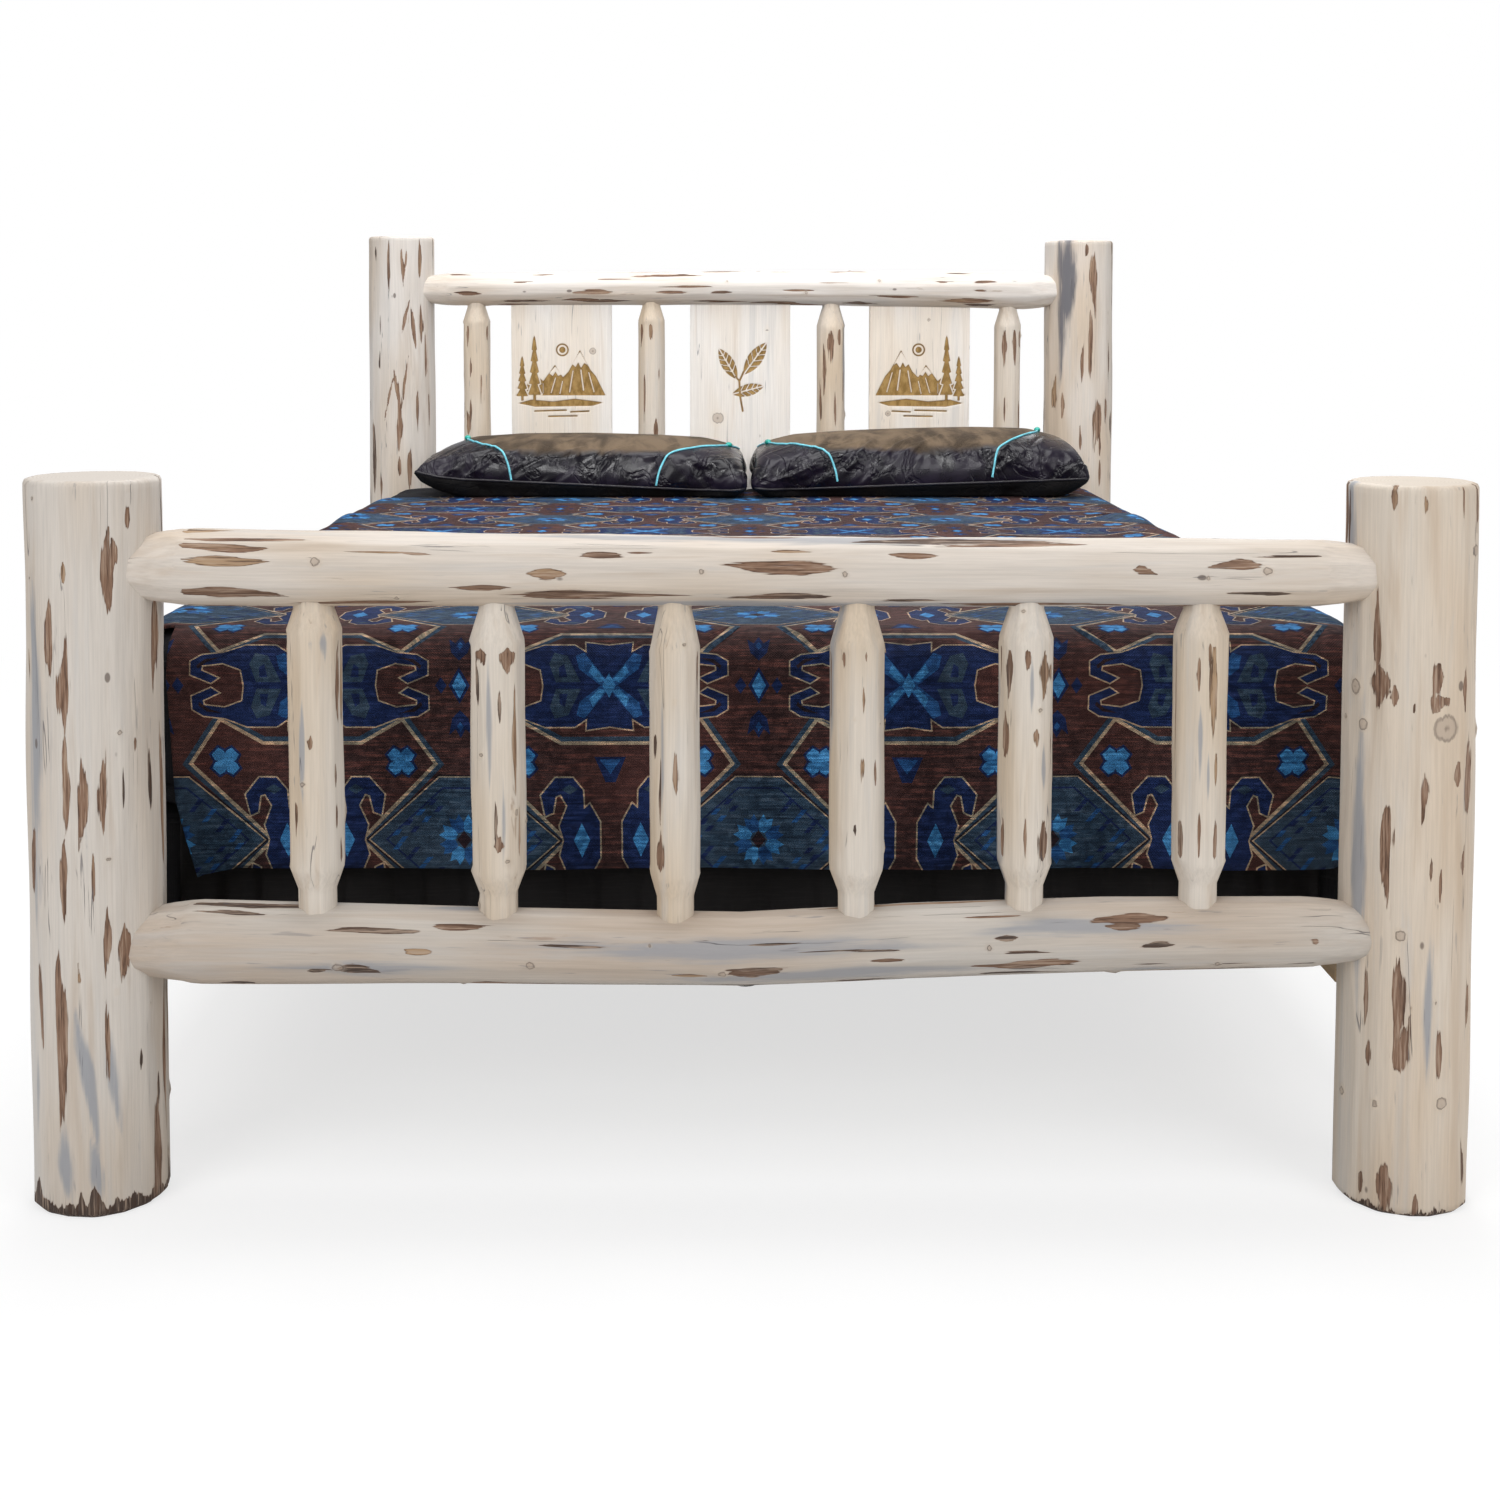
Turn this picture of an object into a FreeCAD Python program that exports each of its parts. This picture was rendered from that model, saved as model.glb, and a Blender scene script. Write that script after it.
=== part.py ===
"""Rustic log bed with its foundation, mattress, coverlet and two pillows, in millimetres.

The origin is the middle of the floor under the bed. +X points to the right as seen from the
foot, +Y points to the head and +Z points up. Peeled logs are lofted through circles; each tenon
is cut out of the log that holds it with one named clearance.
"""

import FreeCAD, Part
import math
import os

# The mattress is the size that the frame is built round
mattress_width = 1520.0
mattress_length = 2010.0
mattress_side_gap = 8.0
mattress_foot_gap = 39.4
mattress_head_gap = 30.0
post_overhang = 70.0
rail_setback = 17.0
fit_clearance = 0.3
hole_clearance = 0.1
cut_overrun = 20.0

# Posts: height, base radius, then rows of (share of height, share of radius, sideways share of
# radius). A positive sideways share leans the post to the right.
post_edge_round = 6.0
post_base_round = 5.0
post_turn_share = 0.3
foot_left_post_height = 841.0
foot_left_post_radius = 77.3
foot_left_post_shares = ((0.0, 1.0, 0.0), (0.5, 1.0, 0.03), (1.0, 0.995, 0.075))
foot_right_post_height = 835.5
foot_right_post_radius = 75.8
foot_right_post_shares = (
    (0.0, 1.0, 0.0),
    (0.3, 0.99, -0.01),
    (0.62, 0.985, -0.012),
    (1.0, 0.956, -0.044),
)
head_left_post_height = 1185.0
head_left_post_radius = 75.0
head_left_post_shares = ((0.0, 1.0, 0.0), (0.55, 0.985, 0.0), (1.0, 0.965, 0.02))
head_right_post_height = 1176.0
head_right_post_radius = 77.0
head_right_post_shares = ((0.0, 1.0, 0.0), (0.6, 1.0, 0.0), (1.0, 0.985, -0.01))

# Rails between the posts: diameter, axis height, then rows of (share of the full-bodied length,
# share of diameter, rise as a share of diameter)
foot_top_rail_diameter = 80.0
foot_top_rail_height = 734.0
foot_top_rail_shares = (
    (0.0, 1.11, 0.056),
    (0.22, 1.06, 0.03),
    (0.5, 1.0, 0.0),
    (0.75, 0.985, -0.012),
    (1.0, 0.971, -0.025),
)
foot_bottom_rail_diameter = 86.0
foot_bottom_rail_height = 300.0
foot_bottom_rail_shares = (
    (0.0, 1.113, 0.03),
    (0.27, 1.0, -0.023),
    (0.49, 0.977, -0.07),
    (0.64, 0.988, 0.043),
    (0.82, 0.988, 0.128),
    (1.0, 0.93, 0.166),
)
head_top_rail_diameter = 76.0
head_top_rail_height = 1070.0
head_top_rail_shares = (
    (0.0, 0.967, -0.026),
    (0.3, 0.98, 0.0),
    (0.55, 1.0, 0.013),
    (0.8, 1.05, -0.02),
    (1.0, 1.086, -0.066),
)
head_bottom_rail_diameter = 84.0
head_bottom_rail_height = 420.0
head_bottom_rail_shares = ((0.0, 1.02, 0.02), (0.35, 0.98, -0.02), (0.7, 1.0, 0.0), (1.0, 1.03, 0.03))

# Rail ends: a rounded nose outside the post, a cone inside it, then a straight tenon
nose_length = 50.0
nose_shares = ((0.0, 1.0), (0.35, 0.975), (0.7, 0.93), (1.0, 0.87))
nose_inside = 40.0
nose_inside_share = 0.76
rail_tenon_radius = 30.0
rail_tenon_past_axis = 8.0
tenon_shoulder = 1.5

# Spindles: place as a share of the half gap between the posts, then shares of the diameter
# for the body and the top neck, then the top taper
spindle_tenon_depth = 33.0
spindle_foot_neck = 20.0
spindle_foot_taper = 26.0
spindle_foot_neck_radius = 22.0
spindle_top_collar = 3.0
spindle_swell_shares = ((0.0, 1.0), (0.35, 1.015), (0.7, 0.985), (1.0, 1.0))
foot_spindle_diameter = 63.0
foot_spindle_top_taper = 36.0
foot_spindle_shares = (
    (-0.731, 1.0, 0.74, 0.75),
    (-0.425, 1.01, 0.64, 1.1),
    (-0.128, 0.93, 0.67, 1.3),
    (0.178, 1.0, 0.64, 1.15),
    (0.461, 0.99, 0.65, 1.0),
    (0.754, 1.0, 0.66, 0.85),
)
head_spindle_diameter = 62.0
head_spindle_top_taper = 40.0
head_spindle_shares = (
    (-0.863, 0.99, 0.66, 0.9),
    (-0.291, 0.985, 0.68, 0.85),
    (0.297, 1.02, 0.62, 1.1),
    (0.876, 0.955, 0.68, 0.9),
)

# Headboard panels, held in grooves of the two head rails
panel_width = 224.0
panel_thickness = 19.0
panel_groove_depth = 12.0
panel_place_shares = (-0.585, 0.0, 0.587)
panel_names = ("left", "centre", "right")

# Side rails: half logs with the flat side inwards
side_rail_bottom = 190.0
side_rail_height = 140.0
side_rail_thickness = 56.0
side_rail_thickness_shares = ((0.0, 1.0), (0.45, 1.04), (1.0, 0.94))
post_flat_offset = 60.0
post_flat_margin = 6.0

# Hooked steel plates that join a side rail to a post
plate_thickness = 4.0
plate_width = 38.0
plate_height = 128.0
plate_screw_inset = 9.0
hook_width = 3.0
hook_height = 22.0
hook_reach = 12.0
hook_lip = 8.0
hook_spacing = 52.0
slot_side_gap = 1.0
slot_lift_room = 10.0
hook_pocket_margin = 4.0

# Wood screws
plate_screw_radius = 2.4
plate_screw_length = 32.0
ledger_screw_radius = 3.0
ledger_screw_length = 68.0
slat_screw_radius = 2.2
slat_screw_length = 40.0
leg_screw_radius = 2.6
leg_screw_length = 62.0
screw_head_share = 2.0
screw_head_depth_share = 1.0
screw_head_sink = 0.3

# Ledgers, slats and centre legs
ledger_width = 38.0
ledger_height = 35.0
ledger_length = 1920.0
ledger_rise = 5.0
ledger_screw_place_shares = (-0.94, -0.62, -0.21, 0.21, 0.62, 0.94)
slat_thickness = 19.0
slat_width = 89.0
slat_end_gap = 11.0
slat_count = 5
slat_pitch = 395.0
slat_screw_inset = 13.0
leg_count = 3
leg_side = 44.0
leg_screw_half_gap = 12.0
leveller_pad_radius = 19.0
leveller_pad_height = 8.0
leveller_travel_gap = 18.0
leveller_stem_radius = 5.0
leveller_stem_in_leg = 26.0
insert_radius = 7.0
insert_length = 18.0
insert_bore_gap = 0.4
stem_hole_spare = 4.0

# Foundation, mattress and skirt
seat_clearance = 0.3
foundation_side_inset = 2.5
foundation_foot_inset = 15.0
foundation_head_inset = 5.0
foundation_height = 165.0
foundation_corner = 60.0
foundation_edge = 10.0
mattress_height = 220.0
mattress_corner = 90.0
mattress_edge = 60.0
skirt_thickness = 2.0
skirt_tape_height = 12.0
skirt_top_drop = 2.0
skirt_hem_rise = 3.0
skirt_stand_off = 9.0
skirt_pleat_depth = 4.5
skirt_pleat_count = 42

# Coverlet
coverlet_thickness = 8.0
coverlet_side_gap = 8.0
coverlet_shoulder = 60.0
coverlet_hem_gap = 25.0
coverlet_hem_flare = 12.0
coverlet_fold_depth = 7.0
coverlet_foot_fold_depth = 4.0
coverlet_foot_left_inset = 55.0
coverlet_foot_right_inset = 48.0
coverlet_hem_draw_in = 22.0
coverlet_head_left_gap = 345.0
coverlet_head_right_gap = 80.0
coverlet_side_fold_shares = (0.09, 0.11, 0.08, 0.12, 0.1, 0.13, 0.09, 0.1, 0.08, 0.1)
coverlet_foot_fold_shares = (0.11, 0.14, 0.12, 0.15, 0.13, 0.12, 0.13, 0.1)

# Pillows: rows of (share of width, share of half depth, share of fullness, seam height share)
pillow_width = 684.0
pillow_half_depth = 202.0
pillow_back_gap = 9.0
pillow_meeting_x = 17.0
pillow_between = 8.0
pillow_left_crest = 104.0
pillow_right_crest = 117.0
pillow_sag = 8.0
pillow_seam_thickness = 5.0
pillow_end_draw_in = 9.0
pillow_left_shares = (
    (0.0, 0.97, 0.0, 0.56),
    (0.03, 1.0, 0.14, 0.55),
    (0.12, 0.99, 0.66, 0.51),
    (0.3, 0.965, 0.96, 0.44),
    (0.5, 0.955, 1.0, 0.38),
    (0.7, 0.965, 0.95, 0.32),
    (0.88, 0.99, 0.72, 0.25),
    (0.97, 1.0, 0.22, 0.2),
    (1.0, 0.97, 0.0, 0.19),
)
pillow_right_shares = (
    (0.0, 0.97, 0.0, 0.17),
    (0.03, 1.0, 0.2, 0.18),
    (0.12, 0.99, 0.66, 0.24),
    (0.3, 0.965, 0.9, 0.32),
    (0.5, 0.955, 0.97, 0.38),
    (0.7, 0.965, 1.0, 0.45),
    (0.88, 0.99, 0.78, 0.47),
    (0.97, 1.0, 0.2, 0.38),
    (1.0, 0.97, 0.0, 0.34),
)

# Places that follow from the sizes above
rail_inner_half_gap = mattress_width / 2 + mattress_side_gap
bed_width = 2 * (rail_inner_half_gap + post_overhang)
foot_post_radius = max(foot_left_post_radius, foot_right_post_radius)
head_post_radius = max(head_left_post_radius, head_right_post_radius)
space_length = mattress_foot_gap + mattress_length + mattress_head_gap
bed_length = 2 * foot_post_radius + space_length + 2 * head_post_radius
foot_post_y = -(bed_length / 2 - foot_post_radius)
head_post_y = bed_length / 2 - head_post_radius
mattress_foot_end = foot_post_y + foot_post_radius + mattress_foot_gap
mattress_head_end = mattress_foot_end + mattress_length
foot_left_post_x = -(bed_width / 2 - foot_left_post_radius)
foot_right_post_x = bed_width / 2 - foot_right_post_radius
post_spread_x = min(-foot_left_post_x, foot_right_post_x)
foot_rail_y = foot_post_y - rail_setback
head_rail_y = head_post_y - rail_setback
half_span_clear = post_spread_x - foot_left_post_radius
side_rail_middle_z = side_rail_bottom + side_rail_height / 2
plate_middle_x = rail_inner_half_gap + plate_width / 2
ledger_bottom = side_rail_bottom + ledger_rise
ledger_top = ledger_bottom + ledger_height
slat_top = ledger_top + slat_thickness
foundation_width = mattress_width - 2 * foundation_side_inset
foundation_foot_end = mattress_foot_end + foundation_foot_inset
foundation_head_end = mattress_head_end - foundation_head_inset
foundation_bottom = slat_top + seat_clearance
foundation_top = foundation_bottom + foundation_height
mattress_bottom = foundation_top + seat_clearance
mattress_top = mattress_bottom + mattress_height
coverlet_bottom = mattress_top + seat_clearance
coverlet_top = coverlet_bottom + coverlet_thickness
coverlet_hem_height = side_rail_bottom + side_rail_height + coverlet_hem_gap
coverlet_foot_left = -(mattress_width / 2 - coverlet_foot_left_inset)
coverlet_foot_right = mattress_width / 2 - coverlet_foot_right_inset
coverlet_head_left = mattress_head_end - coverlet_head_left_gap
coverlet_head_right = mattress_head_end - coverlet_head_right_gap
skirt_half_width = foundation_width / 2 - foundation_corner
skirt_hem_height = foundation_bottom + skirt_hem_rise
head_rail_radius = head_bottom_rail_diameter / 2 * max(row[1] for row in head_bottom_rail_shares)
pillow_middle_y = head_rail_y - head_rail_radius - pillow_back_gap - pillow_half_depth
pillow_left_middle_x = pillow_meeting_x - (pillow_between + pillow_width) / 2
pillow_right_middle_x = pillow_meeting_x + (pillow_between + pillow_width) / 2
stem_hole_depth = leveller_stem_in_leg + leveller_travel_gap + stem_hole_spare


def vec(x, y, z):
    return FreeCAD.Vector(x, y, z)


def place(axis, along, across, up):
    """The point at a distance along a log's axis; across and up are its two other coordinates."""
    if axis == "X":
        return vec(along, across, up)
    return vec(across, up, along)


def log_solid(axis, stations):
    """A closed log through circles; each station is (along, radius, across, up)."""
    direction = vec(1, 0, 0) if axis == "X" else vec(0, 0, 1)
    wires = []
    for along, radius, across, up in stations:
        centre = place(axis, along, across, up)
        wires.append(Part.Wire([Part.makeCircle(radius, centre, direction)]))
    return Part.makeLoft(wires, True, True)


def box(x0, x1, y0, y1, z0, z1):
    return Part.makeBox(x1 - x0, y1 - y0, z1 - z0, vec(x0, y0, z0))


def joined(shapes):
    """Separate solids kept together in one node."""
    return Part.makeCompound(shapes)


def fused(shapes):
    """Touching solids made into one."""
    whole = shapes[0].fuse(shapes[1:])
    return whole.removeSplitter()


def write(node, shape):
    if not shape.isValid() or not shape.Solids:
        raise ValueError("not a sound solid: " + node)
    shape.exportStep("parts/" + node + ".step")


# Posts
def post_solid(centre_x, centre_y, height, radius, rows):
    """A post with an eased base edge and a rounded top edge."""
    body = []
    for share, radius_share, side_share in rows:
        body.append((share * height, radius * radius_share, centre_x + radius * side_share, centre_y))
    base = body[0]
    top = body[-1]
    first = (0.0, base[1] - post_base_round, base[2], centre_y)
    second = (post_base_round, base[1], base[2], centre_y)
    shoulder = (height - post_edge_round, top[1], top[2], centre_y)
    round_step = post_edge_round * post_turn_share
    turn = (height - round_step, top[1] - round_step, top[2], centre_y)
    last = (height, top[1] - post_edge_round, top[2], centre_y)
    return log_solid("Z", [first, second] + body[1:-1] + [shoulder, turn, last])


def flat_seat(post_x, post_y, towards):
    """The wood milled off a post where a side rail's plate seats, towards +1 or -1 in Y."""
    flat_y = post_y + towards * post_flat_offset
    far_y = flat_y + towards * (post_flat_offset + cut_overrun)
    low_z = side_rail_bottom - post_flat_margin
    high_z = side_rail_bottom + side_rail_height + post_flat_margin
    reach = head_right_post_radius + cut_overrun
    return box(post_x - reach, post_x + reach, min(flat_y, far_y), max(flat_y, far_y), low_z, high_z)


# Rails with round tenons
def rail_stations(y, height, diameter, rows, left_x, left_radius, right_x, right_radius, grow):
    """The circles of a rail, from its left tenon tip to its right tenon tip."""
    left_edge = left_x + left_radius
    right_edge = right_x - right_radius
    body_start = left_edge + nose_length
    body_length = right_edge - left_edge - 2 * nose_length
    stations = []
    for share, size_share, rise_share in rows:
        radius = diameter / 2 * size_share + grow
        stations.append((body_start + share * body_length, radius, y, height + rise_share * diameter))
    left_end = rail_end(stations[0], left_edge, left_x, 1, grow)
    right_end = rail_end(stations[-1], right_edge, right_x, -1, grow)
    return left_end + stations + right_end[::-1]


def rail_end(body_station, edge_x, post_x, inwards, grow):
    """The nose, cone and tenon at one end, tip first; inwards is +1 at the left end."""
    full_radius = body_station[1] - grow
    y = body_station[2]
    z = body_station[3]
    cone_end = edge_x - inwards * nose_inside
    tip = post_x - inwards * (rail_tenon_past_axis + grow)
    shoulder = cone_end - inwards * tenon_shoulder
    stations = [(tip, rail_tenon_radius + grow, y, z), (shoulder, rail_tenon_radius + grow, y, z)]
    stations.append((cone_end, full_radius * nose_inside_share + grow, y, z))
    for share, size_share in nose_shares[:0:-1]:
        along = edge_x + inwards * nose_length * (1 - share)
        stations.append((along, full_radius * size_share + grow, y, z))
    return stations


def station_at(stations, along):
    """Radius and axis height of a rail at one place along it."""
    for before, after in zip(stations, stations[1:]):
        if before[0] <= along <= after[0]:
            share = (along - before[0]) / (after[0] - before[0])
            radius = before[1] + share * (after[1] - before[1])
            height = before[3] + share * (after[3] - before[3])
            return radius, height
    raise ValueError("outside the rail")


# Spindles
def spindle_solid(x, y, low_rail, high_rail, diameter, neck_share, taper, grow):
    """A spindle whose two necks stand in round sockets of the rails."""
    low_radius, low_axis = station_at(low_rail, x)
    high_radius, high_axis = station_at(high_rail, x)
    low_face = low_axis + low_radius
    high_face = high_axis - high_radius
    radius = diameter / 2
    neck_top = radius * neck_share
    body_low = low_face + spindle_foot_neck + spindle_foot_taper
    body_high = high_face - taper
    stations = [(low_face - spindle_tenon_depth - grow, spindle_foot_neck_radius + grow, x, y)]
    stations.append((low_face + spindle_foot_neck, spindle_foot_neck_radius + grow, x, y))
    for share, size_share in spindle_swell_shares:
        along = body_low + share * (body_high - body_low)
        stations.append((along, radius * size_share + grow, x, y))
    stations.append((high_face - spindle_top_collar, neck_top + grow, x, y))
    stations.append((high_face + spindle_tenon_depth + grow, neck_top + grow, x, y))
    return log_solid("Z", stations)


# Screws
def screw(head_point, direction, radius, length, grow=0.0):
    """A countersunk screw; head_point is the middle of its flat head."""
    head_radius = radius * screw_head_share + grow
    head_depth = radius * screw_head_depth_share * screw_head_share
    head = Part.makeCone(head_radius, radius + grow, head_depth, head_point, direction)
    shank = Part.makeCylinder(radius + grow, length + grow, head_point, direction)
    pieces = [shank, head]
    if grow:
        above = head_point - direction * cut_overrun
        pieces.append(Part.makeCylinder(head_radius, cut_overrun, above, direction))
    return fused(pieces)


def screws(places, radius, length, grow=0.0):
    """Solids for a list of (head point, direction)."""
    return [screw(point, direction, radius, length, grow) for point, direction in places]


# Side rails, plates and hooks
def half_log_wire(side, y, thickness):
    """The flat inner face as a chord and the bark side as one arc."""
    inner = side * rail_inner_half_gap
    outer = side * (rail_inner_half_gap + thickness)
    low = vec(inner, y, side_rail_bottom)
    high = vec(inner, y, side_rail_bottom + side_rail_height)
    crest = vec(outer, y, side_rail_middle_z)
    return Part.Wire([Part.makeLine(low, high), Part.Arc(high, crest, low).toShape()])


def side_rail_solid(side, start_y, end_y):
    wires = []
    for share, thickness_share in side_rail_thickness_shares:
        y = start_y + share * (end_y - start_y)
        wires.append(half_log_wire(side, y, side_rail_thickness * thickness_share))
    return Part.makeLoft(wires, True, True)


def hook_heights():
    """The height of the lower edge of each hook finger."""
    lowest = side_rail_middle_z - hook_spacing / 2 - hook_height / 2
    return (lowest, lowest + hook_spacing)


def post_plate_solid(side, face_y, outwards):
    """The slotted plate on a post; outwards is the way the plate faces, +1 or -1 in Y."""
    middle_x = side * plate_middle_x
    far_y = face_y + outwards * plate_thickness
    low_y = min(face_y, far_y)
    high_y = max(face_y, far_y)
    half_height = plate_height / 2
    plate = box(
        middle_x - plate_width / 2,
        middle_x + plate_width / 2,
        low_y,
        high_y,
        side_rail_middle_z - half_height,
        side_rail_middle_z + half_height,
    )
    slot_half = hook_width / 2 + slot_side_gap
    for low_z in hook_heights():
        slot = box(
            middle_x - slot_half,
            middle_x + slot_half,
            low_y - cut_overrun,
            high_y + cut_overrun,
            low_z - fit_clearance,
            low_z + hook_height + slot_lift_room,
        )
        plate = plate.cut(slot)
    return plate


def hook_pocket(side, face_y, outwards):
    """The hollow behind a post plate that takes the hooks."""
    middle_x = side * plate_middle_x
    deep_y = face_y - outwards * (hook_reach + hook_pocket_margin)
    near_y = face_y + outwards * cut_overrun
    half_width = hook_width / 2 + hook_pocket_margin
    low_z = hook_heights()[0] - hook_lip - hook_pocket_margin
    high_z = hook_heights()[1] + hook_height + slot_lift_room
    low_y = min(deep_y, near_y)
    high_y = max(deep_y, near_y)
    return box(middle_x - half_width, middle_x + half_width, low_y, high_y, low_z, high_z)


def rail_hook_solid(side, face_y, outwards):
    """The hooked plate on a side rail's end; face_y is where it meets the post plate."""
    middle_x = side * plate_middle_x
    far_y = face_y + outwards * plate_thickness
    half_height = plate_height / 2
    pieces = [
        box(
            middle_x - plate_width / 2,
            middle_x + plate_width / 2,
            min(face_y, far_y),
            max(face_y, far_y),
            side_rail_middle_z - half_height,
            side_rail_middle_z + half_height,
        )
    ]
    behind = plate_thickness + fit_clearance
    for low_z in hook_heights():
        outline = (
            (0.0, low_z),
            (behind, low_z),
            (behind, low_z - hook_lip),
            (plate_thickness + hook_reach, low_z - hook_lip / 2),
            (plate_thickness + hook_reach, low_z + hook_height / 2),
            (behind, low_z + hook_height),
            (0.0, low_z + hook_height),
        )
        points = [vec(middle_x - hook_width / 2, face_y - outwards * depth, z) for depth, z in outline]
        face = Part.Face(Part.makePolygon(points + points[:1]))
        pieces.append(face.extrude(vec(hook_width, 0, 0)))
    return fused(pieces)


def plate_screw_places(side, face_y, into):
    """Four countersunk screws near a plate's corners; into is the way they point in Y."""
    places = []
    for x_sign in (-1, 1):
        for z_sign in (-1, 1):
            x = side * plate_middle_x + x_sign * (plate_width / 2 - plate_screw_inset)
            z = side_rail_middle_z + z_sign * (plate_height / 2 - plate_screw_inset)
            places.append((vec(x, face_y + into * screw_head_sink, z), vec(0, into, 0)))
    return places


# Cloth strips that hang from a straight top to a wavy hem
def strip_wire(points, inner, outer, folds):
    """One closed edge loop of a strip: out along its inner face and back along its outer face.

    points are (along, depth) fold ends in order; folds gives each stretch's bulge, zero for a
    straight stretch. inner and outer turn (along, depth) into a point in space.
    """
    edges = []
    for start, end, bulge in zip(points, points[1:], folds):
        edges.append(strip_edge(inner, start, end, bulge))
    edges.append(Part.makeLine(inner(points[-1]), outer(points[-1])))
    for start, end, bulge in reversed(list(zip(points, points[1:], folds))):
        edges.append(strip_edge(outer, end, start, bulge))
    edges.append(Part.makeLine(outer(points[0]), inner(points[0])))
    return Part.Wire(edges)


def strip_edge(face, start, end, bulge):
    """A straight stretch, or an arc that bulges by the given depth."""
    if bulge == 0:
        return Part.makeLine(face(start), face(end))
    middle = ((start[0] + end[0]) / 2, (start[1] + end[1]) / 2 + bulge)
    return Part.Arc(face(start), face(middle), face(end)).toShape()


def hanging_strip(to_space, top, hem, top_z, hem_z, shares, fold_depth, thickness):
    """A drop of cloth; top and hem are (start, end, depth), depth outwards from the bed."""
    wires = []
    for start, end, depth, z, fold in ((*top, top_z, 0.0), (*hem, hem_z, fold_depth)):
        points = [(start, depth)]
        reached = 0.0
        for share in shares:
            reached += share
            points.append((start + (end - start) * reached / sum(shares), depth))
        folds = [fold if index % 2 else -fold for index in range(len(shares))]
        inner = strip_face(to_space, z, 0.0)
        outer = strip_face(to_space, z, thickness)
        wires.append(strip_wire(points, inner, outer, folds))
    return Part.makeLoft(wires, True, True)


def strip_face(to_space, z, thickness):
    """The function that puts one face of a strip in space at one height."""

    def point_in_space(point):
        return to_space(point[0], point[1] + thickness, z)

    return point_in_space


def foot_space(along, depth, z):
    """A strip across the foot end: along is X and depth points away from the bed."""
    return vec(along, -depth, z)


def left_space(along, depth, z):
    return vec(-depth, along, z)


def right_space(along, depth, z):
    return vec(depth, along, z)


def coverlet_solid():
    """Top, three shoulders and three drops in one sheet, open at the two foot corners."""
    half_outer = mattress_width / 2 + coverlet_side_gap + coverlet_thickness
    half_inner = half_outer - coverlet_thickness
    foot_outer = mattress_foot_end - coverlet_side_gap - coverlet_thickness
    turn_y = foot_outer + coverlet_shoulder
    flat_half = half_outer - coverlet_shoulder
    turn_z = coverlet_top - coverlet_shoulder
    head_y = max(coverlet_head_left, coverlet_head_right)
    diagonal = math.sqrt(0.5)
    inner_round = coverlet_shoulder - coverlet_thickness

    def shoulder_arc(side, radius, reverse):
        start = vec(side * (flat_half + radius), turn_y, turn_z)
        middle = vec(side * (flat_half + radius * diagonal), turn_y, turn_z + radius * diagonal)
        end = vec(side * flat_half, turn_y, turn_z + radius)
        arc = Part.Arc(end, middle, start) if reverse else Part.Arc(start, middle, end)
        return arc.toShape()

    edges = [
        shoulder_arc(-1, coverlet_shoulder, False),
        Part.makeLine(vec(-flat_half, turn_y, coverlet_top), vec(flat_half, turn_y, coverlet_top)),
        shoulder_arc(1, coverlet_shoulder, True),
        Part.makeLine(vec(half_outer, turn_y, turn_z), vec(half_inner, turn_y, turn_z)),
        shoulder_arc(1, inner_round, False),
        Part.makeLine(vec(flat_half, turn_y, coverlet_bottom), vec(-flat_half, turn_y, coverlet_bottom)),
        shoulder_arc(-1, inner_round, True),
        Part.makeLine(vec(-half_inner, turn_y, turn_z), vec(-half_outer, turn_y, turn_z)),
    ]
    top = Part.Face(Part.Wire(edges)).extrude(vec(0, head_y - turn_y, 0))

    def foot_point(radius, share):
        angle = share * math.pi / 2
        return vec(coverlet_foot_left, turn_y - radius * math.sin(angle), turn_z + radius * math.cos(angle))

    outer_points = [foot_point(coverlet_shoulder, share) for share in (0, 0.5, 1)]
    inner_points = [foot_point(inner_round, share) for share in (1, 0.5, 0)]
    foot_edges = [
        Part.Arc(*outer_points).toShape(),
        Part.makeLine(outer_points[-1], inner_points[0]),
        Part.Arc(*inner_points).toShape(),
        Part.makeLine(inner_points[-1], outer_points[0]),
    ]
    foot_width = coverlet_foot_right - coverlet_foot_left
    foot_shoulder = Part.Face(Part.Wire(foot_edges)).extrude(vec(foot_width, 0, 0))

    foot_inner = -(foot_outer + coverlet_thickness)
    hem_left = coverlet_foot_left + coverlet_hem_draw_in
    hem_right = coverlet_foot_right - coverlet_hem_draw_in / 2
    foot_drop = hanging_strip(
        foot_space,
        (coverlet_foot_left, coverlet_foot_right, foot_inner),
        (hem_left, hem_right, foot_inner + coverlet_hem_flare / 2),
        turn_z,
        coverlet_hem_height,
        coverlet_foot_fold_shares,
        coverlet_foot_fold_depth,
        coverlet_thickness,
    )
    pieces = [top, foot_shoulder, foot_drop]
    for side_space in (left_space, right_space):
        drop = hanging_strip(
            side_space,
            (turn_y, head_y, half_inner),
            (turn_y + coverlet_hem_draw_in, head_y, half_inner + coverlet_hem_flare),
            turn_z,
            coverlet_hem_height,
            coverlet_side_fold_shares,
            coverlet_fold_depth,
            coverlet_thickness,
        )
        pieces.append(drop)
    sheet = fused(pieces)
    reach = half_outer + coverlet_hem_flare + cut_overrun
    slope = (coverlet_head_right - coverlet_head_left) / (2 * half_outer)
    corners = [
        vec(-reach, coverlet_head_left - slope * (reach - half_outer), 0),
        vec(reach, coverlet_head_right + slope * (reach - half_outer), 0),
        vec(reach, mattress_head_end + cut_overrun, 0),
        vec(-reach, mattress_head_end + cut_overrun, 0),
    ]
    beyond = Part.Face(Part.makePolygon(corners + corners[:1]))
    return sheet.cut(beyond.extrude(vec(0, 0, coverlet_top + cut_overrun)))


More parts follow.
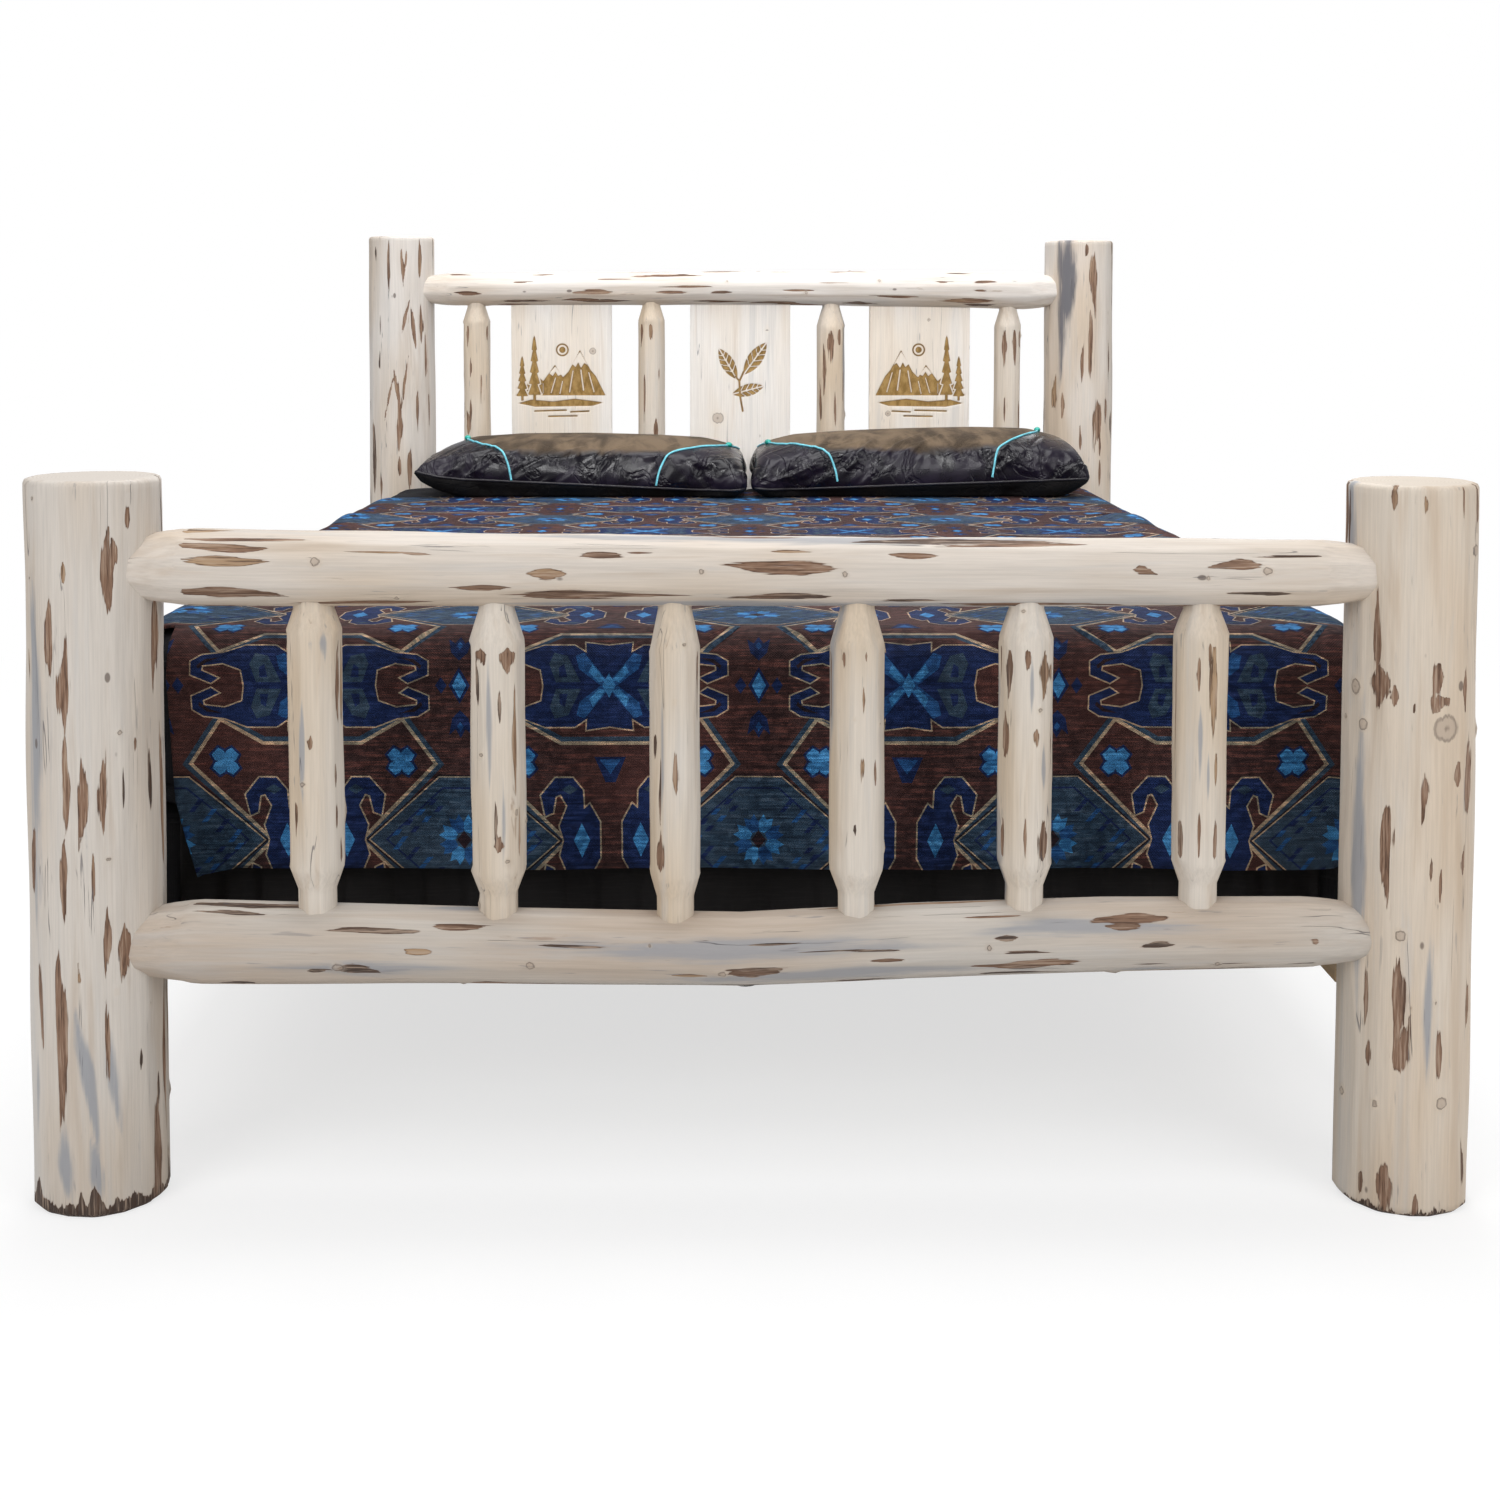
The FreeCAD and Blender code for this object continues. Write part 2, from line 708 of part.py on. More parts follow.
def skirt_solid():
    """The pleated skirt at the foot end, with a flat tape against the foundation."""
    tape_y = -(foundation_foot_end - seat_clearance)
    top_z = foundation_top - skirt_top_drop
    pleat_z = top_z - skirt_tape_height
    tape = box(-skirt_half_width, skirt_half_width, -tape_y - skirt_thickness, -tape_y, pleat_z, top_z)
    pleats = hanging_strip(
        foot_space,
        (-skirt_half_width, skirt_half_width, tape_y),
        (-skirt_half_width, skirt_half_width, tape_y + skirt_stand_off),
        pleat_z,
        skirt_hem_height,
        [1.0] * skirt_pleat_count,
        skirt_pleat_depth,
        skirt_thickness,
    )
    return fused([tape, pleats])


def padded_block(width, foot_end, head_end, bottom, height, corner, edge):
    """A block with rounded upright corners and soft top and bottom edges."""
    block = box(-width / 2, width / 2, foot_end, head_end, bottom, bottom + height)
    upright = [e for e in block.Edges if abs(e.tangentAt(e.FirstParameter).z) > 0.5]
    block = block.makeFillet(corner, upright)
    level = [e for e in block.Edges if abs(e.BoundBox.ZMax - e.BoundBox.ZMin) < edge]
    return block.makeFillet(edge, level)


def pillow_solid(middle_x, crest, rows):
    """A crowned pillow through lens-shaped sections, flat where it rests."""
    rest_z = coverlet_top + seat_clearance
    left_x = middle_x - pillow_width / 2
    wires = []
    for share, depth_share, fullness, seam_share in rows:
        x = left_x + share * pillow_width
        half = pillow_half_depth * depth_share
        seam_z = rest_z + seam_share * crest
        rise = max((crest * (1 - seam_share)) * fullness, pillow_seam_thickness / 2)
        sag = max((seam_share * crest + pillow_sag) * fullness, pillow_seam_thickness / 2)
        front = vec(x, pillow_middle_y - half, seam_z)
        back = vec(x, pillow_middle_y + half, seam_z)
        top = vec(x, pillow_middle_y, seam_z + rise)
        under = vec(x, pillow_middle_y, seam_z - sag)
        upper = Part.Arc(front, top, back).toShape()
        lower = Part.Arc(back, under, front).toShape()
        wires.append(Part.Wire([upper, lower]))
    pillow = Part.makeLoft(wires, True, False)
    reach = pillow_width
    low_y = pillow_middle_y - reach
    high_y = pillow_middle_y + reach
    under_rest = box(middle_x - reach, middle_x + reach, low_y, high_y, rest_z - reach, rest_z)
    pillow = pillow.cut(under_rest)
    draw_radius = (pillow_half_depth**2 + pillow_end_draw_in**2) / (2 * pillow_end_draw_in)
    for side in (-1, 1):
        end_x = middle_x + side * (pillow_width / 2 - pillow_end_draw_in + draw_radius)
        bite = Part.makeCylinder(draw_radius, reach, vec(end_x, pillow_middle_y, rest_z - reach / 2))
        pillow = pillow.cut(bite)
    return pillow


def make_frame_logs():
    """Posts, rails, spindles and panels, each cut for what it holds."""
    foot_left_sizes = (foot_left_post_height, foot_left_post_radius, foot_left_post_shares)
    foot_right_sizes = (foot_right_post_height, foot_right_post_radius, foot_right_post_shares)
    head_left_sizes = (head_left_post_height, head_left_post_radius, head_left_post_shares)
    head_right_sizes = (head_right_post_height, head_right_post_radius, head_right_post_shares)
    posts = {
        "foot_post_left": (foot_left_post_x, foot_post_y, *foot_left_sizes),
        "foot_post_right": (foot_right_post_x, foot_post_y, *foot_right_sizes),
        "head_post_left": (-post_spread_x, head_post_y, *head_left_sizes),
        "head_post_right": (post_spread_x, head_post_y, *head_right_sizes),
    }
    foot_ends = (foot_left_post_x, foot_left_post_radius, foot_right_post_x, foot_right_post_radius)
    head_ends = (-post_spread_x, head_left_post_radius, post_spread_x, head_right_post_radius)
    foot_top_sizes = (foot_top_rail_height, foot_top_rail_diameter, foot_top_rail_shares)
    foot_bottom_sizes = (foot_bottom_rail_height, foot_bottom_rail_diameter, foot_bottom_rail_shares)
    head_top_sizes = (head_top_rail_height, head_top_rail_diameter, head_top_rail_shares)
    head_bottom_sizes = (head_bottom_rail_height, head_bottom_rail_diameter, head_bottom_rail_shares)
    rails = {
        "foot_top_rail": (foot_rail_y, *foot_top_sizes, *foot_ends),
        "foot_bottom_rail": (foot_rail_y, *foot_bottom_sizes, *foot_ends),
        "head_top_rail": (head_rail_y, *head_top_sizes, *head_ends),
        "head_bottom_rail": (head_rail_y, *head_bottom_sizes, *head_ends),
    }
    exact = {name: rail_stations(*values, 0.0) for name, values in rails.items()}
    grown = {name: log_solid("X", rail_stations(*values, fit_clearance)) for name, values in rails.items()}
    rail_solids = {name: log_solid("X", stations) for name, stations in exact.items()}

    groups = (
        ("foot", foot_rail_y, foot_spindle_diameter, foot_spindle_top_taper, foot_spindle_shares),
        ("head", head_rail_y, head_spindle_diameter, head_spindle_top_taper, head_spindle_shares),
    )
    for end, y, diameter, taper, rows in groups:
        low_name = end + "_bottom_rail"
        high_name = end + "_top_rail"
        for number, (side_share, size_share, neck_share, taper_share) in enumerate(rows, 1):
            values = (side_share * half_span_clear, y, exact[low_name], exact[high_name])
            shape = (diameter * size_share, neck_share, taper * taper_share)
            write(f"{end}_spindle_{number}", spindle_solid(*values, *shape, 0.0))
            socket = spindle_solid(*values, *shape, fit_clearance)
            rail_solids[low_name] = rail_solids[low_name].cut(socket)
            rail_solids[high_name] = rail_solids[high_name].cut(socket)

    for panel_name, side_share in zip(panel_names, panel_place_shares):
        x = side_share * half_span_clear
        low_radius, low_axis = station_at(exact["head_bottom_rail"], x)
        high_radius, high_axis = station_at(exact["head_top_rail"], x)
        limits = (
            x - panel_width / 2,
            x + panel_width / 2,
            head_rail_y - panel_thickness / 2,
            head_rail_y + panel_thickness / 2,
            low_axis + low_radius - panel_groove_depth,
            high_axis - high_radius + panel_groove_depth,
        )
        outwards = (-1, 1, -1, 1, -1, 1)
        grown_limits = [value + fit_clearance * way for value, way in zip(limits, outwards)]
        write("head_panel_" + panel_name, box(*limits))
        groove = box(*grown_limits)
        for rail_name in ("head_bottom_rail", "head_top_rail"):
            rail_solids[rail_name] = rail_solids[rail_name].cut(groove)

    for name, solid in rail_solids.items():
        write(name, solid)

    for name, values in posts.items():
        solid = post_solid(*values)
        end, _, side_name = name.split("_")
        for level in ("top", "bottom"):
            solid = solid.cut(grown[f"{end}_{level}_rail"])
        side = -1 if side_name == "left" else 1
        towards = 1 if end == "foot" else -1
        face_y = values[1] + towards * post_flat_offset
        solid = solid.cut(flat_seat(values[0], values[1], towards))
        solid = solid.cut(hook_pocket(side, face_y, towards))
        places = plate_screw_places(side, face_y + towards * plate_thickness, -towards)
        for hole in screws(places, plate_screw_radius, plate_screw_length, hole_clearance):
            solid = solid.cut(hole)
        write(name, solid)


def make_side_rails():
    """Half-log side rails with ledgers, steel plates, hooks and their screws."""
    foot_face = foot_post_y + post_flat_offset
    head_face = head_post_y - post_flat_offset
    rail_start = foot_face + 2 * plate_thickness
    rail_end_y = head_face - 2 * plate_thickness
    post_screws = []
    hook_screws = []
    ledger_screws = []
    for side_name, side in (("left", -1), ("right", 1)):
        rail = side_rail_solid(side, rail_start, rail_end_y)
        for end, face_y, outwards in (("foot", foot_face, 1), ("head", head_face, -1)):
            meeting_y = face_y + outwards * plate_thickness
            back_y = meeting_y + outwards * plate_thickness
            post_places = plate_screw_places(side, meeting_y, -outwards)
            hook_places = plate_screw_places(side, meeting_y, outwards)
            post_plate = post_plate_solid(side, face_y, outwards)
            hook_plate = rail_hook_solid(side, meeting_y, outwards)
            for hole in screws(post_places, plate_screw_radius, plate_screw_length, hole_clearance):
                post_plate = post_plate.cut(hole)
            for hole in screws(hook_places, plate_screw_radius, plate_screw_length, hole_clearance):
                hook_plate = hook_plate.cut(hole)
                rail = rail.cut(hole)
            write(f"post_plate_{end}_{side_name}", post_plate)
            write(f"rail_hook_{end}_{side_name}", hook_plate)
            post_screws += screws(post_places, plate_screw_radius, plate_screw_length)
            hook_screws += screws(hook_places, plate_screw_radius, plate_screw_length)

        inner = side * rail_inner_half_gap
        edge = inner - side * ledger_width
        half_ledger = ledger_length / 2
        ledger = box(min(inner, edge), max(inner, edge), -half_ledger, half_ledger, ledger_bottom, ledger_top)
        middle_z = (ledger_bottom + ledger_top) / 2
        places = []
        for share in ledger_screw_place_shares:
            point = vec(edge + side * screw_head_sink, share * ledger_length / 2, middle_z)
            places.append((point, vec(side, 0, 0)))
        for hole in screws(places, ledger_screw_radius, ledger_screw_length, hole_clearance):
            ledger = ledger.cut(hole)
            rail = rail.cut(hole)
        for hole in screws(slat_screw_places(side), slat_screw_radius, slat_screw_length, hole_clearance):
            ledger = ledger.cut(hole)
        ledger_screws += screws(places, ledger_screw_radius, ledger_screw_length)
        write("side_rail_" + side_name, rail)
        write("ledger_" + side_name, ledger)
    write("post_plate_screws", joined(post_screws))
    write("rail_hook_screws", joined(hook_screws))
    write("ledger_screws", joined(ledger_screws))


def slat_places():
    """The Y of each slat's middle, from foot to head."""
    middle = (slat_count - 1) / 2
    return [(index - middle) * slat_pitch for index in range(slat_count)]


def slat_screw_places(side):
    """One countersunk screw at each slat end, down into the ledger."""
    half_length = rail_inner_half_gap - slat_end_gap
    x = side * (half_length - slat_screw_inset)
    return [(vec(x, y, slat_top - screw_head_sink), vec(0, 0, -1)) for y in slat_places()]


def leg_screw_places(leg_y):
    head_z = slat_top - screw_head_sink
    return [(vec(sign * leg_screw_half_gap, leg_y, head_z), vec(0, 0, -1)) for sign in (-1, 1)]


def make_slats_and_legs():
    """Slats on the ledgers, and under the middle three a leg with a screw leveller."""
    half_length = rail_inner_half_gap - slat_end_gap
    slat_bottom = ledger_top
    first_leg = (slat_count - leg_count) // 2
    slat_fixings = []
    leg_fixings = []
    inserts = []
    for index, y in enumerate(slat_places()):
        slat = box(-half_length, half_length, y - slat_width / 2, y + slat_width / 2, slat_bottom, slat_top)
        places = [slat_screw_places(side)[index] for side in (-1, 1)]
        for hole in screws(places, slat_screw_radius, slat_screw_length, hole_clearance):
            slat = slat.cut(hole)
        slat_fixings += screws(places, slat_screw_radius, slat_screw_length)
        leg_index = index - first_leg
        if 0 <= leg_index < leg_count:
            leg_bottom = leveller_pad_height + leveller_travel_gap
            half_side = leg_side / 2
            leg = box(-half_side, half_side, y - half_side, y + half_side, leg_bottom, slat_bottom)
            holes = screws(leg_screw_places(y), leg_screw_radius, leg_screw_length, hole_clearance)
            for hole in holes:
                slat = slat.cut(hole)
                leg = leg.cut(hole)
            leg_fixings += screws(leg_screw_places(y), leg_screw_radius, leg_screw_length)
            base = vec(0, y, leg_bottom)
            up = vec(0, 0, 1)
            stem_bore = leveller_stem_radius + insert_bore_gap
            insert_bore = insert_radius + hole_clearance
            leg = leg.cut(Part.makeCylinder(stem_bore, stem_hole_depth, base, up))
            leg = leg.cut(Part.makeCylinder(insert_bore, insert_length + hole_clearance, base, up))
            sleeve = Part.makeCylinder(insert_radius, insert_length, base, up)
            stem_gap = Part.makeCylinder(leveller_stem_radius + hole_clearance, insert_length, base, up)
            inserts.append(sleeve.cut(stem_gap))
            pad = Part.makeCylinder(leveller_pad_radius, leveller_pad_height, vec(0, y, 0), up)
            pad = pad.makeChamfer(leveller_pad_height / 4, [e for e in pad.Edges if e.BoundBox.ZMin > 0])
            stem_length = leveller_travel_gap + leveller_stem_in_leg
            stem = Part.makeCylinder(leveller_stem_radius, stem_length, vec(0, y, leveller_pad_height), up)
            number = leg_index + 1
            write(f"centre_leg_{number}", leg)
            write(f"leg_leveller_{number}", fused([pad, stem]))
        write(f"slat_{index + 1}", slat)
    write("slat_screws", joined(slat_fixings))
    write("leg_screws", joined(leg_fixings))
    write("leveller_inserts", joined(inserts))


def make_bedding():
    """Foundation with its foot skirt, mattress with its coverlet, and two pillows."""
    foundation = padded_block(
        foundation_width,
        foundation_foot_end,
        foundation_head_end,
        foundation_bottom,
        foundation_height,
        foundation_corner,
        foundation_edge,
    )
    mattress = padded_block(
        mattress_width,
        mattress_foot_end,
        mattress_head_end,
        mattress_bottom,
        mattress_height,
        mattress_corner,
        mattress_edge,
    )
    write("foundation", foundation)
    write("foot_skirt", skirt_solid())
    write("mattress", mattress)
    write("coverlet", coverlet_solid())
    write("pillow_left", pillow_solid(pillow_left_middle_x, pillow_left_crest, pillow_left_shares))
    write("pillow_right", pillow_solid(pillow_right_middle_x, pillow_right_crest, pillow_right_shares))


os.makedirs("parts", exist_ok=True)
make_frame_logs()
make_side_rails()
make_slats_and_legs()
make_bedding()
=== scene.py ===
"""Looks of a rustic log bed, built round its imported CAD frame, in metres.

+X points to the right as seen from the foot, +Y points to the head and +Z points up. Logs are
skins of rings on the same circles as the CAD logs, with shaved flats, knots and bark left on.
"""

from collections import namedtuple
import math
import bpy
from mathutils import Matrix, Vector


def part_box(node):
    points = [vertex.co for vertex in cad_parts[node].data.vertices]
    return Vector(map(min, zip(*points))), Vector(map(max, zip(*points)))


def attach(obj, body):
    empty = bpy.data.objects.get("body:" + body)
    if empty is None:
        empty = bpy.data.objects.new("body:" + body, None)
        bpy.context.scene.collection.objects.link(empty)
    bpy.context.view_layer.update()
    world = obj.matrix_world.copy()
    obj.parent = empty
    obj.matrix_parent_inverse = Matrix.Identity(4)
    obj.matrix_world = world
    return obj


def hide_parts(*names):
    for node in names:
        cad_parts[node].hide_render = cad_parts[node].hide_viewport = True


bl_info = {
    "name": "Rustic Log Bed",
    "version": (1, 0, 0),
    "blender": (4, 5, 0),
    "location": "View3D > Sidebar > Log Bed",
    "description": "Builds the logs, boards, bedding and stage of a rustic log bed",
    "category": "Object",
}

import bpy
import numpy as np
from bpy.props import FloatProperty, FloatVectorProperty, IntProperty, PointerProperty
from mathutils import Vector
from mathutils.bvhtree import BVHTree
from mathutils.geometry import delaunay_2d_cdt

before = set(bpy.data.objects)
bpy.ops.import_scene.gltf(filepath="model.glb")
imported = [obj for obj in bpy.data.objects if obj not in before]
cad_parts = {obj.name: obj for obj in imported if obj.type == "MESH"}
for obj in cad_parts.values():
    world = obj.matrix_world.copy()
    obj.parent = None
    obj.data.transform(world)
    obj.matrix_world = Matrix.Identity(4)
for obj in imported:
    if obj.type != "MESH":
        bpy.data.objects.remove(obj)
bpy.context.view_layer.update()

# Camera and stage
camera_place = (-0.025, -3.4189, 1.0409)
camera_pitch = 0.0662
camera_lens = 48.35
camera_shift = (0.014, -0.21)

# Posts: place, height, radius and rows of (share of height, share of radius, sideways share)
post_rows = {
    "foot_post_left": (
        (-0.7607, -1.1167, 0.841, 0.0773),
        ((0.0, 1.0, 0.0), (0.5, 1.0, 0.03), (1.0, 0.995, 0.075)),
    ),
    "foot_post_right": (
        (0.7622, -1.1167, 0.8355, 0.0758),
        ((0.0, 1.0, 0.0), (0.3, 0.99, -0.01), (0.62, 0.985, -0.012), (1.0, 0.956, -0.044)),
    ),
    "head_post_left": (
        (-0.7607, 1.117, 1.185, 0.075),
        ((0.0, 1.0, 0.0), (0.55, 0.985, 0.0), (1.0, 0.965, 0.02)),
    ),
    "head_post_right": (
        (0.7607, 1.117, 1.176, 0.077),
        ((0.0, 1.0, 0.0), (0.6, 1.0, 0.0), (1.0, 0.985, -0.01)),
    ),
}
post_edge_round = 0.006
post_base_round = 0.005
post_turn_share = 0.3
post_flat_offset = 0.060
post_flat_low = 0.184
post_flat_high = 0.336

# Rails: height, diameter, row of posts and rows of (share of length, share of diameter, rise)
rail_rows = {
    "foot_top_rail": (
        (0.734, 0.080, -1.1337, "foot"),
        ((0.0, 1.11, 0.056), (0.22, 1.06, 0.03), (0.5, 1.0, 0.0), (0.75, 0.985, -0.012),
         (1.0, 0.971, -0.025)),
    ),
    "foot_bottom_rail": (
        (0.300, 0.086, -1.1337, "foot"),
        (
            (0.0, 1.113, 0.03),
            (0.27, 1.0, -0.023),
            (0.49, 0.977, -0.07),
            (0.64, 0.988, 0.043),
            (0.82, 0.988, 0.128),
            (1.0, 0.93, 0.166),
        ),
    ),
    "head_top_rail": (
        (1.070, 0.076, 1.100, "head"),
        ((0.0, 0.967, -0.026), (0.3, 0.98, 0.0), (0.55, 1.0, 0.013), (0.8, 1.05, -0.02),
         (1.0, 1.086, -0.066)),
    ),
    "head_bottom_rail": (
        (0.420, 0.084, 1.100, "head"),
        ((0.0, 1.02, 0.02), (0.35, 0.98, -0.02), (0.7, 1.0, 0.0), (1.0, 1.03, 0.03)),
    ),
}
nose_length = 0.050
nose_shares = ((0.0, 1.0), (0.35, 0.975), (0.7, 0.93), (1.0, 0.87))
nose_inside = 0.040
nose_inside_share = 0.76
rail_tenon_radius = 0.030

# Spindles: rows of (share of the half gap, then shares of the diameter, the neck and the taper)
half_span_clear = 0.6834
spindle_rows = {
    "foot": (
        (0.063, 0.036, -1.1337),
        (
            (-0.731, 1.0, 0.74, 0.75),
            (-0.425, 1.01, 0.64, 1.1),
            (-0.128, 0.93, 0.67, 1.3),
            (0.178, 1.0, 0.64, 1.15),
            (0.461, 0.99, 0.65, 1.0),
            (0.754, 1.0, 0.66, 0.85),
        ),
    ),
    "head": (
        (0.062, 0.040, 1.100),
        (
            (-0.863, 0.99, 0.66, 0.9),
            (-0.291, 0.985, 0.68, 0.85),
            (0.297, 1.02, 0.62, 1.1),
            (0.876, 0.955, 0.68, 0.9),
        ),
    ),
}
spindle_tenon_depth = 0.033
spindle_foot_neck = 0.020
spindle_foot_taper = 0.026
spindle_foot_neck_radius = 0.022
spindle_top_collar = 0.003
spindle_swell_shares = ((0.0, 1.0), (0.35, 1.015), (0.7, 0.985), (1.0, 1.0))
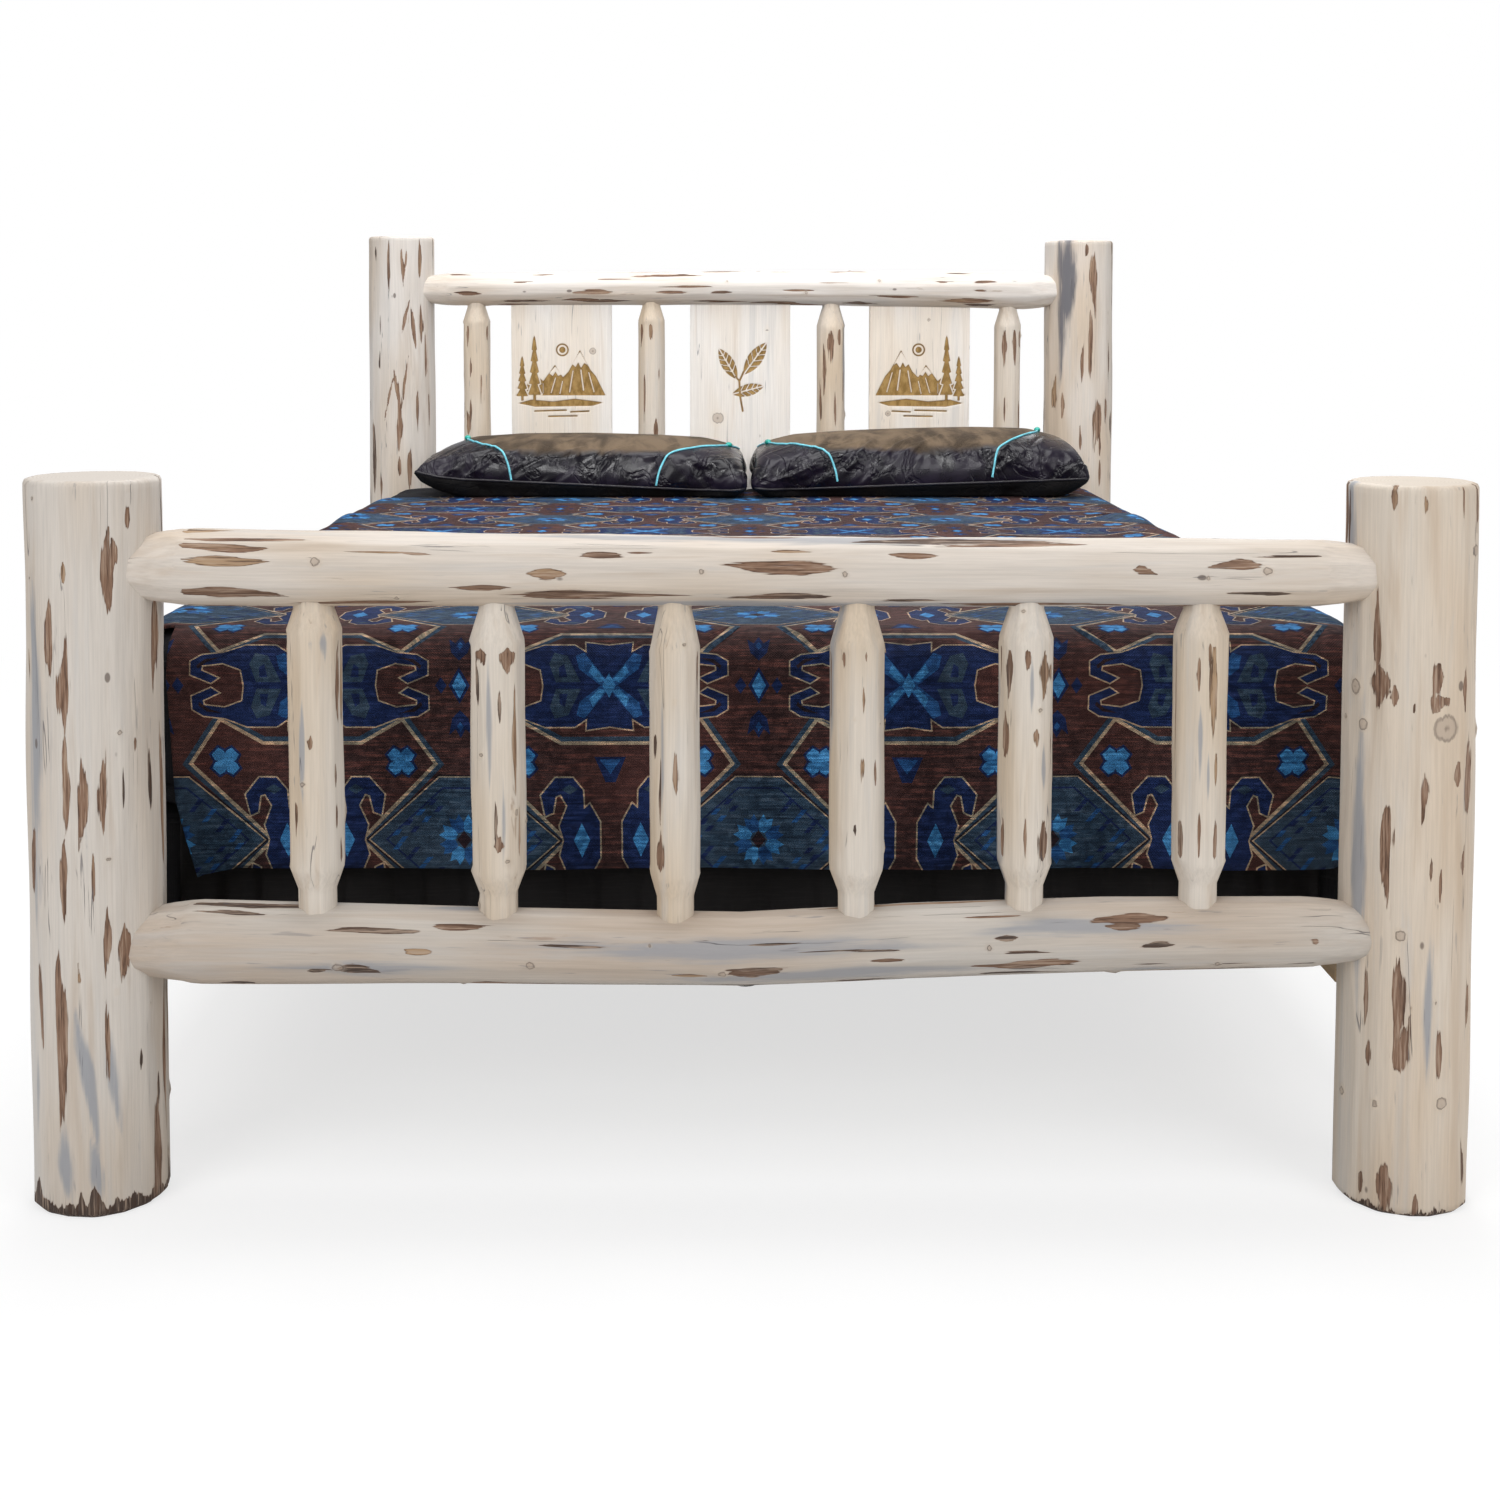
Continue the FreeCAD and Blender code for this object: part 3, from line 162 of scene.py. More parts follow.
# Marks that show on a log: side and along say where, and lengths are in millimetres. On a post or
# spindle, side is hundredths of the radius as seen from the foot and along is a height; on a rail,
# side is hundredths of the radius upwards and along is the place in X. Bark streaks are rows of
# (side, along, half width, half length, tone, slant). Tone goes from 0, tan, to 100, nearly black,
# and slant is how far the streak leans, in hundredths of its length.
streak_rows = {
    "foot_post_left": (
        (73, 798, 3.3, 20, 40), (46, 735, 8, 44, 50), (56, 757, 4, 24, 50), (-15, 739, 3.2, 15, 10),
        (-40, 655, 6, 45, 30), (-17, 599, 8, 54, 40), (-14, 496, 7, 62, 40), (11, 488, 7, 58, 40),
        (38, 482, 6, 52, 45), (64, 485, 2.2, 30, 80), (78, 543, 2.2, 14, 50), (97, 640, 4, 60, 50),
        (92, 490, 4, 50, 90), (-96, 520, 2.5, 30, 60), (-72, 415, 6, 45, 40), (-20, 400, 6, 52, 40),
        (-95, 333, 3.2, 85, 70), (-62, 245, 4.5, 62, 40), (-26, 235, 7.2, 110, 45),
        (2, 277, 2.6, 20, 10), (43, 320, 5.5, 46, 40), (40, 212, 3.8, 75, 40), (65, 311, 9, 32, 45),
        (80, 172, 3, 17, 80), (97, 128, 3.2, 25, 90), (-80, 630, 1.6, 30, 10), (25, 400, 1.6, 30, 20),
    ),
    "foot_post_right": (
        (-55, 821, 4.2, 22, 15), (-11, 815, 3.2, 22, 10), (52, 815, 1.3, 22, 50),
        (84, 808, 4.4, 33, 50), (97, 730, 3, 14, 60), (-68, 612, 12, 26, 45), (-74, 655, 4.6, 55, 50),
        (-52, 598, 5, 14, 40), (13, 621, 7.8, 21, 40), (17, 595, 12, 11, 45), (58.5, 608, 3.6, 32, 40),
        (-24, 587, 2.2, 8, 60), (-13, 548, 1.4, 38, 90), (-7, 492, 5, 36, 40), (70, 489, 7.2, 55, 40),
        (46, 507, 4.5, 15, 30), (-57, 435, 7, 75, 40), (60, 404, 4.8, 19, 30), (5, 402, 1.6, 19, 80),
        (20, 383, 1.8, 22, 50), (-35, 256, 9, 56, 55), (-33, 186, 9.2, 42, 50), (-79, 245, 3.2, 55, 40),
        (-75, 180, 4.5, 25, 50), (22, 186, 5.6, 38, 50), (76, 239, 3.3, 30, 30), (72, 46, 3.4, 35, 60),
        (-53, 36, 8.8, 34, 40), (-81, 33, 3.4, 18, 50), (-9, 12, 3.6, 14, 50), (93, 30, 3.4, 14, 60),
    ),
    "head_post_left": (
        (-70, 1149, 3, 27, 90), (-26, 1104, 4, 73, 55), (17, 1125, 3, 45, 35, -8),
        (27, 1125, 3, 45, 30, 12), (68, 1135, 5, 40, 35), (24, 1002, 4, 45, 35, 23),
        (48, 990, 5, 56, 30, -13), (71, 985, 5, 45, 40), (81, 902, 4, 50, 40), (87.5, 814, 2.5, 45, 50),
        (-55, 987.5, 2, 30, 80), (-57, 904, 3, 26, 95), (-26, 831, 3, 47, 40, 23),
        (-2, 846, 4, 47, 30, -15), (21, 857, 3.5, 58, 30, 12), (5.5, 760.5, 7, 70, 40),
        (5.5, 675, 3.5, 27, 50), (58, 803, 3.5, 66, 35), (34, 678, 5, 50, 50), (-80, 692, 7, 88, 80),
        (-55, 635.5, 4.5, 32, 70), (-95, 810, 2.5, 35, 90),
    ),
    "head_post_right": (
        (26, 1095, 8.5, 78, 30), (18, 953, 6, 88, 35), (7, 1155, 5, 15, 70), (-3, 902, 4, 58, 40),
        (94, 1044, 4, 50, 60), (80, 914, 3, 58, 60), (-92, 1061, 4, 47, 70), (-80, 823, 9, 47, 15),
        (-58, 811.5, 4, 31, 30), (45, 777.5, 13.5, 62, 35), (52, 721, 4, 32, 40), (71, 809, 4, 32, 40),
        (90, 772, 5, 41, 90), (52, 664, 4, 35, 50), (90, 647, 4, 34, 70), (-8, 729, 3.5, 32, 50),
    ),
    "foot_top_rail": (
        (59, -584, 5.6, 64, 35), (82, -596, 4.2, 80, 45), (25, -584, 7, 52, 10), (38, -600, 4, 30, 20),
        (-52, -597, 7.8, 70, 55), (-96, -599, 4, 60, 60), (57, -400, 2.8, 56, 10),
        (50, -375, 1.6, 20, 70), (-60, -215, 7.5, 100, 60), (-42, -302, 4.6, 36, 60),
        (53, -170, 5.2, 32, 45), (22, 48.5, 8.6, 64, 50), (57, 184, 5.6, 30, 45), (-64, 43, 6, 62, 80),
        (-77, 178, 3.4, 48, 80), (60, -130, 2, 20, 20), (66, 39, 2.2, 35, 10), (0, -228, 6.4, 24, 5),
        (21, 437, 5, 15, 50), (38, 550, 6.4, 30, 50), (59, 595, 2.2, 75, 90), (-53, 589, 3, 45, 90),
        (85, 300, 3, 100, 30), (-90, 350, 3, 120, 60), (-85, -420, 4, 90, 50),
    ),
    "foot_bottom_rail": (
        (-34, -454.5, 7.4, 27, 80), (-83, -580, 5.6, 28, 95), (-90, -634, 3.4, 20, 95),
        (90, -589, 3.4, 46, 80), (60, -423, 3.8, 70, 85), (70, -339, 4.2, 36, 60),
        (12, -378, 5, 19, 10), (-42, -496, 3, 18, 95), (-83, -302, 4, 20, 80), (-40, 0, 7.4, 34, 75),
        (-88, -24, 6.2, 42, 95), (-95, -91.5, 3.8, 28, 90), (-50, -71, 2.8, 26, 20),
        (-85, 118, 3.6, 38, 90), (-20, 156, 2.6, 30, 70), (28, 293, 4.4, 18, 95),
        (-42, 347, 5.8, 46, 30), (-55, 310, 4, 50, 60), (-78, 302, 3.8, 55, 80), (67, 436, 7.6, 54, 60),
        (50, 420, 5, 25, 60), (0, 463, 4.6, 25, 95), (2, 649.5, 4.8, 23, 60), (-65, 530, 1, 190, 100),
        (80, 277, 2.6, 55, 40), (-90, 550, 4, 100, 95), (-95, 220, 4, 100, 90), (30, -200, 2, 60, 80),
        (10, 120, 1.8, 70, 85), (-10, 300, 2, 50, 90), (40, 20, 1.6, 60, 80),
    ),
    "head_top_rail": (
        (-26, -606, 5.5, 34, 45), (-20, -318, 6.5, 52, 20), (-76, -502, 5, 35, 80),
        (-76, -463, 3, 45, 80), (-68, -357, 4.5, 48, 50), (76, -167, 5.5, 90, 60),
        (41, -492, 1.8, 25, 50), (86, -438, 2.5, 30, 60), (-26, -156, 3.5, 50, 60),
        (8, -118.5, 2.2, 72, 50), (-26, -39, 3.5, 32, 70), (-76, -301, 3.8, 58, 70),
        (95, -50, 2.5, 60, 60), (95, 89, 2.5, 35, 80), (-15, 123.5, 2.5, 42, 50),
        (-83, 263, 5.5, 50, 80), (-60, 508, 6, 75, 25), (-83, 531, 4.5, 40, 70), (90, 480, 2.5, 34, 80),
        (45, 540, 3.5, 30, 60), (42, 445.5, 2.5, 32, 60), (-5, 534, 2.5, 25, 50), (-80, -60, 4, 70, 60),
        (-85, 90, 4, 60, 70), (-45, 350, 3, 60, 35), (30, 200, 1.6, 60, 50), (55, -300, 1.8, 50, 40),
    ),
    "foot_spindle_1": (
        (0, 542, 3.6, 9.5, 30), (-60, 460, 2.2, 26, 30), (85, 455, 2.6, 30, 30), (82, 500, 2.8, 16, 70),
    ),
    "foot_spindle_2": (
        (48, 642, 10, 30, 35), (-50, 647, 8.8, 18, 30), (69, 540, 3.4, 75, 20), (-65, 603, 2.6, 30, 90),
        (17, 580, 2, 26, 90), (2, 455, 2.4, 36, 90), (10, 422, 5.6, 12, 60), (83, 430, 2.4, 45, 20),
    ),
    "foot_spindle_3": (
        (-80, 540, 3.6, 22, 70), (10, 500, 5, 30, 35), (25, 468, 1.8, 26, 50), (-58, 409, 5.2, 34, 60),
        (-57, 480, 1.8, 50, 80),
    ),
    "foot_spindle_4": (
        (-58, 639, 2.8, 14, 20), (27, 643, 1.8, 12, 30), (16, 516, 3.4, 27, 10), (63, 507, 2.2, 24, 40),
        (-13, 444, 2.6, 6, 90), (20, 590, 1.8, 20, 20),
    ),
    "foot_spindle_5": (
        (-72, 626, 5.2, 28, 60), (-7, 638, 3.2, 17, 35), (68, 620, 10.5, 30, 15), (27, 550, 4, 17, 20),
        (-84, 540, 5.6, 29, 45), (95, 540, 3, 40, 60), (60, 428, 8.2, 38, 50), (-10, 434, 2.4, 30, 20),
        (-88, 432, 3.6, 35, 40),
    ),
    "foot_spindle_6": (
        (25, 605, 6.2, 65, 15), (-30, 620, 2.4, 26, 20), (43, 429, 3.4, 42, 40),
        (-20, 444, 2.8, 40, 40), (-80, 428, 3.4, 38, 70), (40, 512, 2.4, 26, 20), (10, 650, 2, 18, 30),
    ),
    "head_spindle_1": (
        (-60, 970, 3.5, 30, 40), (-35, 893, 4, 30, 40), (-60, 762, 6, 30, 30), (-40, 800, 3, 26, 40),
        (82, 970, 3, 34, 40), (40, 860, 2, 50, 30),
    ),
    "head_spindle_2": (
        (-70, 976, 4, 28, 30), (0, 973, 4, 30, 20), (35, 753, 6, 24, 30), (-50, 840, 2.5, 60, 40),
        (60, 880, 2, 40, 50),
    ),
    "head_spindle_3": (
        (0, 950, 8.5, 45, 35), (-50, 890, 5, 60, 50), (-78, 810, 4, 65, 50), (55, 961, 5, 25, 50),
        (90, 860, 3, 45, 50), (30, 800, 3, 50, 40),
    ),
    "head_spindle_4": (
        (-36, 941.5, 6.5, 50, 40), (40, 953, 5.5, 43, 35), (85, 955, 3, 30, 40), (85, 790, 3.5, 35, 40),
        (-30, 800, 3, 40, 40),
    ),
}

# Knots: rows of (side, along, radius)
knot_rows = {
    "foot_post_left": (
        (73, 832, 2.8), (60, 557.5, 3), (45, 413, 3), (53, 260, 3), (90, 234, 2.8), (50, 61, 2.2),
        (-63, 820, 3), (-70, 730, 2.5),
    ),
    "foot_post_right": (
        (24, 563, 15), (-87, 561, 6), (85, 556, 6), (77, 761, 6), (-37, 326, 5.8), (29, 133, 6.8),
        (-66, 127, 4), (15, 250, 1.4),
    ),
    "foot_top_rail": (
        (28, -489, 5.2), (10, -55, 3.4), (5, 105, 3.2), (17, 580, 4.4), (-4, 513, 2.4), (-70, -400, 3),
    ),
    "foot_bottom_rail": (
        (-30, -469, 5.8), (-85, -328, 4), (-20, -250.5, 4.6), (-40, -33, 4.2), (35, -115, 2),
        (5, 270, 3.4), (-62, 532, 3.4),
    ),
    "head_top_rail": ((-26, 146, 4), (45, 309, 4), (40, -30, 3),),
    "foot_spindle_1": ((-28, 493, 3.6),),
    "foot_spindle_2": ((-50, 527, 2.8), (70, 460, 3.6), (43, 405, 2.8),),
    "foot_spindle_3": ((43, 652, 2.8), (3, 588, 2.4),),
    "foot_spindle_4": ((-15, 570, 2), (80, 560, 2.4),),
    "foot_spindle_5": ((40, 578, 3), (-30, 690, 2.4),),
}

# Grey-blue stains, in the same rows as the streaks
stain_rows = {
    "foot_post_left": (
        (12, 165, 9.5, 105, 0, -16), (45, 165, 12, 95, 0, -10), (-75, 145, 8, 80, 0, 0),
        (-25, 60, 15, 60, 0, -10), (25, 50, 12, 50, 0, -10), (-70, 550, 20, 250, 0, 0),
    ),
    "foot_post_right": ((-90, 400, 14, 250, 0, 0), (5, 240, 8, 120, 0, 0),),
    "head_post_right": ((-48.5, 1110, 32, 240, 0, 0),),
    "foot_bottom_rail": (
        (-30, -450, 18, 180, 0, 0), (20, -50, 22, 350, 0, 0), (-75, 454, 12, 70, 0, 0),
        (-50, 100, 16, 250, 0, 0), (50, 350, 16, 200, 0, 0),
    ),
    "foot_top_rail": ((95, 100, 12, 400, 0, 0), (-90, 0, 14, 500, 0, 0),),
    "foot_spindle_1": ((50, 655, 6, 22, 0, 0), (5, 655, 3, 16, 0, 0), (-30, 520, 4, 90, 0, 0),),
    "foot_spindle_2": ((-20, 560, 5, 110, 0, 0), (30, 470, 4, 80, 0, 0),),
    "foot_spindle_3": ((-45, 500, 4, 90, 0, 0),),
    "foot_spindle_5": ((55, 510, 4, 35, 0, 0), (10, 600, 4, 50, 0, 0),),
    "foot_spindle_6": ((-20, 550, 4, 60, 0, 0), (10, 500, 3, 50, 0, 0),),
}

# Side rails
side_rail_inner = 0.768
side_rail_low = 0.190
side_rail_high = 0.330
side_rail_thickness = 0.056
side_rail_end = 1.0487

# Headboard panels: middle in X, half width, middle in Y, half thickness
panel_middles = {"left": -0.3998, "centre": 0.0, "right": 0.4012}
panel_half_width = 0.112
panel_middle_y = 1.100
panel_half_thickness = 0.0095
engraving_depth = 0.0011
engraving_half = 0.098
engraving_middle_z = 0.872

# Bedding
foundation_half_width = 0.7575
foundation_foot = -0.985
foundation_head = 1.005
foundation_low = 0.2493
foundation_high = 0.4143
mattress_half_width = 0.760
mattress_foot = -1.000
mattress_head = 1.010
mattress_low = 0.4146
mattress_high = 0.6346
skirt_half_width = 0.6975
skirt_y = -0.9853
skirt_high = 0.4123
skirt_low = 0.2523
coverlet_top = 0.6429
coverlet_shoulder = 0.060
coverlet_flat_half = 0.716
coverlet_turn_y = -0.956
coverlet_hem = 0.355
coverlet_foot_left = -0.705
coverlet_foot_right = 0.748
coverlet_head_left = 0.665
coverlet_head_right = 0.930
coverlet_flare = 0.012
tile_width = 0.362
tile_height = 0.376
weave_start = (0.192, -1.054)

# Pillows: rows of (share of width, share of half depth, share of fullness, seam height share)
pillow_width = 0.684
pillow_half_depth = 0.202
pillow_middle_y = 0.8457
pillow_rest = 0.6432
pillow_rows = {
    "left": (
        (-0.329, 0.104),
        (
            (0.0, 0.97, 0.03, 0.54),
            (0.02, 1.0, 0.13, 0.51),
            (0.08, 1.0, 0.58, 0.42),
            (0.15, 0.99, 0.88, 0.36),
            (0.3, 0.97, 0.98, 0.31),
            (0.5, 0.96, 1.0, 0.25),
            (0.7, 0.965, 0.96, 0.19),
            (0.86, 0.985, 0.90, 0.15),
            (0.95, 1.0, 0.74, 0.15),
            (0.985, 0.99, 0.52, 0.17),
            (1.0, 0.95, 0.30, 0.19),
        ),
    ),
    "right": (
        (0.363, 0.117),
        (
            (0.0, 0.95, 0.28, 0.19),
            (0.015, 0.99, 0.48, 0.17),
            (0.05, 1.0, 0.70, 0.15),
            (0.14, 0.985, 0.85, 0.15),
            (0.3, 0.965, 0.92, 0.18),
            (0.5, 0.955, 0.97, 0.22),
            (0.7, 0.965, 1.0, 0.26),
            (0.86, 0.99, 0.97, 0.30),
            (0.95, 1.0, 0.78, 0.33),
            (0.985, 0.99, 0.52, 0.34),
            (1.0, 0.95, 0.28, 0.34),
        ),
    ),
}


# Settings a user may change
class LogBedWood(bpy.types.PropertyGroup):
    """Colours of the logs and boards"""

    bark: FloatVectorProperty(
        name="Bark",
        description="Colour of the inner bark that the drawknife left",
        default=(0.235, 0.135, 0.085), size=3, min=0, max=1, subtype="COLOR",
    )
    board: FloatVectorProperty(
        name="Board",
        description="Colour of the headboard panels",
        default=(0.83, 0.79, 0.745), size=3, min=0, max=1, subtype="COLOR",
    )
    ring_step: FloatProperty(
        name="Ring Spacing",
        description="Distance between the rings of a log's skin",
        default=0.0065, min=0.003, max=0.03, unit="LENGTH",
    )


class LogBedBedding(bpy.types.PropertyGroup):
    """Sizes of the bedding"""

    cloth_step: FloatProperty(
        name="Coverlet Spacing",
        description="Distance between the points of the coverlet's mesh",
        default=0.0185, min=0.006, max=0.05, unit="LENGTH",
    )
    coverlet_thickness: FloatProperty(
        name="Coverlet Thickness",
        description="Thickness of the woven coverlet",
        default=0.004, min=0.001, max=0.008, unit="LENGTH",
    )
    pleats: IntProperty(
        name="Skirt Pleats",
        description="Number of pleats along the foot skirt",
        default=27, min=8, max=60,
    )
    piping_radius: FloatProperty(
        name="Piping Radius",
        description="Radius of the turquoise piping on the pillows",
        default=0.0022, min=0.0005, max=0.01, unit="LENGTH",
    )
    seam_radius: FloatProperty(
        name="Seam Radius",
        description="Radius of the sewn edge round a pillow",
        default=0.0025, min=0.001, max=0.006, unit="LENGTH",
    )


class LogBedStage(bpy.types.PropertyGroup):
    """Floor and light of the stage"""

    floor: FloatVectorProperty(
        name="Floor",
        description="Colour of the floor",
        default=(0.82, 0.82, 0.82), size=3, min=0, max=1, subtype="COLOR",
    )
    lamp_power: FloatProperty(
        name="Lamp Power",
        description="Power that the shares of the four large lamps are taken from",
        default=88.0, min=0, max=2000, unit="POWER",
    )
    head_power: FloatProperty(
        name="Head Lamp",
        description="Power of the narrow lamp on the head end",
        default=4.6, min=0, max=500, unit="POWER",
    )


# Nodes
class Signal:
    """A number that changes over a surface; sums and products of signals become Math nodes."""

    def __init__(self, wiring, socket):
        self.wiring = wiring
        self.socket = socket

    def __add__(self, other):
        return self.wiring.math("ADD", self, other)

    def __sub__(self, other):
        return self.wiring.math("SUBTRACT", self, other)

    def __rsub__(self, other):
        return self.wiring.math("SUBTRACT", other, self)

    def __mul__(self, other):
        return self.wiring.math("MULTIPLY", self, other)

    __radd__ = __add__
    __rmul__ = __mul__


class Wiring:
    """Places and joins the nodes of one material or node group."""

    def __init__(self, tree):
        self.tree = tree

    def feed(self, socket, value):
        if isinstance(value, Signal):
            value = value.socket
        if isinstance(value, bpy.types.NodeSocket):
            self.tree.links.new(value, socket)
        else:
            socket.default_value = value

    def node(self, kind, inputs=None, **settings):
        made = self.tree.nodes.new(kind)
        for name, value in settings.items():
            setattr(made, name, value)
        for name, value in (inputs or {}).items():
            self.feed(made.inputs[name], value)
        return made

    def group(self, name, build, inputs):
        """The outputs of a shared group, which is built on its first use."""
        tree = bpy.data.node_groups.get(name) or build(name)
        return self.node("ShaderNodeGroup", inputs, node_tree=tree).outputs

    def math(self, operation, first, second=0.0):
        made = self.node("ShaderNodeMath", {0: first, 1: second}, operation=operation)
        return Signal(self, made.outputs[0])

    def step(self, value, low, high, start=0.0, end=1.0):
        """A smooth change from start to end while value goes from low to high."""
        inputs = {"Value": value, "From Min": low, "From Max": high, "To Min": start, "To Max": end}
        made = self.node("ShaderNodeMapRange", inputs, interpolation_type="SMOOTHSTEP")
        return Signal(self, made.outputs[0])

    def scaled(self, vector, scale):
        return self.node("ShaderNodeVectorMath", {0: vector, 1: scale}, operation="MULTIPLY").outputs[0]

    def noise(self, vector, scale, detail=2.0, roughness=0.5, distortion=0.0):
        inputs = {"Vector": self.scaled(vector, scale), "Scale": 1.0, "Detail": detail}
        inputs.update({"Roughness": roughness, "Distortion": distortion})
        return Signal(self, self.node("ShaderNodeTexNoise", inputs).outputs["Fac"])

    def mix(self, factor, first, second, blend="MIX"):
        inputs = {0: factor, 6: first, 7: second}
        return self.node("ShaderNodeMix", inputs, data_type="RGBA", blend_type=blend).outputs[2]

    def attribute(self, name, output="Fac"):
        return Signal(self, self.node("ShaderNodeAttribute", attribute_name=name).outputs[output])

    def place(self):
        return self.node("ShaderNodeTexCoord").outputs["Object"]

    def seen(self):
        """1 where a ray comes straight from the camera or through glass."""
        rays = self.node("ShaderNodeLightPath").outputs
        return self.math("MAXIMUM", rays["Is Camera Ray"], rays["Is Transmission Ray"])


def rgb(colour, share=1.0):
    """A colour with its alpha, made lighter or darker by share."""
    return tuple(min(1.0, part * share) for part in colour) + (1.0,)


def group_tree(name, inputs, outputs):
    """A shader group with named sockets: its wiring, its input sockets and its output node."""
    tree = bpy.data.node_groups.new(name, "ShaderNodeTree")
    for direction, rows in (("INPUT", inputs), ("OUTPUT", outputs)):
        for socket_name, (kind, *value) in rows.items():
            socket = tree.interface.new_socket(
                name=socket_name, in_out=direction, socket_type="NodeSocket" + kind
            )
            if value:
                socket.default_value = value[0]
    wiring = Wiring(tree)
    return wiring, wiring.node("NodeGroupInput").outputs, wiring.node("NodeGroupOutput")


def wood_group(name):
    """Peeled wood: fibres, bark left in streaks, pin knots, large knots, stains and checks."""
    inputs = {
        "Grain": ("Vector",), "Bark": ("Float", 0.0), "Knot": ("Float", 0.0), "Stain": ("Float", 0.0),
        "Wood": ("Color", (0.66, 0.60, 0.53, 1)), "Warm": ("Color", (0.62, 0.50, 0.38, 1)),
        "Grey": ("Color", (0.36, 0.37, 0.40, 1)), "Bark Colour": ("Color", (0.17, 0.085, 0.05, 1)),
        "Streaks": ("Float", 0.5), "Tone": ("Float", 0.5),
    }
    outputs = {"Color": ("Color",), "Roughness": ("Float",), "Height": ("Float",)}
    w, source, result = group_tree(name, inputs, outputs)
    grain, warm, bark_brown = source["Grain"], source["Warm"], source["Bark Colour"]
    fibre = w.noise(grain, (420.0, 420.0, 10.0), 3.0, 0.6)
    broad = w.noise(grain, (9.0, 9.0, 2.5))
    patch = w.noise(grain, (38.0, 38.0, 6.0), 4.0, 0.55, 0.4)
    ragged = w.noise(grain, (115.0, 115.0, 5.0), 4.0, 0.6, 0.4)
    colour = w.mix(w.step(broad, 0.38, 0.68), source["Wood"], warm)
    shade = w.step(fibre, 0.3, 0.7, 0.925, 1.035)
    combined = w.node("ShaderNodeCombineColor", {0: shade, 1: shade, 2: shade}).outputs[0]
    colour = w.mix(1.0, colour, combined, "MULTIPLY")
    band = w.noise(grain, (34.0, 34.0, 2.2), 4.0, 0.65, 0.4)
    dusk = w.mix(1.0, warm, (0.80, 0.74, 0.68, 1), "MULTIPLY")
    colour = w.mix(w.step(band, 0.50, 0.72, 0.0, 0.5), colour, dusk)
    colour = w.mix(w.step(band, 0.26, 0.46, 0.36, 0.0), colour, (0.50, 0.50, 0.50, 1))
    cloud = 1.6 * (patch - 0.5) + 0.9 * (fibre - 0.5) + 1.3 * (band - 0.5)
    colour = w.mix(w.step(cloud + source["Stain"], 0.05, 0.75, 0.0, 0.85), colour, source["Grey"])

    # Light tan streaks where the inner bark is nearly shaved away
    thin = w.noise(grain, (62.0, 62.0, 6.5), 5.0, 0.6, 0.5)
    limit = 0.79 - w.math("MULTIPLY", source["Streaks"], 0.16)
    tan_colour = w.mix(0.35, bark_brown, warm)
    colour = w.mix(w.step(thin - limit, 0.0, 0.05, 0.0, 0.7), colour, tan_colour)

    # Bark: a tan rim, then brown with darker fibres
    splinters = w.noise(grain, (240.0, 240.0, 5.5), 3.0, 0.6)
    flow = w.noise(grain, (52.0, 52.0, 9.0), 3.0, 0.6, 0.3)
    depth = 1.5 * (ragged - 0.5) + 1.1 * (flow - 0.5) + 1.5 * (splinters - 0.5) + source["Bark"]
    colour = w.mix(w.step(depth, -0.08, 0.02, 0.0, 0.45), colour, tan_colour)
    solid = w.step(depth, 0.01, 0.08)
    tone = 0.9 * (patch - 0.5) + source["Tone"]
    bark = w.mix(w.step(tone, 0.02, 0.34), (0.40, 0.265, 0.155, 1), bark_brown)
    bark = w.mix(w.step(tone, 0.48, 0.90, 0.0, 0.92), bark, (0.050, 0.036, 0.030, 1))
    bark = w.mix(0.55 * w.step(depth, 0.04, 0.26, 1.0, 0.0), bark, (0.105, 0.050, 0.029, 1))
    strands = w.noise(grain, (330.0, 330.0, 14.0), 3.0, 0.7)
    bark = w.mix(w.step(strands, 0.50, 0.64, 0.0, 0.62), bark, (0.47, 0.35, 0.26, 1))
    bark = w.mix(w.step(strands, 0.36, 0.48, 0.8, 0.0), bark, (0.070, 0.036, 0.022, 1))
    colour = w.mix(solid, colour, bark)

    # Large knots: a pale halo, a dark ring and a brown heart
    colour = w.mix(w.step(source["Knot"], 0.3, 0.64, 0.0, 0.35), colour, warm)
    wobble = 0.34 * (ragged - 0.5) + source["Knot"]
    colour = w.mix(w.step(wobble, 0.62, 0.74, 0.0, 0.55), colour, (0.40, 0.31, 0.24, 1))
    ring = w.step(wobble, 0.62, 0.67) * w.step(wobble, 0.68, 0.74, 1.0, 0.0)
    colour = w.mix(0.5 * ring, colour, (0.13, 0.095, 0.075, 1))
    colour = w.mix(w.step(wobble, 0.86, 0.97, 0.0, 0.55), colour, (0.12, 0.08, 0.06, 1))

    # Short grey dashes along the grain
    dash = w.step(w.noise(grain, (165.0, 165.0, 16.0), 2.0, 0.55), 0.66, 0.74) * w.step(broad, 0.42, 0.62)
    colour = w.mix(0.55 * dash, colour, (0.20, 0.19, 0.20, 1))

    # Pin knots, only in some cells
    cells = w.node("ShaderNodeTexVoronoi", {"Vector": w.scaled(grain, (22.0, 22.0, 12.0)), "Scale": 1.0})
    chance = w.node("ShaderNodeSeparateColor", {0: cells.outputs["Color"]}).outputs[0]
    pin = w.step(cells.outputs["Distance"], 0.055, 0.085, 1.0, 0.0) * w.math("GREATER_THAN", chance, 0.78)
    colour = w.mix(0.75 * pin, colour, (0.10, 0.065, 0.05, 1))

    # Drying checks, thin dark lines along the grain
    line = w.math("ABSOLUTE", w.noise(grain, (52.0, 52.0, 1.7), 2.0, 0.5, 0.3) - 0.5)
    check = w.step(line, 0.0015, 0.006, 1.0, 0.0) * w.step(patch, 0.56, 0.64)
    colour = w.mix(0.7 * check, colour, (0.13, 0.12, 0.13, 1))

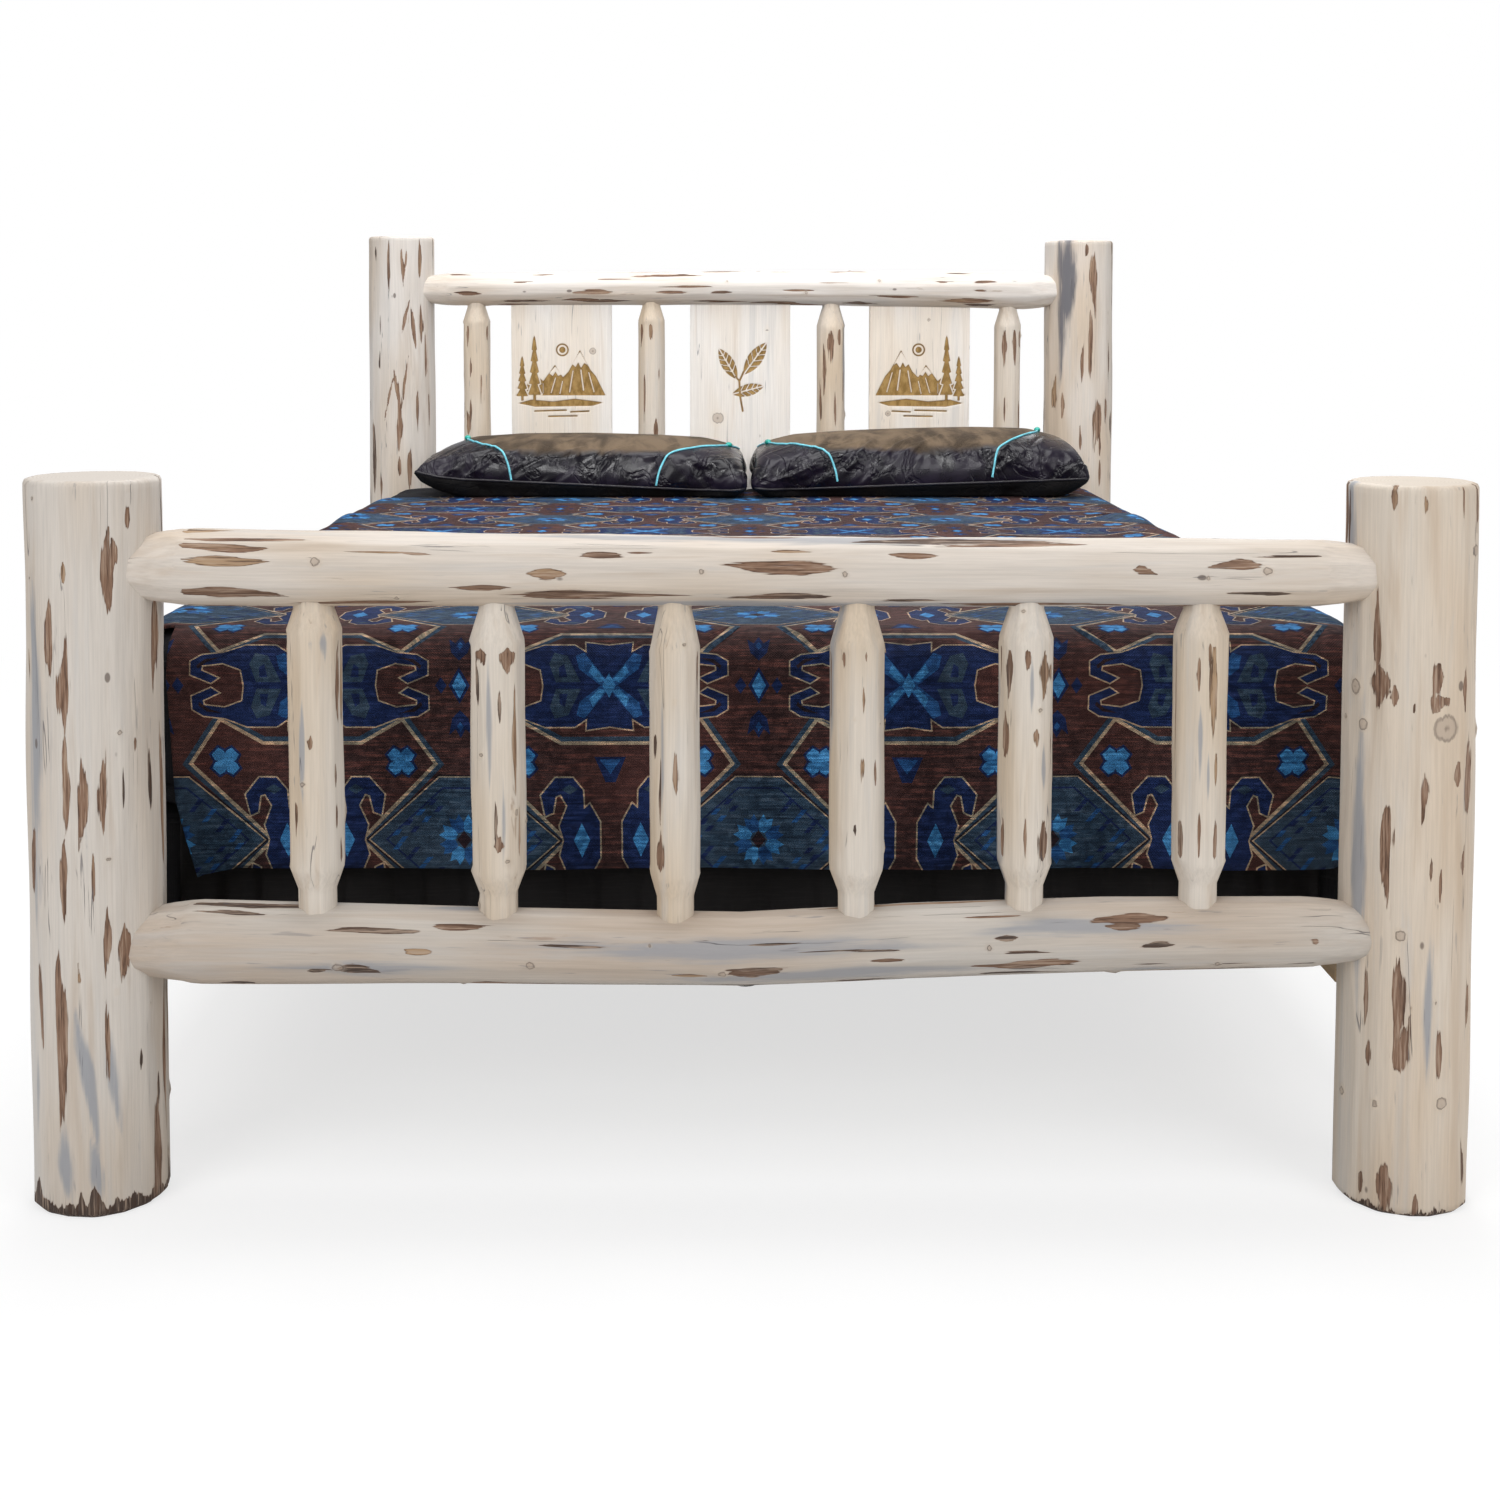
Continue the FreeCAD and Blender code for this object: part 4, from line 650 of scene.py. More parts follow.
    rough = 0.25 * w.math("MAXIMUM", solid, check) + w.step(fibre, 0.2, 0.8, 0.50, 0.62)
    sunk = solid * w.step(ragged, 0.3, 0.7, 0.2, 0.7) + 0.6 * check + 0.5 * ring
    w.feed(result.inputs["Color"], colour)
    w.feed(result.inputs["Roughness"], rough)
    w.feed(result.inputs["Height"], 0.22 * fibre + 0.35 * patch - sunk)
    return w.tree


def weave_group(name):
    """A plain weave on a cloth's own flat coordinates: thread height and a slub mask."""
    inputs = {"Flat": ("Vector",), "Pitch": ("Float", 0.002)}
    w, source, result = group_tree(name, inputs, {"Height": ("Float",), "Slub": ("Float",)})
    parts = w.node("ShaderNodeSeparateXYZ", {0: source["Flat"]}).outputs
    turns = w.math("DIVIDE", math.pi, source["Pitch"])
    over = w.math("SINE", turns * parts[0]) * w.math("SINE", turns * parts[1])
    slub = w.noise(source["Flat"], (14.0, 420.0, 14.0), 3.0, 0.6)
    w.feed(result.inputs["Height"], 0.5 * over + 0.6 * slub)
    w.feed(result.inputs["Slub"], slub)
    return w.tree


def leather_group(name):
    """Leather: the height of pebbles and creases, and a cloud of softer and harder places."""
    inputs = {"Place": ("Vector",), "Creases": ("Float", 1.0)}
    w, source, result = group_tree(name, inputs, {"Height": ("Float",), "Cloud": ("Float",)})
    place = source["Place"]
    fine = {"Vector": w.scaled(place, (430.0, 430.0, 430.0)), "Scale": 1.0}
    pebbles = w.node("ShaderNodeTexVoronoi", fine, feature="SMOOTH_F1").outputs["Distance"]
    fold = w.math("ABSOLUTE", w.noise(place, (19.0, 11.0, 14.0), 3.0, 0.5, 1.0) - 0.5)
    furrow = w.step(fold, 0.0, 0.05)
    w.feed(result.inputs["Height"], furrow * source["Creases"] + w.math("MULTIPLY", pebbles, -0.12))
    w.feed(result.inputs["Cloud"], w.noise(place, (13.0, 9.0, 13.0), 3.0, 0.6, 0.8))
    return w.tree


def new_material(name):
    """An empty material's wiring and its output node."""
    material = bpy.data.materials.new(name)
    material.use_nodes = True
    material.node_tree.nodes.clear()
    wiring = Wiring(material.node_tree)
    return material, wiring, wiring.node("ShaderNodeOutputMaterial")


def principled(w, output, colour, roughness, height, relief, **constants):
    """The shader of a material, with a bump."""
    shader = w.node("ShaderNodeBsdfPrincipled", {"Base Color": colour, "Roughness": roughness})
    for name, value in constants.items():
        w.feed(shader.inputs[name.replace("_", " ")], value)
    bump = w.node("ShaderNodeBump", {"Height": height, "Strength": 1.0, "Distance": relief})
    w.feed(shader.inputs["Normal"], bump.outputs[0])
    w.feed(output.inputs["Surface"], shader.outputs[0])


def log_material(name, wood, warm, streaks, bark, stain=(0.31, 0.31, 0.325)):
    material, w, output = new_material(name)
    grain = w.attribute("grain", "Vector")
    inputs = {"Grain": grain, "Wood": rgb(wood), "Warm": rgb(warm), "Streaks": streaks}
    inputs.update({"Bark Colour": rgb(bark), "Grey": rgb(stain)})
    inputs.update({key.capitalize(): w.attribute(key) for key in ("bark", "knot", "stain", "tone")})
    peeled = w.group("Peeled Wood", wood_group, inputs)
    x, y, _ = w.node("ShaderNodeSeparateXYZ", {0: grain}).outputs
    radius = w.math("SQRT", w.math("MULTIPLY", x, x) + w.math("MULTIPLY", y, y))
    drift = w.noise(grain, (30.0, 30.0, 0.0))
    rings = w.step(w.math("SINE", 1500.0 * radius + 9.0 * drift), -0.6, 1.0)
    end_colour = w.mix(0.35 * rings, rgb(wood, 0.98), rgb(warm, 0.8))
    colour = w.mix(w.attribute("cut"), peeled["Color"], end_colour)
    gloss = {"Specular_IOR_Level": 0.35, "Coat_Weight": 0.12, "Coat_Roughness": 0.35}
    principled(w, output, colour, peeled["Roughness"], peeled["Height"], 0.0016, **gloss)
    return material


def sawn_material(name, colour, turn):
    """Sawn softwood with its grain along one axis of the bed."""
    material, w, output = new_material(name)
    turned = w.node("ShaderNodeMapping", {"Vector": w.place(), "Rotation": turn}).outputs[0]
    warm = (colour[0] * 0.93, colour[1] * 0.82, colour[2] * 0.68)
    inputs = {"Grain": turned, "Bark": -2.0, "Stain": -0.3, "Streaks": 0.3}
    inputs.update({"Wood": rgb(colour), "Warm": rgb(warm)})
    sawn = w.group("Peeled Wood", wood_group, inputs)
    height = 0.3 * w.noise(turned, (60.0, 60.0, 900.0), 1.0) + sawn["Height"]
    principled(w, output, sawn["Color"], 0.75, height, 0.0008, Specular_IOR_Level=0.3)
    return material


def metal_material(name, colour, roughness, metallic, relief):
    """Coated or plated metal, or thread and stone, with fine mottling and worn spots."""
    material, w, output = new_material(name)
    fine = w.noise(w.place(), (2400.0, 2400.0, 2400.0))
    cloud = w.noise(w.place(), (60.0, 60.0, 60.0), 3.0, 0.6)
    shade = w.mix(w.step(cloud, 0.35, 0.7), rgb(colour), rgb(colour, 0.72))
    rough = w.step(cloud, 0.3, 0.7, roughness - 0.06, roughness + 0.1)
    principled(w, output, shade, rough, fine, relief, Metallic=metallic)
    return material


def panel_material(name, colour):
    """Pale board with gold-brown engraved lines and a scorched rim round them."""
    material, w, output = new_material(name)
    grain, art = w.attribute("grain", "Vector"), w.attribute("engraving")
    warm = (colour[0] * 0.96, colour[1] * 0.90, colour[2] * 0.82)
    inputs = {"Grain": grain, "Bark": -2.0, "Knot": w.attribute("knot"), "Stain": -0.42}
    inputs.update({"Wood": rgb(colour), "Warm": rgb(warm), "Streaks": 0.15})
    board = w.group("Peeled Wood", wood_group, inputs)
    groove = w.step(art, -0.0002, 0.0002, 1.0, 0.0)
    burnt = w.step(w.noise(grain, (90.0, 90.0, 60.0), 4.0, 0.6), 0.35, 0.65)
    gold = w.mix(burnt, (0.235, 0.135, 0.035, 1), (0.40, 0.25, 0.085, 1))
    rim = w.step(w.math("ABSOLUTE", art), 0.0002, 0.0011, 0.75, 0.0)
    gold = w.mix(rim, gold, (0.10, 0.055, 0.02, 1))
    scorched = w.mix(w.step(art, 0.0002, 0.0016, 0.35, 0.0), board["Color"], (0.45, 0.30, 0.16, 1))
    height = board["Height"]
    bump = w.math("SUBTRACT", height, 0.4 * groove)
    gloss = {"Specular_IOR_Level": 0.35}
    principled(w, output, w.mix(groove, scorched, gold), 0.2 * groove + 0.55, bump, 0.0007, **gloss)
    return material


def knit_material(name, colour, pitch):
    """Dark knit on the block's own coordinates, with lighter slubs."""
    material, w, output = new_material(name)
    x, y, z = w.node("ShaderNodeSeparateXYZ", {0: w.place()}).outputs
    flat = w.node("ShaderNodeCombineXYZ", {0: w.math("ADD", x, z), 1: w.math("ADD", y, z)}).outputs[0]
    weave = w.group("Weave", weave_group, {"Flat": flat, "Pitch": pitch})
    cloud = w.noise(w.place(), (16.0, 16.0, 16.0), 3.0)
    mixed = w.mix(w.step(cloud, 0.35, 0.7), rgb(colour), rgb(colour, 1.7))
    mixed = w.mix(w.step(weave["Slub"], 0.5, 0.7, 0.0, 0.4), mixed, rgb(colour, 2.4))
    principled(w, output, mixed, 0.85, weave["Height"], 0.0005, Specular_IOR_Level=0.12)
    return material


def skirt_material(name, colour, pitch):
    """Black cloth woven on its own flat coordinates."""
    material, w, output = new_material(name)
    flat = w.node("ShaderNodeUVMap", uv_map="cloth").outputs[0]
    weave = w.group("Weave", weave_group, {"Flat": flat, "Pitch": pitch})
    mixed = w.mix(w.step(weave["Slub"], 0.45, 0.7, 0.0, 0.6), rgb(colour), rgb(colour, 2.2))
    principled(w, output, mixed, 0.42, weave["Height"], 0.0003, Specular_IOR_Level=0.15)
    return material


def coverlet_material():
    """The yarn colour of each face, with lighter and darker weft threads."""
    material, w, output = new_material("woven coverlet")
    uv = w.node("ShaderNodeUVMap", uv_map="cloth").outputs[0]
    yarn = w.attribute("yarn", "Vector")
    weave = w.group("Weave", weave_group, {"Flat": uv, "Pitch": 0.0016})
    weft = w.noise(uv, (16.0, 270.0, 1.0), 3.0, 0.75)
    blotch = w.noise(uv, (75.0, 95.0, 1.0), 3.0, 0.6)
    wide = w.noise(uv, (5.0, 5.0, 1.0))
    lighter = w.mix(1.0, yarn, (2.9, 2.1, 1.8, 1), "MULTIPLY")
    darker = w.mix(1.0, yarn, (0.28, 0.28, 0.33, 1), "MULTIPLY")
    colour = w.mix(w.step(weft, 0.49, 0.64, 0.0, 0.9), yarn, lighter)
    colour = w.mix(w.step(weft, 0.34, 0.48, 0.85, 0.0), colour, darker)
    colour = w.mix(w.step(blotch, 0.40, 0.58, 0.6, 0.0), colour, darker)
    colour = w.mix(w.step(wide, 0.45, 0.7, 0.0, 0.25), colour, lighter)
    gloss = {"Sheen_Weight": 0.02, "Sheen_Roughness": 0.4, "Specular_IOR_Level": 0.10}
    principled(w, output, colour, 0.72, 1.2 * weft + weave["Height"], 0.0011, **gloss)
    return material


def pillow_material():
    """Suede on top, polished leather at the front and ends, plain cloth underneath."""
    material, w, output = new_material("pillow hide")
    under = w.attribute("under")
    grain = w.group("Leather Grain", leather_group, {"Place": w.place(), "Creases": 0.8})
    nap = w.noise(w.place(), (700.0, 700.0, 700.0), 3.0, 0.6)
    brushed = w.noise(w.place(), (15.0, 5.0, 26.0), 4.0, 0.6, 0.6)
    suede = w.mix(w.step(brushed, 0.35, 0.64), (0.034, 0.022, 0.013, 1), (0.150, 0.105, 0.066, 1))
    suede = w.mix(w.step(nap, 0.35, 0.7, 0.0, 0.3), suede, (0.17, 0.125, 0.083, 1))
    leather = w.mix(w.step(grain["Cloud"], 0.35, 0.7), (0.003, 0.002, 0.005, 1), (0.011, 0.007, 0.017, 1))
    edge = w.step(w.attribute("hide") + 0.5 * (brushed - 0.5), 0.36, 0.62)
    colour = w.mix(under, w.mix(edge, suede, leather), (0.006, 0.005, 0.005, 1))
    rough = edge * w.step(grain["Cloud"], 0.3, 0.7, 0.20, 0.34) + 0.86 * (1.0 - edge)
    rough = w.math("MAXIMUM", rough, 0.85 * under)
    height = w.step(edge, 0.0, 1.0, 0.25, 0.8) * grain["Height"] + 0.06 * nap
    principled(w, output, colour, rough, height, 0.0016, Specular_IOR_Level=0.28)
    return material


# Meshes
def linked(name, data):
    made = bpy.data.objects.new(name, data)
    bpy.context.scene.collection.objects.link(made)
    return made


def mesh_object(name, points, faces, material):
    mesh = bpy.data.meshes.new(name)
    mesh.from_pydata(np.asarray(points, float).tolist(), [], [tuple(int(v) for v in face) for face in faces])
    mesh.validate()
    mesh.shade_smooth()
    mesh.materials.append(material)
    return linked(name, mesh)


def store(obj, name, values, kind="FLOAT", domain="POINT"):
    """Keeps one number or vector for each point or face of a mesh."""
    layer = obj.data.attributes.new(name, kind, domain)
    field = "value" if kind == "FLOAT" else "vector"
    layer.data.foreach_set(field, np.asarray(values, np.float32).ravel())


def store_flat(obj, flat):
    """Keeps the flat coordinates of a cloth's points as its UV map."""
    loops = np.array([loop.vertex_index for loop in obj.data.loops])
    uv = obj.data.uv_layers.new(name="cloth")
    uv.data.foreach_set("uv", flat[loops].astype(np.float32).ravel())


def coordinates(obj, field="co"):
    return np.array([getattr(vertex, field) for vertex in obj.data.vertices])


def move_points(obj, points):
    obj.data.vertices.foreach_set("co", points.astype(np.float32).ravel())
    obj.data.update()


def keep_corners(obj, degrees):
    """Marks the corners sharper than this, so that only the rest shade smoothly."""
    obj.data.set_sharp_from_angle(angle=math.radians(degrees))


def evaluated_mesh(obj):
    bpy.context.view_layer.update()
    depsgraph = bpy.context.evaluated_depsgraph_get()
    return bpy.data.meshes.new_from_object(obj.evaluated_get(depsgraph))


def bake_modifiers(obj):
    """Turns a piece's modifiers into its mesh."""
    mesh = evaluated_mesh(obj)
    obj.modifiers.clear()
    old = obj.data
    obj.data = mesh
    bpy.data.meshes.remove(old)


def cord(name, places, radius, resolution, material, closed):
    """A round cord through the places, as a plain mesh."""
    curve = bpy.data.curves.new(name, "CURVE")
    curve.dimensions = "3D"
    curve.bevel_depth = radius
    curve.bevel_resolution = resolution
    curve.use_fill_caps = not closed
    spline = curve.splines.new("POLY")
    spline.points.add(len(places) - 1)
    for point, place in zip(spline.points, places):
        point.co = (*place, 1)
    spline.use_cyclic_u = closed
    holder = linked("cord", curve)
    mesh = evaluated_mesh(holder)
    bpy.data.objects.remove(holder)
    mesh.materials.clear()
    mesh.materials.append(material)
    mesh.shade_smooth()
    return linked(name, mesh)


def grid_faces(rows, columns, closed=False, flip=False):
    """Quads of a grid of points, row by row; closed joins the last column to the first."""
    i, j = np.meshgrid(np.arange(rows - 1), np.arange(columns if closed else columns - 1), indexing="ij")
    following = (j + 1) % columns
    corners = [i * columns + j, i * columns + following, (i + 1) * columns + following, (i + 1) * columns + j]
    quads = np.stack([c.ravel() for c in corners], 1)
    return quads[:, ::-1] if flip else quads


def ring_faces(rows, columns, flip=False):
    """Faces of a stack of rings, with the first and last ring filled by one face each."""
    first = np.arange(columns)
    last = (rows - 1) * columns + first
    ends = (first, last[::-1]) if flip else (first[::-1], last)
    return [*grid_faces(rows, columns, closed=True, flip=flip), *ends]


def fan_faces(rows, columns, flip=False):
    """Faces of a stack of rings, with fans to the two points that are kept after the rings."""
    faces = list(grid_faces(rows, columns, closed=True, flip=flip))
    for row, turned in ((0, not flip), (rows - 1, flip)):
        ring = row * columns + np.arange(columns)
        centre = np.full(columns, rows * columns + (row > 0))
        fan = np.stack([ring, np.roll(ring, -1), centre], 1)
        faces.extend(fan[:, ::-1] if turned else fan)
    return faces


def shown_on(obj, body, slot_name, *nodes):
    """Puts a finished piece on its body, in place of its CAD nodes."""
    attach(obj, body)
    if nodes:
        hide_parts(*nodes)


# Logs
def random_wave(rng, along, shortest, longest):
    """A smooth random curve between 0 and 1."""
    total = np.zeros_like(along)
    for _ in range(3):
        total += np.sin(2 * np.pi * along / rng.uniform(shortest, longest) + rng.uniform(0, 2 * np.pi))
    return np.clip(0.5 + total / 4, 0, 1)


def wrapped(angle):
    return (angle + np.pi) % (2 * np.pi) - np.pi


def facet_shares(rng, along, angles, count, depth, shortest, longest):
    """How far the skin lies from the axis, as a share, when flats are shaved along a log."""
    shares = np.ones((len(along), len(angles)))
    for index in range(count):
        middle = 2 * np.pi * (index + rng.uniform(-0.32, 0.32)) / count
        reach = 1 - depth * (0.15 + 0.85 * random_wave(rng, along, shortest, longest))
        turn = np.cos(wrapped(angles - middle))
        shares = np.minimum(shares, reach[:, None] / np.maximum(turn, 0.35)[None, :])
    return shares


def rings_between(stations, step):
    """Rows of (along, radius, across, up); each station keeps a ring of its own."""
    rows = []
    for first, last in zip(stations, stations[1:]):
        pieces = max(1, round((last[0] - first[0]) / step))
        rows += [[a + k / pieces * (b - a) for a, b in zip(first, last)] for k in range(pieces)]
    return np.array(rows + [list(stations[-1])])


def seen_rows(table, name):
    """The marks that show on one log: rows of (angle on the skin, along, and the rest in metres)."""
    units = (100, 1000, 1000, 1000, 100, 100)
    rows = [[part / unit for part, unit in zip(row, units)] for row in table.get(name, ())]
    return [(math.asin(max(-0.98, min(0.98, side))), *rest) for side, *rest in rows]


def random_rows(rng, low, high, count, widths, lengths):
    """Streaks on the whole skin: rows of (angle, along, half width, half length)."""
    return [
        (
            rng.uniform(-np.pi, np.pi),
            rng.uniform(low, high),
            widths[0] + (widths[1] - widths[0]) * rng.random() ** 2,
            lengths[0] + (lengths[1] - lengths[0]) * rng.random() ** 1.4,
        )
        for _ in range(count)
    ]


def streak_field(rng, rows, along, angles, radius, lowest):
    """Pointed streaks: above 0 inside one, 1 in its middle, lowest far away; and their tones."""
    field = np.full((len(along), len(angles)), lowest)
    tones = np.full(field.shape, 0.5)
    for angle, middle, half_width, half_length, *more in rows:
        tone = more[0] if more else rng.uniform(0.1, 0.8)
        slant = more[1] if len(more) > 1 else rng.uniform(-0.03, 0.03)
        skew = rng.uniform(-0.35, 0.35)
        bend = rng.uniform(-0.7, 0.7) * half_width / half_length**2
        away = along - middle
        end = np.abs(away) / (half_length * np.where(away > 0, 1 + skew, 1 - skew))
        shift = slant * away + bend * away**2
        sideways = wrapped(angles - angle)[None, :] * radius[:, None] - shift[:, None]
        streak = 1 - np.abs(sideways) / half_width - (end**1.5)[:, None]
        tones = np.where(streak > field, tone, tones)
        field = np.maximum(field, streak)
    return field, tones


def knot_field(rows, along, angles, radius):
    """1 in the middle of a knot, two thirds at its rim and 0 far away."""
    field = np.zeros((len(along), len(angles)))
    for angle, middle, knot_radius in rows:
        sideways = wrapped(angles - angle)[None, :] * radius[:, None]
        distance = np.hypot(sideways, (along - middle)[:, None])
        field = np.maximum(field, 1 - distance / (3 * knot_radius))
    return field


def knot_lift(knot, height):
    """How far a knot stands out from the skin."""
    return height * np.clip(knot * 1.6 - 0.3, 0, 1) ** 2


# What one kind of log's skin is made with
LogLook = namedtuple("LogLook", "around facets facet_depth streaks widths lengths knots swell")
post_look = LogLook(128, 15, 0.034, 40, (0.0035, 0.010), (0.03, 0.15), 7, 0.008)
rail_look = LogLook(96, 12, 0.040, 42, (0.0025, 0.009), (0.03, 0.15), 8, 0.010)
spindle_look = LogLook(64, 10, 0.065, 12, (0.002, 0.0055), (0.025, 0.09), 4, 0.008)
no_marks = {"bark": -1.2, "knot": 0.0, "stain": -0.6, "tone": 0.5}
cap_shrinks = (0.2, 0.45, 0.7, 0.93)


def log_marks(rng, name, look, along, angles, radius, from_end):
    """Fields of the bark streaks, knots, stains and tones on a log's skin."""
    low, high = along[0], along[-1]
    seen = seen_rows(streak_rows, name)
    hidden = random_rows(rng, low, high, look.streaks, look.widths, look.lengths)
    hidden = [row for row in hidden if abs(row[0]) > 1.15 or not seen]
    bark, tone = streak_field(rng, seen + hidden, along, angles, radius, no_marks["bark"])
    bark -= 1.5 * np.clip(1 - from_end / 0.012, 0, 1)
    stains = random_rows(rng, low, high, 4, (0.012, 0.03), (0.06, 0.2))
    stains = seen_rows(stain_rows, name) + [row for row in stains if abs(row[0]) > 1.3 or not seen]
    stain, _ = streak_field(rng, stains, along, angles, radius, no_marks["stain"])
    knots = seen_rows(knot_rows, name)
    margin = 0.05 * (high - low)
    for _ in range(look.knots):
        angle, place = rng.uniform(-np.pi, np.pi), rng.uniform(low + margin, high - margin)
        size = rng.uniform(0.003, 0.009)
        if abs(angle) > 1.2 or not seen:
            knots.append((angle, place, size))
    return {"bark": bark, "knot": knot_field(knots, along, angles, radius), "stain": stain, "tone": tone}


def add_bark_teeth(fields, base, along, angles):
    """A ragged edge of bark round the foot of a post, as high as base."""
    teeth = np.abs((angles * 14 / np.pi + 1.1 * np.sin(angles * 3) + 0.6 * np.sin(angles * 7)) % 2 - 1)
    heights = base * (0.25 + 0.75 * teeth * (0.6 + 0.4 * np.sin(angles * 5)))
    chew = np.clip((heights[None, :] - along[:, None]) / 0.012, -1.2, 1)
    fields["tone"] = np.where(chew > fields["bark"], 0.85, fields["tone"])
    fields["bark"] = np.maximum(fields["bark"], chew)


def make_log(name, axis, stations, look, seed, material, step, cuts=(0.0, 0.0), base=0.0, clear=(-1.0, -1.0)):
    """A log's skin: rings with shaved flats, knots and bark fields, closed at both ends."""
    rng = np.random.default_rng(seed)
    rows = rings_between(stations, step)
    along, radius = rows[:, 0], rows[:, 1]
    angles = np.arange(look.around) * 2 * np.pi / look.around
    from_end = np.minimum(along - along[0] - clear[0], along[-1] - clear[1] - along)[:, None]
    fields = log_marks(rng, name, look, along, angles, radius, from_end)

    shares = facet_shares(rng, along, angles, look.facets, look.facet_depth, 0.18, 0.55)
    hewn = facet_shares(rng, along, angles, look.facets - 3, 0.075, 0.10, 0.3)
    if clear[0] > 0:
        worked = np.clip(1 - from_end / 0.006, 0, 1)
        shares = shares * (1 - worked) + hewn * worked
    wave = np.zeros_like(shares)
    for turns in (1, 2, 3):
        drift = 2 * np.pi * along / rng.uniform(0.25, 0.8) + rng.uniform(0, 6)
        wave += np.sin(turns * angles[None, :] + drift[:, None]) / turns
    shares *= 1 + look.swell * 0.5 * wave
    skin = radius[:, None] * shares + knot_lift(fields["knot"], 0.0022)
    skin -= 0.0007 * np.clip(fields["bark"] * 3, 0, 1)
    if base:
        add_bark_teeth(fields, base, along, angles)

    across = np.sin(angles)[None, :] * skin
    back = -np.cos(angles)[None, :] * skin
    lengthwise = np.repeat(along[:, None], look.around, 1)
    if axis == "Z":
        points = np.stack([rows[:, 2:3] + across, rows[:, 3:4] + back, lengthwise], 2)
    else:
        points = np.stack([lengthwise, rows[:, 2:3] + back, rows[:, 3:4] + across], 2)

    # End caps: smaller and smaller rings, then one point
    caps = len(cap_shrinks)
    shrink = np.array([*cap_shrinks, *[1.0] * len(rows), *cap_shrinks[::-1]])
    order = np.clip(np.arange(len(shrink)) - caps, 0, len(rows) - 1)
    middles = points.mean(1, keepdims=True)[order]
    points = middles + (points[order] - middles) * shrink[:, None, None]
    grain = np.stack([across, back, lengthwise], 2)[order]
    grain[:, :, :2] *= shrink[:, None, None]
    faces = fan_faces(len(shrink), look.around, flip=axis == "X")
    points = np.concatenate([points.reshape(-1, 3), middles[0], middles[-1]])
    log = mesh_object(name + "_skin", points, faces, material)
    tips = grain[[0, -1], 0] * [0, 0, 1]
    grain = np.concatenate([grain.reshape(-1, 3), tips]) + rng.uniform(-3, 3, 3) * [0, 0, 1]
    store(log, "grain", grain, "FLOAT_VECTOR")
    on_side = shrink[:, None] == 1.0
    for key, nothing in no_marks.items():
        values = np.where(on_side, fields[key][order], nothing)
        store(log, key, [*values.ravel(), nothing, nothing])
    cut = np.repeat(np.where(shrink == 1.0, 0.0, np.where(order == 0, *cuts)), look.around)
    store(log, "cut", [*cut, *cuts])
    return log


def post_stations(name):
    (x, y, height, radius), rows = post_rows[name]
    body = [(s * height, radius * r, x + radius * side, y) for s, r, side in rows]
    base, top = body[0], body[-1]
    step = post_edge_round * post_turn_share
    return [
        (0.0, base[1] - post_base_round, base[2], y),
        (post_base_round, base[1], base[2], y),
        *body[1:-1],
        (height - post_edge_round, top[1], top[2], y),
        (height - step, top[1] - step, top[2], y),
        (height, top[1] - post_edge_round, top[2], y),
    ]


def station_at(stations, along):
    """The station at one place along a log, between the given ones."""
    table = np.array(stations)
    return [along] + [float(np.interp(along, table[:, 0], table[:, column])) for column in (1, 2, 3)]


def rail_stations(name):
    (height, diameter, y, end), rows = rail_rows[name]
    left, right = post_rows[end + "_post_left"][0], post_rows[end + "_post_right"][0]
    left_edge = left[0] + left[3]
    right_edge = right[0] - right[3]
    start = left_edge + nose_length
    length = right_edge - left_edge - 2 * nose_length
    body = [(start + s * length, diameter / 2 * size, y, height + rise * diameter) for s, size, rise in rows]

    def end_stations(station, edge, inwards):
        cone_end = edge - inwards * nose_inside
        rows_out = [(cone_end - inwards * 0.030, rail_tenon_radius, y, station[3])]
        rows_out.append((cone_end, station[1] * nose_inside_share, y, station[3]))
        for share, size_share in nose_shares[:0:-1]:
            along = edge + inwards * nose_length * (1 - share)
            rows_out.append((along, station[1] * size_share, y, station[3]))
        return rows_out

    return end_stations(body[0], left_edge, 1) + body + end_stations(body[-1], right_edge, -1)[::-1]


def spindle_stations(end, number):
    (diameter, taper, y), rows = spindle_rows[end]
    side_share, size_share, neck_share, taper_share = rows[number - 1]
    x = side_share * half_span_clear
    _, low_radius, _, low_axis = station_at(rail_stations(end + "_bottom_rail"), x)
    _, high_radius, _, high_axis = station_at(rail_stations(end + "_top_rail"), x)
    low_face = low_axis + low_radius
    high_face = high_axis - high_radius
    radius = diameter * size_share / 2
    body_low = low_face + spindle_foot_neck + spindle_foot_taper
    length = high_face - taper * taper_share - body_low
    return [
        (low_face - spindle_tenon_depth, spindle_foot_neck_radius, x, y),
        (low_face + spindle_foot_neck, spindle_foot_neck_radius, x, y),
        *[(body_low + share * length, radius * swell, x, y) for share, swell in spindle_swell_shares],
        (high_face - spindle_top_collar, radius * neck_share, x, y),
        (high_face + spindle_tenon_depth, radius * neck_share, x, y),
    ]


